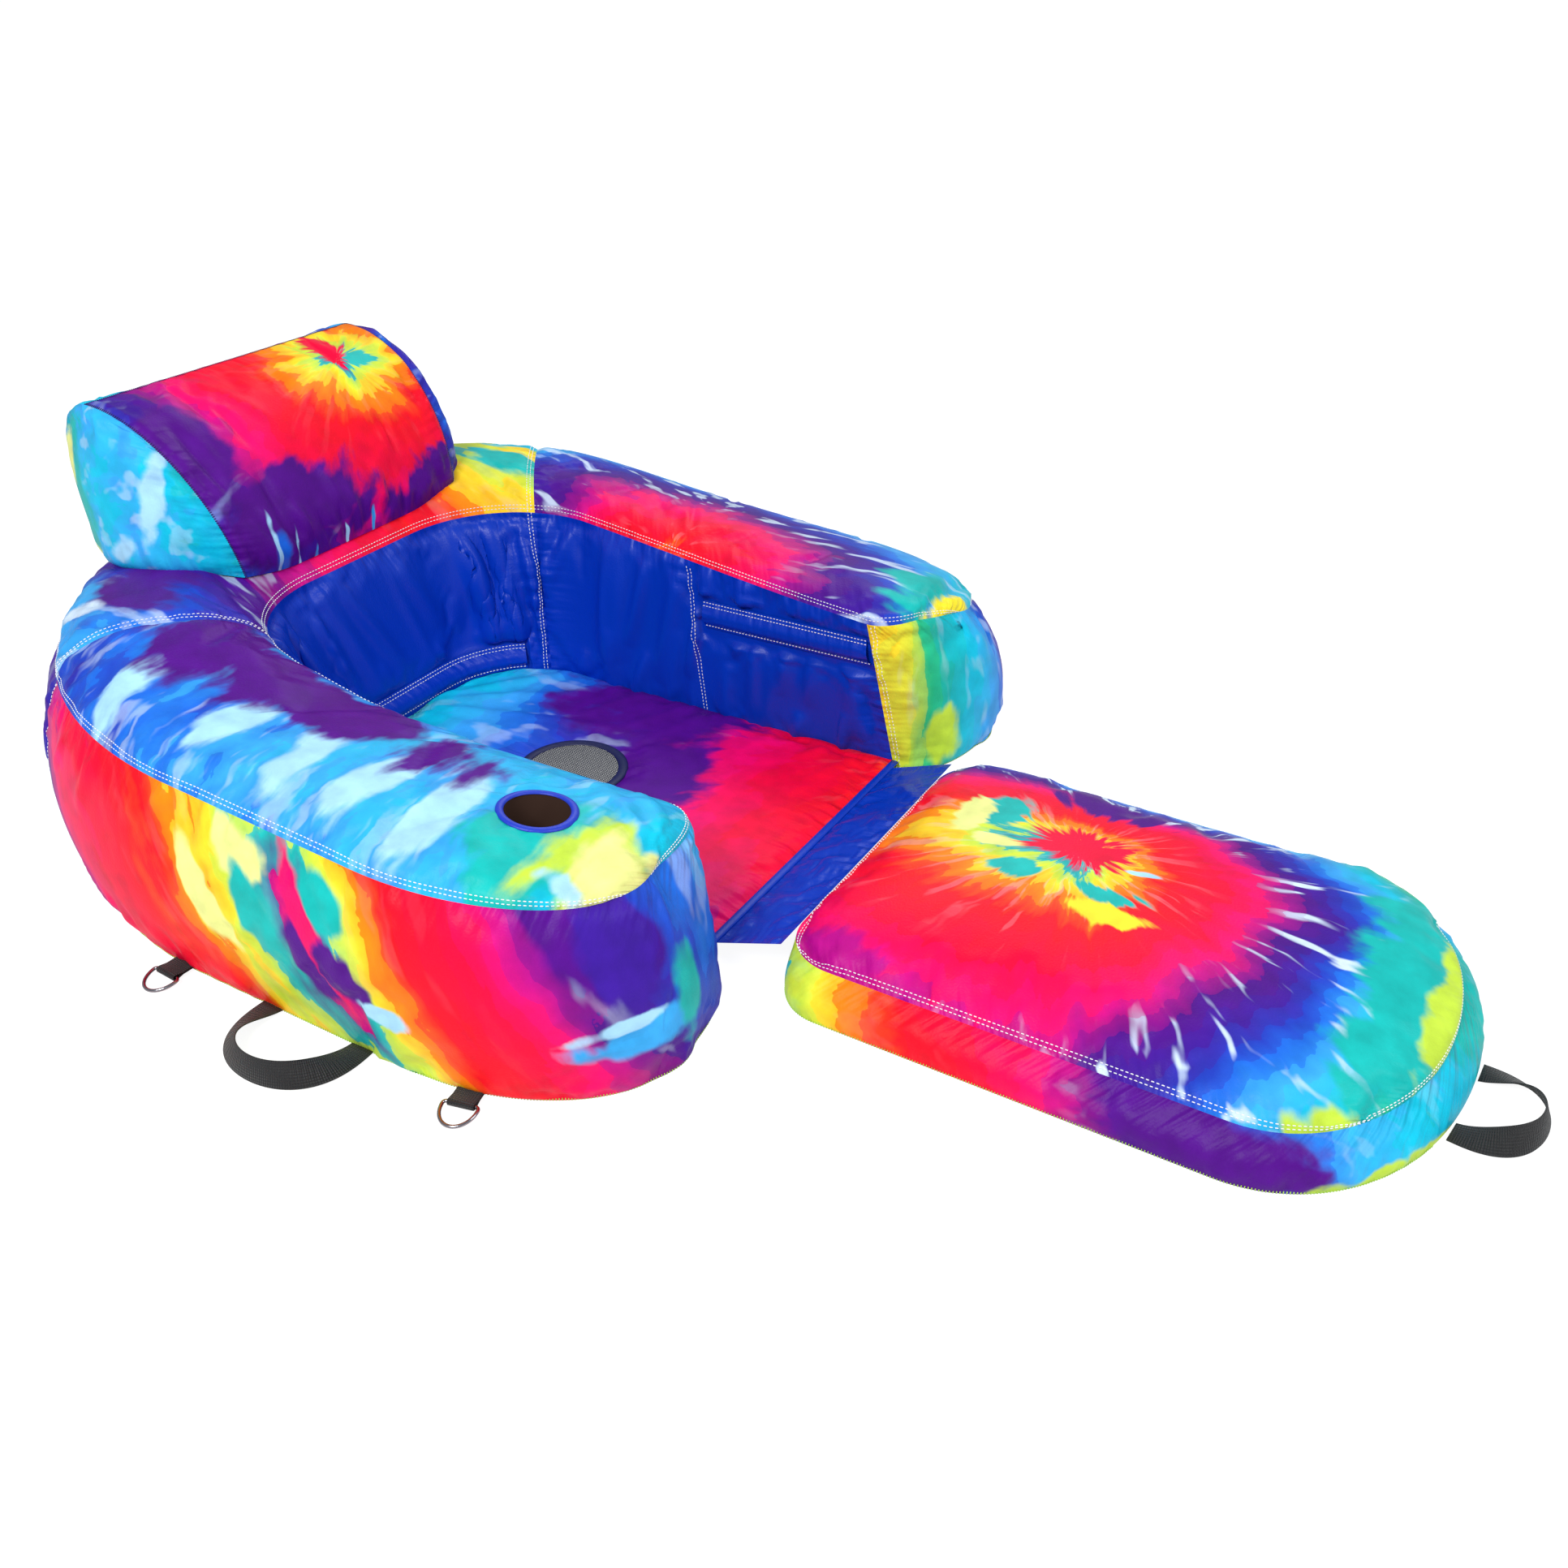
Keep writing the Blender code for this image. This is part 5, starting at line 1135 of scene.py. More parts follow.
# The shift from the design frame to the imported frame, where the back's swell is the rear end
shift = np.array([cad_box[0][0] - float(side_point(BACK, False, 0.0, 0.5)[0]), 0.0, 0.0])


def add(name, verts, faces, materials, body, nodes=(), slot=None, indices=None, layers=(), uv=None):
    """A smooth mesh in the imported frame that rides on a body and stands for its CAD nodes."""
    mesh = bpy.data.meshes.new(name)
    verts = np.asarray(verts, float)
    polygons = [tuple(face) for face in np.asarray(faces, object).tolist()]
    mesh.from_pydata((verts + shift).tolist(), [], polygons)
    for key in materials:
        mesh.materials.append(finishes[key])
    if indices is not None:
        mesh.polygons.foreach_set("material_index", np.asarray(indices, np.int32))
    mesh.polygons.foreach_set("use_smooth", np.ones(len(mesh.polygons), bool))
    for key, values in ({"rest": verts} | dict(layers)).items():
        made = mesh.attributes.new(key, "FLOAT_VECTOR", "POINT")
        made.data.foreach_set("vector", np.asarray(values, np.float32).ravel())
    if uv is not None:
        layer = mesh.uv_layers.new(name="strap")
        corners = np.empty(len(mesh.loops), np.int32)
        mesh.loops.foreach_get("vertex_index", corners)
        layer.data.foreach_set("uv", np.asarray(uv, np.float32)[corners].ravel())
    made = bpy.data.objects.new(name, mesh)
    bpy.context.scene.collection.objects.link(made)
    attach(made, body)
    if nodes:
        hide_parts(*nodes)
    return made


def add_panels(name, panels, body, nodes, slot):
    """One mesh of several panels, with a material each."""
    verts, faces, indices = [], [], []
    layers = {"rest": [], "run": [], "seam": []}
    start = 0
    keys = sorted({panel.finish for panel in panels})
    for panel in panels:
        rows, columns = panel.grid.shape[:2]
        made = quads(rows, columns, start, panel.turn, panel.gone)
        verts.append(panel.grid.reshape(-1, 3))
        for key, values in zip(layers, (panel.rest, *panel.runs())):
            layers[key].append(values.reshape(-1, 3))
        faces += made.tolist()
        indices += [keys.index(panel.finish)] * len(made)
        start += rows * columns
    verts = np.concatenate(verts)
    used = np.unique(np.array(faces))
    slots = np.full(len(verts), -1)
    slots[used] = np.arange(len(used))
    layers = {key: np.concatenate(values)[used] for key, values in layers.items()}
    return add(name, verts[used], slots[np.array(faces)], keys, body, nodes, slot, indices, layers)


def loops_mesh(loops, closed=False, caps=True):
    """Points and faces through loops of equal count."""
    loops = np.asarray(loops, float)
    rows, columns = loops.shape[:2]
    index = np.arange(rows * columns).reshape(rows, columns)
    after = np.roll(index, -1, axis=1)
    onward = np.roll(index, -1, axis=0)
    beyond = np.roll(onward, -1, axis=1)
    count = rows if closed else rows - 1
    faces = np.stack([index, after, beyond, onward], axis=-1)[:count].reshape(-1, 4).tolist()
    if caps and not closed:
        faces.append(index[0, ::-1].tolist())
        faces.append(index[-1].tolist())
    return loops.reshape(-1, 3), faces


def tube_loops(path, radius, sides, closed=False):
    path = np.asarray(path, float)
    if closed:
        along = np.roll(path, -1, axis=0) - np.roll(path, 1, axis=0)
    else:
        along = np.gradient(path, axis=0)
    along = unit(along)
    aside = np.where(np.abs(along[:, 2:]) < 0.9, UP, np.array([1.0, 0.0, 0.0]))
    side = unit(np.cross(along, aside))
    over = np.cross(side, along)
    turns = np.arange(sides) * 2 * math.pi / sides
    circle = np.cos(turns)[None, :, None] * side[:, None] + np.sin(turns)[None, :, None] * over[:, None]
    return path[:, None] + circle * radius


def strap_loops(path, across):
    """Rounded sections of a flat strap, with their run along and across it."""
    path = np.asarray(path, float)
    normal = unit(np.cross(np.gradient(path, axis=0), across))
    half, lift = WEBBING_WIDTH / 2, WEBBING_THICK / 2
    outline = [
        (-half + lift, -lift), (half - lift, -lift), (half, 0.0),
        (half - lift, lift), (-half + lift, lift), (-half, 0.0),
    ]
    loops = np.stack([path + across * side + normal * rise for side, rise in outline], axis=1)
    run = run_along(path)
    uv = [(length, side) for length in run for side, rise in outline]
    return loops, uv, run[-1]


# Seams: lines at a distance from an edge of a panel, and threads along them


def edge_line(panel, edge, distance):
    """Points and normals along a line at a distance from an edge: the first or last row or column."""
    grid, normals = from_edge(panel.grid, edge), from_edge(panel.normals(), edge)
    run = np.cumsum(np.linalg.norm(np.diff(grid, axis=1), axis=2), axis=1)
    rows = np.arange(len(grid))
    column = np.minimum((run < distance).sum(axis=1), run.shape[1] - 1)
    before = np.where(column > 0, run[rows, np.maximum(column - 1, 0)], 0.0)
    share = ((distance - before) / np.maximum(run[rows, column] - before, 1e-9))[:, None]
    share = np.clip(share, 0.0, 1.0)
    points = grid[rows, column] * (1 - share) + grid[rows, column + 1] * share
    return points, normals[rows, column]


def resampled(points, normals, pitch):
    """Places along a line at a pitch, with the facing and the direction of the line there."""
    run = run_along(points)
    stops = np.arange(pitch / 2, run[-1], pitch)
    places = at_stops(stops, run, points)
    facing = at_stops(stops, run, normals)
    along = unit(at_stops(stops, run, np.gradient(points, run + 1e-9 * np.arange(len(run)), axis=0)))
    facing -= along * (facing * along).sum(axis=1)[:, None]
    return places, unit(facing), along


threads = {}


def sew(group, points, normals, length=STITCH, pitch=STITCH_PITCH, crossing=False):
    """Adds a row of stitches to a group; crossing stitches lie across the line."""
    places, facing, along = resampled(points, normals, pitch)
    if crossing:
        along = np.cross(facing, along)
    side = np.cross(facing, along)
    places = places + facing * THREAD_LIFT
    turns = np.arange(STITCH_SIDES) * 2 * math.pi / STITCH_SIDES
    shape = [(-0.5, 0.0, 0.0)]
    for reach in (-STITCH_SHOULDER, STITCH_SHOULDER):
        shape += [(reach, THREAD * math.cos(turn), THREAD * math.sin(turn)) for turn in turns]
    shape.append((0.5, 0.0, 0.0))
    rows = [places + along * (reach * length) + side * over + facing * rise for reach, over, rise in shape]
    threads.setdefault(group, []).append(np.stack(rows, axis=1))


def sew_across(group, points, normals, pitch):
    sew(group, points, normals, CROSS_STITCH, pitch, crossing=True)


def stitch_faces():
    """Faces of one stitch: a point, two rings and a point."""
    faces = []
    first, second, end = 1, 1 + STITCH_SIDES, 1 + 2 * STITCH_SIDES
    for turn in range(STITCH_SIDES):
        after = (turn + 1) % STITCH_SIDES
        faces += [(0, first + after, first + turn), (end, second + turn, second + after)]
        faces.append((first + turn, first + after, second + after))
        faces.append((first + turn, second + after, second + turn))
    return np.array(faces)


def double_row(group, panel, edge, first=ROW_FIRST, second=ROW_SECOND):
    for distance in (first, second):
        sew(group, *edge_line(panel, edge, distance))


# Ring covers


def arm_middle(station):
    return (side_point(FAR_ARM, False, station, 1.0) + side_point(FAR_ARM, True, station, 1.0)) / 2


nose_rows = spaced(arm_middle, 0.0, NOSE_SHARE)
arm_rows = np.concatenate([nose_rows, spaced(arm_middle, NOSE_SHARE, 1.0)[1:]])
wall_rows = arm_rows[len(nose_rows) - 1:]
back_rows = spaced(lambda station: side_point(BACK, False, station, 1.0), -1.0, 1.0)
levels = even(RIM_BACK_Z)
across = even(OUTER_HALF - INNER_FRONT_HALF)


def ring_panels(name, section):
    """Top, band and wall of a section of the ring, and its base, which doesn't settle."""
    kind, sign = section
    rows = arm_rows if kind == "arm" else back_rows
    walls = wall_rows if kind == "arm" else back_rows
    made = {"top": Panel(top_point(section, rows[:, None], across[None, :]), name + "_top", UP)}
    band = [side_point(section, False, rows[::-1, None], levels[None, :])]
    if kind == "arm":
        band.append(tip_point(section, across[1:-1, None], levels[None, :]))
        band.append(side_point(section, True, nose_rows[:, None], levels[None, :]))
    outwards = np.array([0.0, sign, 0.0] if kind == "arm" else [-1.0, 0.0, 0.0])
    made["band"] = Panel(
        np.concatenate(band), name + "_band", outwards, at=(len(rows) // 2, len(levels) // 2),
    )
    wall = side_point(section, True, walls[:, None], levels[None, :])
    made["wall"] = Panel(wall, "blue", -outwards, loose=0.8)
    return made, Panel(base_point(section, rows[:, None], across[None, :]), "lining", -UP)


def near_pull(points):
    """How far the inner corner of the near nose lies behind the far one's."""
    inner = smooth((points[..., 1] - NEAR_PULL_Y) / NEAR_PULL_WIDE)
    ahead = smooth((points[..., 0] - NEAR_PULL_X) / NEAR_PULL_RUN)
    return NEAR_PULL * inner * ahead * np.clip(points[..., 2] / RIM_BACK_Z, 0.0, 1.0)


ring = {}
bases = {}
for name, section in SECTIONS.items():
    ring[name], bases[name] = ring_panels(name, section)
for panel in ring["near"].values():
    panel.rest[..., 0] -= near_pull(panel.rest)
    panel.grid = panel.rest.copy()
ring["near"]["top"].cut_hole(CUP, CUP_RADIUS)

# Headrest


def bezier(first, second, third, fourth, share):
    rest = 1 - share
    return (
        first * rest ** 3 + 3 * second * rest ** 2 * share
        + 3 * third * rest * share ** 2 + fourth * share ** 3
    )


def head_half(z):
    share = (z - RIM_BACK_Z - CROWN) / (HEAD_TOP[1] - RIM_BACK_Z - CROWN)
    return HEAD_LOW_HALF + (HEAD_TOP_HALF - HEAD_LOW_HALF) * share


def head_side(lateral, share, rear):
    """Points up the front or the rear of the headrest: lateral runs from -1 to 1, share from 0 at its foot
    to 1 at its top."""
    lateral, share = matched(lateral, share)
    x = HEAD_REAR_X if rear else HEAD_FRONT_X
    foot = top_height(BACK, x, lateral * HEAD_LOW_HALF) + HEAD_SEAT - HEAD_SINK
    if rear:
        xs = bezier(x, x - HEAD_REAR_OVERHANG, HEAD_TOP[0] - HEAD_REAR_REACH, HEAD_TOP[0], share)
        zs = bezier(foot, foot + HEAD_REAR_RISE, HEAD_TOP[1], HEAD_TOP[1], share)
    else:
        xs = bezier(x, x, HEAD_TOP[0] + HEAD_FRONT_REACH, HEAD_TOP[0], share)
        zs = bezier(foot, foot + HEAD_FRONT_RISE, HEAD_TOP[1], HEAD_TOP[1], share)
    low = np.clip((HEAD_TOP[1] - zs) / (HEAD_TOP[1] - foot), 0.0, 1.0)
    ys = lateral * head_half(zs) + HEAD_FAR_FLARE * low * np.maximum(lateral, 0.0)
    return np.stack([xs, ys, zs], axis=-1)


def coons(first, last, left, right):
    """A grid between four edges: first and last run along the columns, left and right along the rows."""
    down = np.linspace(0.0, 1.0, len(left))[:, None, None]
    over = np.linspace(0.0, 1.0, len(first))[None, :, None]
    corners = (
        first[0] * (1 - down) * (1 - over) + first[-1] * (1 - down) * over
        + last[0] * down * (1 - over) + last[-1] * down * over
    )
    ruled = first[None] * (1 - down) + last[None] * down + left[:, None] * (1 - over) + right[:, None] * over
    return ruled - corners


def along_curve(curve, low, high, count):
    """Points evenly spaced along a curve."""
    dense = np.linspace(low, high, 300)
    run = run_along(curve(dense))
    return curve(np.interp(np.linspace(0.0, run[-1], count), run, dense))


head_columns = even(2 * HEAD_TOP_HALF) * 2 - 1
head = {}
for rear in (False, True):
    shares = spaced(lambda share: head_side(0.0, share, rear), 0.0, 1.0)
    grid = head_side(head_columns[None, :], shares[:, None], rear)
    key = "back" if rear else "front"
    head[key] = Panel(grid, "head_" + key, (-1.0, 0.0, 0.3) if rear else (1.0, 0.0, 0.3), loose=1.3)


def head_outline(lateral):
    """Four edges of a side of the headrest: along the ring, over the top, up the front and up the rear."""
    floor_x = np.linspace(HEAD_FRONT_X, HEAD_REAR_X, HEAD_LONG_POINTS)
    flare = HEAD_FLARE * np.sin(np.linspace(0.0, math.pi, HEAD_LONG_POINTS)) ** HEAD_FLARE_POWER
    floor_y = head_side(lateral, 0.0, False)[1] + lateral * flare
    floor_z = top_height(BACK, floor_x, floor_y) + HEAD_SEAT - HEAD_SINK
    floor = np.stack([floor_x, floor_y, floor_z], axis=1)

    def over_top(turn):
        rise = head_side(lateral, np.minimum(1.0, HEAD_CORNER + (1 - HEAD_CORNER) * turn), False)
        fall = head_side(lateral, np.minimum(1.0, HEAD_CORNER + (1 - HEAD_CORNER) * (2 - turn)), True)
        return np.where((turn < 1)[:, None], rise, fall)

    top = along_curve(over_top, 0.0, 2.0, HEAD_LONG_POINTS)
    rises = [
        along_curve(lambda share: head_side(lateral, share, rear), 0.0, HEAD_CORNER, HEAD_HIGH_POINTS)
        for rear in (False, True)
    ]
    return floor, top, *rises


for key, lateral in (("near", -1.0), ("far", 1.0)):
    grid = coons(*head_outline(lateral))
    down = np.linspace(0.0, 1.0, grid.shape[0])[:, None]
    over = np.linspace(0.0, 1.0, grid.shape[1])[None, :]
    grid[..., 1] += lateral * HEAD_SIDE_BULGE * crown_share(down) * crown_share(over)
    head[key] = Panel(grid, "head_" + key, (0.0, lateral, 0.0), loose=1.2)

# Footrest


def foot_corner_line(turn_low, turn_high, side):
    turns = np.linspace(turn_low, turn_high, FOOT_CORNER_POINTS)
    x = FOOT_START + FOOT_CORNER + FOOT_CORNER * np.cos(turns)
    y = side * (FOOT_HALF_WIDTH - FOOT_CORNER + FOOT_CORNER * np.sin(turns))
    return np.stack([x, y], axis=1)


def foot_end_line(turns):
    x = FOOT_END - FOOT_END_DEPTH + FOOT_END_DEPTH * np.cos(turns)
    return np.stack([x, FOOT_HALF_WIDTH * np.sin(turns)], axis=1)


def foot_edges():
    """Rear edge, front edge, near edge and far edge of the footrest in plan."""
    rear = np.concatenate([
        foot_corner_line(FOOT_REAR_TURN, math.pi, -1.0), foot_corner_line(math.pi, FOOT_REAR_TURN, 1.0),
    ])
    front = foot_end_line(np.linspace(-FOOT_END_FAN, FOOT_END_FAN, 2 * FOOT_END_POINTS))
    sides = []
    for side in (-1.0, 1.0):
        corner = foot_corner_line(FOOT_REAR_TURN, math.pi / 2, side)
        end = foot_end_line(np.linspace(side * math.pi / 2, side * FOOT_END_FAN, FOOT_END_POINTS))
        sides.append(np.concatenate([corner, end]))
    return rear, front, *sides


def resample_flat(points, count):
    run = run_along(points)
    return at_stops(np.linspace(0.0, run[-1], count), run, points)


foot_rear, foot_front, foot_near, foot_far = foot_edges()
FOOT_LONG = 2 * round(FOOT_SIDE_RUN / CELL) + 1
FOOT_WIDE = 2 * round(FOOT_END_RUN / CELL) + 1
foot_rear, foot_front = resample_flat(foot_rear, FOOT_WIDE), resample_flat(foot_front, FOOT_WIDE)
foot_near, foot_far = resample_flat(foot_near, FOOT_LONG), resample_flat(foot_far, FOOT_LONG)
foot_plan = coons(foot_rear, foot_front, foot_near, foot_far)


def foot_size(x, y):
    """1 at the footrest's seam, 0 on its spine."""
    over = np.abs(y) / FOOT_HALF_WIDTH
    front = np.maximum(x - (FOOT_END - FOOT_END_DEPTH), 0.0) / FOOT_END_DEPTH
    rear = np.maximum(FOOT_START + FOOT_HALF_WIDTH - x, 0.0) / FOOT_HALF_WIDTH
    behind = (rear ** FOOT_REAR_POWER + over ** FOOT_REAR_POWER) ** (1 / FOOT_REAR_POWER)
    return np.where(front > 0, np.hypot(front, over), behind)


size = np.clip(foot_size(foot_plan[..., 0], foot_plan[..., 1]), 0.0, 1.0)
size[[0, -1], :] = 1.0
size[:, [0, -1]] = 1.0
foot_crown = FOOT_CROWN * np.maximum(1 - size ** CROWN_FULLNESS, 0.0) ** CROWN_STEEPNESS
foot = {"top": Panel(np.dstack([foot_plan, FOOT_SEAM_Z + foot_crown]), "foot_top", UP, loose=0.9)}
outline = np.concatenate([foot_rear[::-1], foot_near[1:], foot_front[1:], foot_far[-2::-1]])
tangent = np.gradient(outline, axis=0)
tangent[[0, -1]] = tangent[1] + tangent[-2]
outward = unit(np.stack([tangent[:, 1], -tangent[:, 0]], axis=1))
rearward = np.clip(-outward[:, 0], 0.0, 1.0) ** 2
foot_levels = even(FOOT_SEAM_Z)
swell = FOOT_FLARE * (1 - foot_levels) + FOOT_BULGE * np.sin(math.pi * foot_levels)
swell = swell[None, :] * (1 - rearward)[:, None]
foot_side = outline[:, None] + outward[:, None] * swell[..., None]
foot_z = np.broadcast_to(foot_levels * FOOT_SEAM_Z, foot_side.shape[:2])
near_middle = (FOOT_WIDE + FOOT_LONG // 2, len(foot_levels) // 2)
foot["band"] = Panel(
    np.dstack([foot_side, foot_z]), "foot_band", (0.0, -1.0, 0.0), at=near_middle, loose=0.6,
)

# Seat sling and hinge panel


def seat_edge(section, station):
    return side_point(section, True, station, SEAT_Z / wall_height(section, station)[1])


seat_back_rows = np.linspace(1.0, SEAT_BACK_STATION, 2 * SEAT_BACK_CELLS + 1)
far_edge = np.concatenate([seat_edge(FAR_ARM, wall_rows), seat_edge(BACK, seat_back_rows[1:])])
near_edge = far_edge * [1.0, -1.0, 1.0]
share = even(2 * INNER_FRONT_HALF)
seat_grid = near_edge[:, None] * (1 - share)[None, :, None] + far_edge[:, None] * share[None, :, None]
lengthwise = np.sin(math.pi * np.linspace(0.0, 1.0, len(far_edge)))
seat_grid[..., 2] += SEAT_CROWN * np.sin(math.pi * share)[None, :] * lengthwise[:, None]
seat = Panel(seat_grid, "seat", UP, loose=1.0, press=0.25)
seat.cut_hole(DRAIN, DRAIN_RADIUS)
hinge_share = even(HINGE_RUN, HINGE_CELL)
hinge_over = even(2 * HINGE_HALF_WIDTH)
hinge_grid = np.empty((len(hinge_share), len(hinge_over), 3))
hinge_grid[..., 0] = (HINGE_BACK[0] + (HINGE_FRONT[0] - HINGE_BACK[0]) * hinge_share)[:, None]
hinge_grid[..., 1] = ((hinge_over * 2 - 1) * HINGE_HALF_WIDTH)[None, :]
hinge_grid[..., 2] = (HINGE_BACK[1] + (HINGE_FRONT[1] - HINGE_BACK[1]) * hinge_share)[:, None]
hinge = Panel(hinge_grid, "blue", UP, loose=0.8, press=0.2)

# The cloth settles, held still where zips, handles and the hinge lie against it
for name in ARMS:
    wall = ring[name]["wall"]
    x = wall.rest[..., 0]
    rise = (ZIP_FRONT_LEVEL - ZIP_REAR_LEVEL) * (x - ZIP_ARM_REAR_X)
    level = ZIP_REAR_LEVEL + rise / (ZIP_ARM_FRONT_X - ZIP_ARM_REAR_X)
    wall.hold |= (x > ZIP_ARM_REAR_X - ZIP_HELD_RUN) & (np.abs(levels[None, :] - level) < ZIP_HELD_LEVEL)
inner_edge = ring["near"]["top"].rest[:, -HELD_COLUMNS:]
ring["near"]["top"].hold[:, -HELD_COLUMNS:] |= inner_edge[..., 0] > ZIP_ARM_REAR_X
for name in ARMS:
    x, z = ring[name]["band"].rest[..., 0], ring[name]["band"].rest[..., 2]
    ring[name]["band"].hold |= (z < 4 * HELD_RUN) & (np.abs(x - HANDLE_X) < HANDLE_HALF_SPAN + HELD_RUN)
x, y = foot["band"].rest[..., 0], foot["band"].rest[..., 1]
beside = np.abs(y - FOOT_HANDLE_Y) < FOOT_HANDLE_HALF_SPAN + HELD_RUN
foot["band"].hold |= (x < FOOT_START + HELD_RUN) | beside
hinge.hold[-HELD_HINGE_ROWS:] = True
behind_flap = np.abs(back_rows)[:, None] < BACK_FLAP_STATION + BACK_HELD_STATION
ring["back"]["wall"].hold |= behind_flap & (levels[None, :] < BACK_HELD_LEVEL)
soft = [panel for group in (*ring.values(), head, foot) for panel in group.values()] + [seat, hinge]
settle(soft)

# Folds: their number, reach inwards, drift along the edge, height and width
for name, share in (("near", -0.06), ("far", 0.05), ("back", 0.04)):
    folds(ring[name]["wall"], "last_column", 12, 0.80, 1.6 * share, 0.0150, 0.012)
    folds(ring[name]["wall"], "first_column", 10, 0.50, -share, 0.0100, 0.010)
    folds(ring[name]["band"], "last_column", 14, 0.40, share, 0.0050, 0.009)
    folds(ring[name]["band"], "first_column", 14, 0.30, share, 0.0045, 0.008)
    folds(ring[name]["top"], "first_column", 16, 0.18, 0.01, 0.0028, 0.006)
    folds(ring[name]["top"], "last_column", 16, 0.22, 0.01, 0.0034, 0.006)
folds(ring["back"]["wall"], "last_column", 9, 0.90, 0.10, 0.0065, 0.013)
folds(head["front"], "first_row", 15, 0.45, -0.05, 0.0080, 0.009)
folds(head["front"], "last_row", 6, 0.60, 0.12, 0.0050, 0.010)
folds(head["near"], "first_row", 8, 0.30, 0.04, 0.0040, 0.008)
folds(seat, "last_row", 11, 0.45, 0.04, 0.0050, 0.010)
for edge in ("first_column", "last_column"):
    folds(seat, edge, 12, 0.30, 0.05, 0.0040, 0.009)
for edge in ("first_column", "last_column"):
    folds(foot["top"], edge, 12, 0.16, 0.02, 0.0030, 0.007)
folds(foot["band"], "last_column", 24, 0.70, 0.01, 0.0028, 0.006)
folds(hinge, "first_row", 9, 0.80, 0.03, 0.0030, 0.008)

# Covers and the bladders inside them
nodes_of = {"near": "near_arm", "far": "far_arm", "back": "back"}
for name, section in SECTIONS.items():
    node_name = nodes_of[name]
    nodes = [node_name + part for part in ("_top", "_band", "_wall", "_base")]
    panels = [*ring[name].values(), bases[name]]
    cover = add_panels(node_name + "_cover", panels, "lounger", nodes, "tie_dye_nylon")
    rows = (arm_rows if section[0] == "arm" else back_rows)[4:-4:2]
    inner_levels = np.linspace(0.0, 1.0, 7)
    loop = [side_point(section, False, rows, level, BLADDER_INSET) for level in inner_levels]
    loop += [top_point(section, rows, over, BLADDER_INSET) for over in np.linspace(0.0, 1.0, 31)[1:]]
    loop += [side_point(section, True, rows, level, BLADDER_INSET) for level in inner_levels[-2::-1]]
    points, faces = loops_mesh(np.stack(loop, axis=1))
    if section == NEAR_ARM:
        points[:, 0] -= near_pull(points)
        from_cup = np.hypot(points[:, 0] - CUP[0], points[:, 1] - CUP[1]) - CUP_RADIUS
        dent = CUP_DEPTH * (1 - smooth((from_cup - CUP_DENT_GAP) / CUP_DENT_RUN))
        points[:, 2] -= np.where(points[:, 2] > SEAT_Z + CUP_DEPTH, dent, 0.0)
    air = add(node_name + "_air", points, faces, ["vinyl"], "lounger", [node_name + "_bladder"], "vinyl")
head_nodes = ["headrest_" + part for part in ("front", "back", "near_side", "far_side", "base")]
head_floor = coons(*[head[key].rest[0] for key in ("front", "back", "near", "far")])
panels = [*head.values(), Panel(head_floor, "lining", -UP)]
add_panels("headrest_cover", panels, "lounger", head_nodes, "tie_dye_nylon")
foot_rim = foot["band"].rest[:, 0, :2]
front_start = FOOT_WIDE + FOOT_LONG - 2
foot_floor = coons(
    foot_rim[:FOOT_WIDE][::-1], foot_rim[front_start:front_start + FOOT_WIDE],
    foot_rim[FOOT_WIDE - 1:front_start + 1], foot_rim[front_start + FOOT_WIDE - 1:][::-1],
)
foot_base = Panel(np.dstack([foot_floor, np.zeros(foot_floor.shape[:2])])[::2, ::2], "lining", -UP)
foot_nodes = ["footrest_" + part for part in ("top", "band", "base")]
panels = [*foot.values(), foot_base]
add_panels("footrest_cover", panels, "footrest", foot_nodes, "tie_dye_nylon")


def shrunk(points, inset):
    """Loops drawn towards their middle line by a distance."""
    middle = points.mean(axis=1, keepdims=True)
    away = points - middle
    reach = np.linalg.norm(away, axis=2, keepdims=True)
    return middle + away * np.maximum(reach - inset, 0.0) / np.maximum(reach, 1e-6)


head_loops = []
for lateral in np.linspace(-HEAD_AIR_WIDE, HEAD_AIR_WIDE, HEAD_AIR_POINTS):
    rise = head_side(lateral, np.linspace(0.0, 1.0, HEAD_AIR_POINTS), False)
    fall = head_side(lateral, np.linspace(1.0, 0.0, HEAD_AIR_POINTS), True)
    head_loops.append(np.concatenate([rise, fall[1:]]))
head_loops = shrunk(np.array(head_loops), BLADDER_INSET)
head_air = add("headrest_air", *loops_mesh(head_loops), ["vinyl"], "lounger", ["headrest_bladder"], "vinyl")
foot_x = np.linspace(FOOT_START + FOOT_AIR_END, FOOT_END - FOOT_AIR_END, FOOT_AIR_POINTS + 1)
in_end = (foot_x - FOOT_END + FOOT_END_DEPTH) / FOOT_END_DEPTH
foot_half = np.where(
    foot_x > FOOT_END - FOOT_END_DEPTH,
    FOOT_HALF_WIDTH * np.sqrt(np.maximum(1 - in_end ** 2, 0.0)),
    FOOT_HALF_WIDTH,
)
foot_loops = []
for x, half in zip(foot_x, foot_half):
    over = np.linspace(-1.0, 1.0, FOOT_AIR_POINTS) * max(half - BLADDER_INSET, FOOT_AIR_LEAST)
    crown = FOOT_CROWN * np.maximum(1 - np.clip(foot_size(x, over), 0, 1) ** 2, 0.0) - FOOT_AIR_DROP
    xs = np.full(FOOT_AIR_POINTS, x)
    upper = np.stack([xs, over, FOOT_SEAM_Z + crown], axis=1)
    lower = np.stack([xs, over[::-1], np.full(FOOT_AIR_POINTS, FOOT_AIR_Z)], axis=1)
    foot_loops.append(np.concatenate([upper, lower]))
foot_air = add("footrest_air", *loops_mesh(foot_loops), ["vinyl"], "footrest", ["footrest_bladder"], "vinyl")


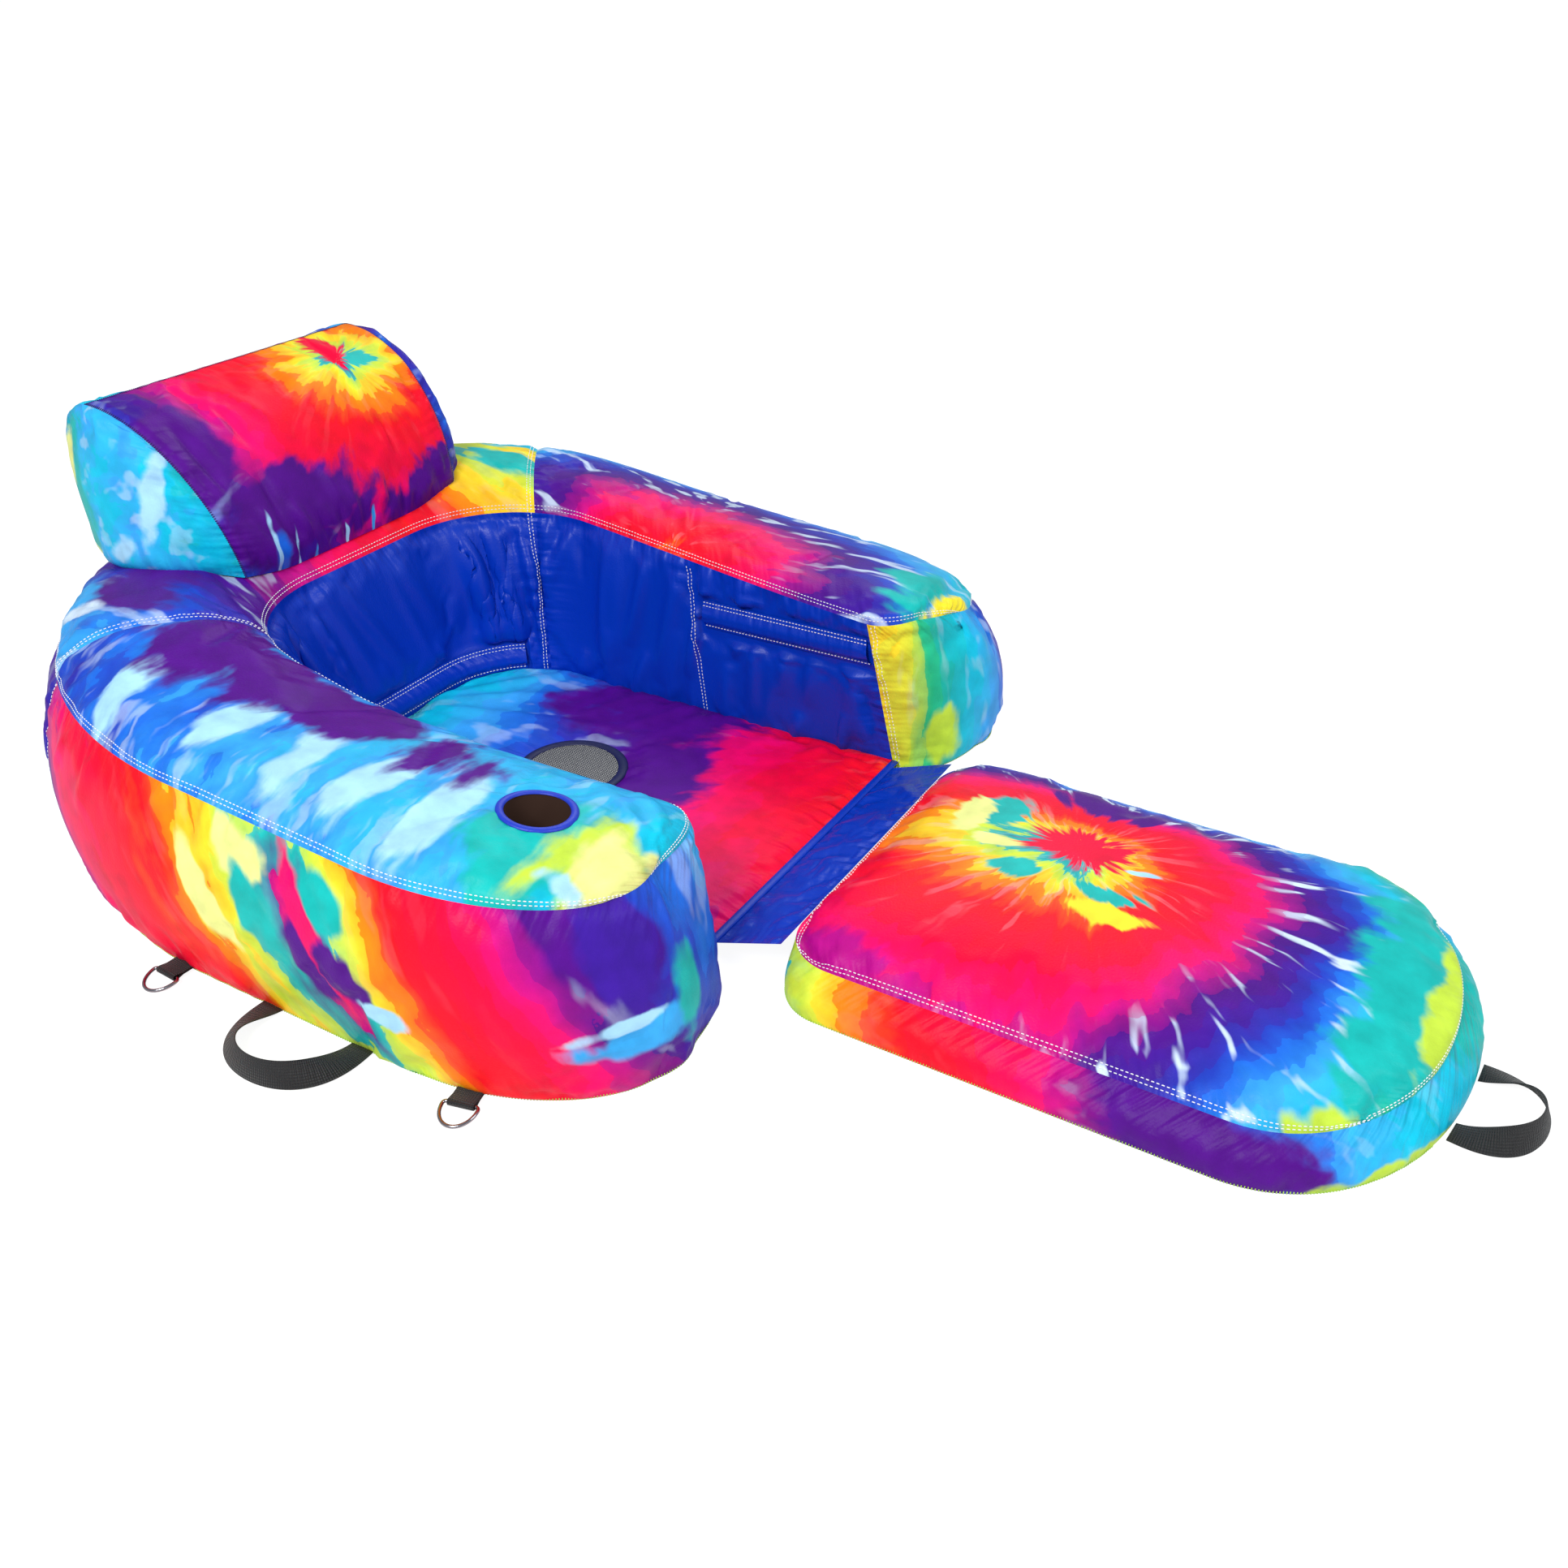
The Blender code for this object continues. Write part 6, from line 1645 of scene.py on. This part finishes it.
sling = add_panels("seat_sling_cloth", [seat], "lounger", ["seat_sling"], "tie_dye_nylon")
seat_size = (2 * float(np.abs(seat.rest[..., 1]).max()), float(np.ptp(seat.rest[..., 0])))
panel_cloth = add_panels("hinge_panel_cloth", [hinge], "hinge_panel", ["hinge_panel"], "blue_nylon")

# Zip flaps


def wall_frames(section, stations, zip_levels):
    """Points on an inner wall along a zip, with the normals into the seat and the directions up the wall."""
    step = 1e-3
    points = side_point(section, True, stations, zip_levels)
    up = side_point(section, True, stations, zip_levels + step) - points
    along = side_point(section, True, stations + step, zip_levels) - points
    normals = unit(np.cross(along, up))
    inward = OVER_SEAT - points
    normals *= np.sign((normals * inward).sum(axis=1))[:, None]
    up -= normals * (up * normals).sum(axis=1)[:, None]
    return points, normals, unit(up)


def flap(name, points, normals, up, most):
    """A flap sewn above a zip that stands off over it; it reaches up by most at the most."""
    share = np.linspace(0.0, 1.0, 19)
    rise = np.minimum(FLAP_TOP, most)[:, None] * (1 - share) + FLAP_LOW * share
    swing = smooth((FLAP_TOP - rise) / (FLAP_TOP - FLAP_BEND))
    tuck = 1 - FLAP_TUCK * smooth((-FLAP_BEND - rise) / FLAP_BEND_RUN)
    out = FLAP_LIFT + FLAP_STAND_OFF * swing * tuck
    grid = points[:, None] + up[:, None] * rise[..., None] + normals[:, None] * out[..., None]
    made = Panel(grid, "blue", normals[len(normals) // 2])
    under = Panel(grid - normals[:, None] * FLAP_CLOTH, "blue", -normals[len(normals) // 2])
    cloth = add_panels(name + "_cloth", [made, under], "lounger", [name], "blue_nylon")
    run = float(np.linalg.norm(np.diff(points, axis=0), axis=1).sum())
    double_row("white", made, "first_column", FLAP_ROW_FIRST, FLAP_ROW_SECOND)
    sew("white", *edge_line(made, "last_column", FLAP_ROW_LOW))


for name, section in ARMS.items():
    ends = []
    for x, level in ((ZIP_ARM_REAR_X, ZIP_REAR_LEVEL), (ZIP_ARM_FRONT_X + FLAP_OVER, ZIP_FRONT_LEVEL)):
        found = side_point(section, True, wall_rows, level)[:, 0]
        ends.append(np.interp(-x, -found, wall_rows))
    stations = np.linspace(*ends, FLAP_POINTS)
    cut, stands = wall_height(section, stations)
    zip_z = np.linspace(ZIP_REAR_LEVEL, ZIP_FRONT_LEVEL, FLAP_POINTS) * cut
    points, normals, up = wall_frames(section, stations, zip_z / stands)
    chord = points[0] + (points[-1] - points[0]) * np.linspace(0.0, 1.0, FLAP_POINTS)[:, None]
    proud = ((points - chord) * normals).sum(axis=1).max()
    flap(name + "_arm_zip_flap", chord + normals * proud, normals, up, stands - zip_z - FLAP_SEAM_GAP)
stations = np.linspace(-BACK_FLAP_STATION, BACK_FLAP_STATION, BACK_FLAP_POINTS)
frames = wall_frames(BACK, stations, np.full(BACK_FLAP_POINTS, ZIP_BACK_LEVEL))
flap("back_zip_flap", *frames, np.full(BACK_FLAP_POINTS, FLAP_TOP))

# Stitching along the seams
for name in SECTIONS:
    double_row("white", ring[name]["top"], "first_column")
    double_row("white", ring[name]["top"], "last_column")
for edge in ("first_row", "last_row"):
    double_row("white", ring["back"]["top"], edge)
    double_row("white", ring["back"]["wall"], edge)
for name in ARMS:
    double_row("white", ring[name]["band"], "last_row")
    double_row("white", ring[name]["band"], "first_row")
    sew_across("lime", *edge_line(ring[name]["band"], "first_column", LIME_INSET), LIME_PITCH)
    wall = ring[name]["wall"]
    row = np.abs(wall.rest[:, len(levels) // 2, 0] - (ZIP_ARM_REAR_X - ZIP_ROW_GAP)).argmin()
    for beside in (0, 1):
        sew("white", wall.grid[row + beside, 3:-2], wall.normals()[row + beside, 3:-2])
for edge in ("first_row", "last_row", "first_column", "last_column"):
    double_row("foot_white", foot["top"], edge)
row, facing = edge_line(foot["band"], "first_column", LIME_INSET)
beside_handle = np.abs(row[:, 1] - FOOT_HANDLE_Y) < FOOT_HANDLE_HALF_SPAN + HELD_RUN
beside_handle &= row[:, 0] > FOOT_HANDLE_ROOT - BESIDE_FOOT_HANDLE
first, last = np.flatnonzero(beside_handle)[[0, -1]]
for part in (slice(None, first), slice(last, None)):
    sew_across("foot_lime", row[part], facing[part], LIME_PITCH)
for edge in ("first_column", "last_column", "last_row"):
    sew_across("navy", *edge_line(head["front"], edge, NAVY_INSET), NAVY_PITCH)
faces = stitch_faces()
for group, finish_name, body in (
    ("white", "thread", "lounger"), ("lime", "lime_thread", "lounger"), ("navy", "navy_thread", "lounger"),
    ("foot_white", "thread", "footrest"), ("foot_lime", "lime_thread", "footrest"),
):
    points = np.concatenate(threads[group])
    starts = np.arange(len(points))[:, None, None] * points.shape[1]
    corners = (starts + faces[None]).reshape(-1, 3)
    add(group + "_stitching", points.reshape(-1, 3), corners, [finish_name], body)

# Cup holder and drain
turns = np.arange(CIRCLE_POINTS) * 2 * math.pi / CIRCLE_POINTS
circle = np.stack([np.cos(turns), np.sin(turns)], axis=1)


def trim_ring(name, node_name, finish_name, centre, inner, outer, height, surface):
    """A bound edge round a hole, rounded over."""
    loops = []
    for turn in np.linspace(math.pi, 0.0, 9):
        radius = (inner + outer) / 2 + (outer - inner) / 2 * math.cos(turn)
        places = np.array(centre) + circle * radius
        lift = EDGE_LIFT + height * math.sin(turn)
        loops.append(np.column_stack([places, surface(places) + lift]))
    add(name, *loops_mesh(loops, caps=False), [finish_name], "lounger", [node_name], "binding")


def cup_surface(places):
    return top_height(NEAR_ARM, places[:, 0], places[:, 1])


def drain_surface(places):
    return np.full(len(places), drain_z)


trim_ring(
    "cup_edge", "cup_binding", "bright_binding", CUP, CUP_RADIUS - CUP_EDGE_IN, CUP_RADIUS + CUP_EDGE_OUT,
    CUP_EDGE_RISE, cup_surface,
)
cup_z = float(cup_surface(np.array([CUP]))[0])
pocket_rows = []
for depth in np.linspace(0.0, 1.0, POCKET_ROWS):
    places = np.array(CUP) + circle * CUP_RADIUS * (1 - CUP_TAPER * depth)
    heights = cup_surface(places) * (1 - depth) + (cup_z - CUP_DEPTH) * depth
    pocket_rows.append(np.column_stack([places, heights]))
points, faces = loops_mesh(np.stack(pocket_rows), caps=False)
faces.append(list(range((POCKET_ROWS - 1) * CIRCLE_POINTS, POCKET_ROWS * CIRCLE_POINTS)))
pocket = add("cup_pocket_cloth", points, faces, ["pocket"], "lounger", ["cup_pocket"], "pocket")
around = seat.grid.reshape(-1, 3)
around = around[np.hypot(around[:, 0] - DRAIN[0], around[:, 1] - DRAIN[1]) < DRAIN_RADIUS + DRAIN_AROUND]
drain_z = float(around[:, 2].mean())
# The drain's bound edge takes the dark navy binding, whose darkness is partly painted shade of the sunken
# drain
trim_ring(
    "drain_edge", "drain_binding", "binding", DRAIN, DRAIN_RADIUS - DRAIN_EDGE_IN,
    DRAIN_RADIUS + DRAIN_EDGE_OUT, DRAIN_EDGE_RISE, drain_surface,
)
net_z = drain_z - NET_DROP
strands = []
for offset in np.arange(-DRAIN_RADIUS, DRAIN_RADIUS, NET_PITCH):
    half = math.sqrt(max((DRAIN_RADIUS + NET_OVER) ** 2 - offset ** 2, 1e-8))
    run = np.linspace(-half, half, NET_POINTS)
    ones = np.ones(NET_POINTS)
    strands.append(np.column_stack([DRAIN[0] + run, ones * (DRAIN[1] + offset), ones * net_z]))
    strands.append(np.column_stack([ones * (DRAIN[0] + offset), DRAIN[1] + run, ones * (net_z + NET_STEP)]))
verts, faces = [], []
for strand in strands:
    points, made = loops_mesh(tube_loops(strand, NET_THREAD, NET_SIDES))
    faces += [[index + len(verts) for index in face] for face in made]
    verts += points.tolist()
add("drain_net", verts, faces, ["net"], "lounger", ["drain_mesh"], "mesh")
hem_x = float(seat.rest[0, 0, 0])
hem_half = float(np.abs(seat.rest[0, 0, 1])) - HEM_GAP
hem_turns = np.linspace(0.0, 2 * math.pi, HEM_SIDES + 1)[:-1]
hem_loops = []
for y in np.linspace(-hem_half, hem_half, 40):
    ring_x = (hem_x + HINGE_BACK[0]) / 2 + ((HINGE_BACK[0] - hem_x) / 2 + HEM_OVER) * np.cos(hem_turns)
    ring_z = SEAT_Z + HEM_RISE * np.sin(hem_turns)
    hem_loops.append(np.column_stack([ring_x, np.full(HEM_SIDES, y), ring_z]))
add("seat_hem", *loops_mesh(hem_loops), ["blue"], "lounger", ["seat_front_binding"], "binding")

# Webbing tabs, rings and handles


def floor_frame(section, x):
    """Place on an arm's outer bottom seam, with the outward and the forward direction there."""
    dense = np.linspace(0.0, 1.0, 4001)
    line = side_point(section, False, dense, 0.0)
    station = np.interp(-x, -line[:, 0], dense)
    origin = side_point(section, False, station, 0.0)
    forward = side_point(section, False, station - 1e-4, 0.0) - origin
    forward /= np.linalg.norm(forward)
    return origin, np.cross(UP, forward) * section[1], forward


def add_strap(name, node_name, path, across, body):
    loops, uv, length = strap_loops(path, across)
    made = add(name, *loops_mesh(loops), ["webbing"], body, [node_name], "webbing", uv=uv)


def tie_point(name, section, x):
    """A folded webbing tab with a wire ring in its fold."""
    origin, outward, forward = floor_frame(section, x)
    bend = WIRE_RADIUS + WIRE_PLAY + WEBBING_THICK / 2
    ply = WEBBING_THICK / 2 + PLY_GAP
    turns = np.linspace(-math.pi / 2, math.pi / 2, 13)
    folded = [(TAB_REACH + bend * math.cos(turn), bend * math.sin(turn)) for turn in turns]
    neck = TAB_REACH - 3 * bend
    flat = [(0.0, -ply), (neck / 2, -ply), (neck, -ply)]
    path = [*flat, *folded, *[(out, -rise) for out, rise in flat[::-1]]]
    path = np.array([origin + outward * out + UP * (TAB_Z + rise) for out, rise in path])
    across = np.tile(forward, (len(path), 1))
    add_strap(name + "_loop", name + "_tab", path, across, "lounger")
    dip = math.asin((TAB_Z - WIRE_RADIUS - WIRE_PLAY) / RING_DEPTH)
    bow = outward * math.cos(dip) - UP * math.sin(dip)
    corner = RING_CORNER
    line = [(along, 0.0) for along in np.linspace(corner - RING_HALF_WIDTH, RING_HALF_WIDTH - corner, 9)]
    line += [
        (RING_HALF_WIDTH - corner + corner * math.cos(turn), corner + corner * math.sin(turn))
        for turn in np.linspace(-math.pi / 2, 0.0, 6)[1:-1]
    ]
    line += [
        (RING_HALF_WIDTH * math.cos(turn), corner + (RING_DEPTH - corner) * math.sin(turn))
        for turn in np.linspace(0.0, math.pi, 33)
    ]
    line += [
        (corner - RING_HALF_WIDTH - corner * math.cos(turn), corner + corner * math.sin(turn))
        for turn in np.linspace(0.0, -math.pi / 2, 6)[1:-1]
    ]
    pivot = origin + outward * TAB_REACH + UP * TAB_Z
    path = np.array([pivot + forward * along + bow * out for along, out in line])
    wire = loops_mesh(tube_loops(path, WIRE_RADIUS, WIRE_SIDES, closed=True), closed=True)
    add(name + "_d_ring", *wire, ["chrome"], name + "_ring", [name + "_ring"], "plated_steel")


def loop_strap(name, place, half_span, reach):
    """A handle that lies in a loop and twists on edge at its middle."""
    turns = np.linspace(0.0, math.pi, 61)
    lift = np.maximum(np.sin(turns), 0.0)
    tilt = HANDLE_TWIST * lift
    along = half_span * np.cos(turns) * (1 + HANDLE_SWELL * lift)
    heights = STRAP_FLOOR + WEBBING_WIDTH / 2 * np.sin(tilt)
    path = np.array([place(*values) for values in zip(along, reach * lift ** LOOP_SQUARENESS, heights)])
    flat = unit(np.gradient(path, axis=0) * [1.0, 1.0, 0.0])
    side = np.cross(UP, flat) * np.cos(tilt)[:, None] + UP * np.sin(tilt)[:, None]
    add_strap(name + "_strap", name, path, side, name)


for side, section in ARMS.items():
    cover = side + "_arm_cover"
    tie_point(side + "_rear", section, TAB_REAR_X)
    tie_point(side + "_front", section, TAB_FRONT_X)
    origin, outward, forward = floor_frame(section, HANDLE_X)
    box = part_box(side + "_handle")
    inner_y = min(abs(box[0][1]), abs(box[1][1]))
    root = inner_y - abs(origin[1])

    def place(along, out, z):
        return origin - forward * along + outward * (root + out) + UP * z

    loop_strap(side + "_handle", place, HANDLE_HALF_SPAN, HANDLE_REACH)
foot_line = np.array([-FOOT_HANDLE_LEAN, -1.0, 0.0]) / math.hypot(1.0, FOOT_HANDLE_LEAN)
foot_out = np.array([-foot_line[1], foot_line[0], 0.0])


def foot_place(along, out, z):
    return np.array([FOOT_HANDLE_ROOT, FOOT_HANDLE_Y, z]) + foot_line * along + foot_out * out


loop_strap("foot_handle", foot_place, FOOT_HANDLE_HALF_SPAN, FOOT_HANDLE_REACH)

# Hard pieces keep their CAD shape and take a finish
for name in ("near_arm", "far_arm", "back"):
    for part, finish_name in (("_zip", "zip_tape"), ("_zip_slider", "chrome"), ("_valve", "vinyl")):
        mesh = bpy.data.objects[name + part].data
        mesh.materials.clear()
        mesh.materials.append(finishes[finish_name])

# Stage: a white floor that keeps the shadow, soft light from above and from three sides, the photo's camera
floor_mesh = bpy.data.meshes.new("floor")
corners = [(x * FLOOR_REACH, y * FLOOR_REACH, 0.0) for x, y in ((-1, -1), (1, -1), (1, 1), (-1, 1))]
floor_mesh.from_pydata(corners, [], [(0, 1, 2, 3)])
floor_finish = finish("floor", FLOOR_SHADE, 0.9, specular=0.0)
tree = floor_finish.node_tree
paper = node(tree, "BsdfDiffuse", {"Color": PAPER_SHADE})
glow = node(tree, "Emission", {"Color": FULL, "Strength": PAPER_GLOW})
paper = node(tree, "AddShader", {0: paper, 1: glow})
seen = node(tree, "LightPath")
paper = node(tree, "MixShader", {0: seen, 1: tree.nodes["Principled BSDF"].outputs[0], 2: paper})
tree.links.new(paper, tree.nodes["Material Output"].inputs["Surface"])
floor_mesh.materials.append(floor_finish)
floor = bpy.data.objects.new("floor", floor_mesh)
bpy.context.scene.collection.objects.link(floor)
floor.location.z = cad_box[0][2] - FLOOR_GAP


def area_light(name, place, target, size, power):
    light = bpy.data.lights.new(name, "AREA")
    light.shape = "DISK"
    light.size = size
    light.energy = power
    made = bpy.data.objects.new(name, light)
    bpy.context.scene.collection.objects.link(made)
    made.location = place
    made.rotation_euler = (Vector(target) - Vector(place)).to_track_quat("-Z", "Y").to_euler()


for light in LIGHTS:
    area_light(*light)
world = bpy.data.worlds.new("studio")
world.use_nodes = True
bpy.context.scene.world = world
sky = world.node_tree.nodes["Background"]
seen = node(world.node_tree, "LightPath")
colour = mixed(world.node_tree, seen, SKY_COLOUR, (SKY_WHITE, SKY_WHITE, SKY_WHITE, 1.0))
world.node_tree.links.new(colour, sky.inputs["Color"])
sky.inputs["Strength"].default_value = SKY_STRENGTH
camera = bpy.data.cameras.new("camera")
camera.lens = LENS
camera.sensor_width = SENSOR_WIDTH
eye = bpy.data.objects.new("camera", camera)
bpy.context.scene.collection.objects.link(eye)
level = math.cos(CAMERA_ELEVATION)
back = Vector((
    math.sin(CAMERA_AZIMUTH) * level, -math.cos(CAMERA_AZIMUTH) * level, math.sin(CAMERA_ELEVATION),
))
eye.location = Vector(CAMERA_TARGET + shift) + back * CAMERA_DISTANCE
eye.rotation_euler = (-back).to_track_quat("-Z", "Y").to_euler()
bpy.context.scene.camera = eye
bpy.context.scene.view_settings.view_transform = "Standard"
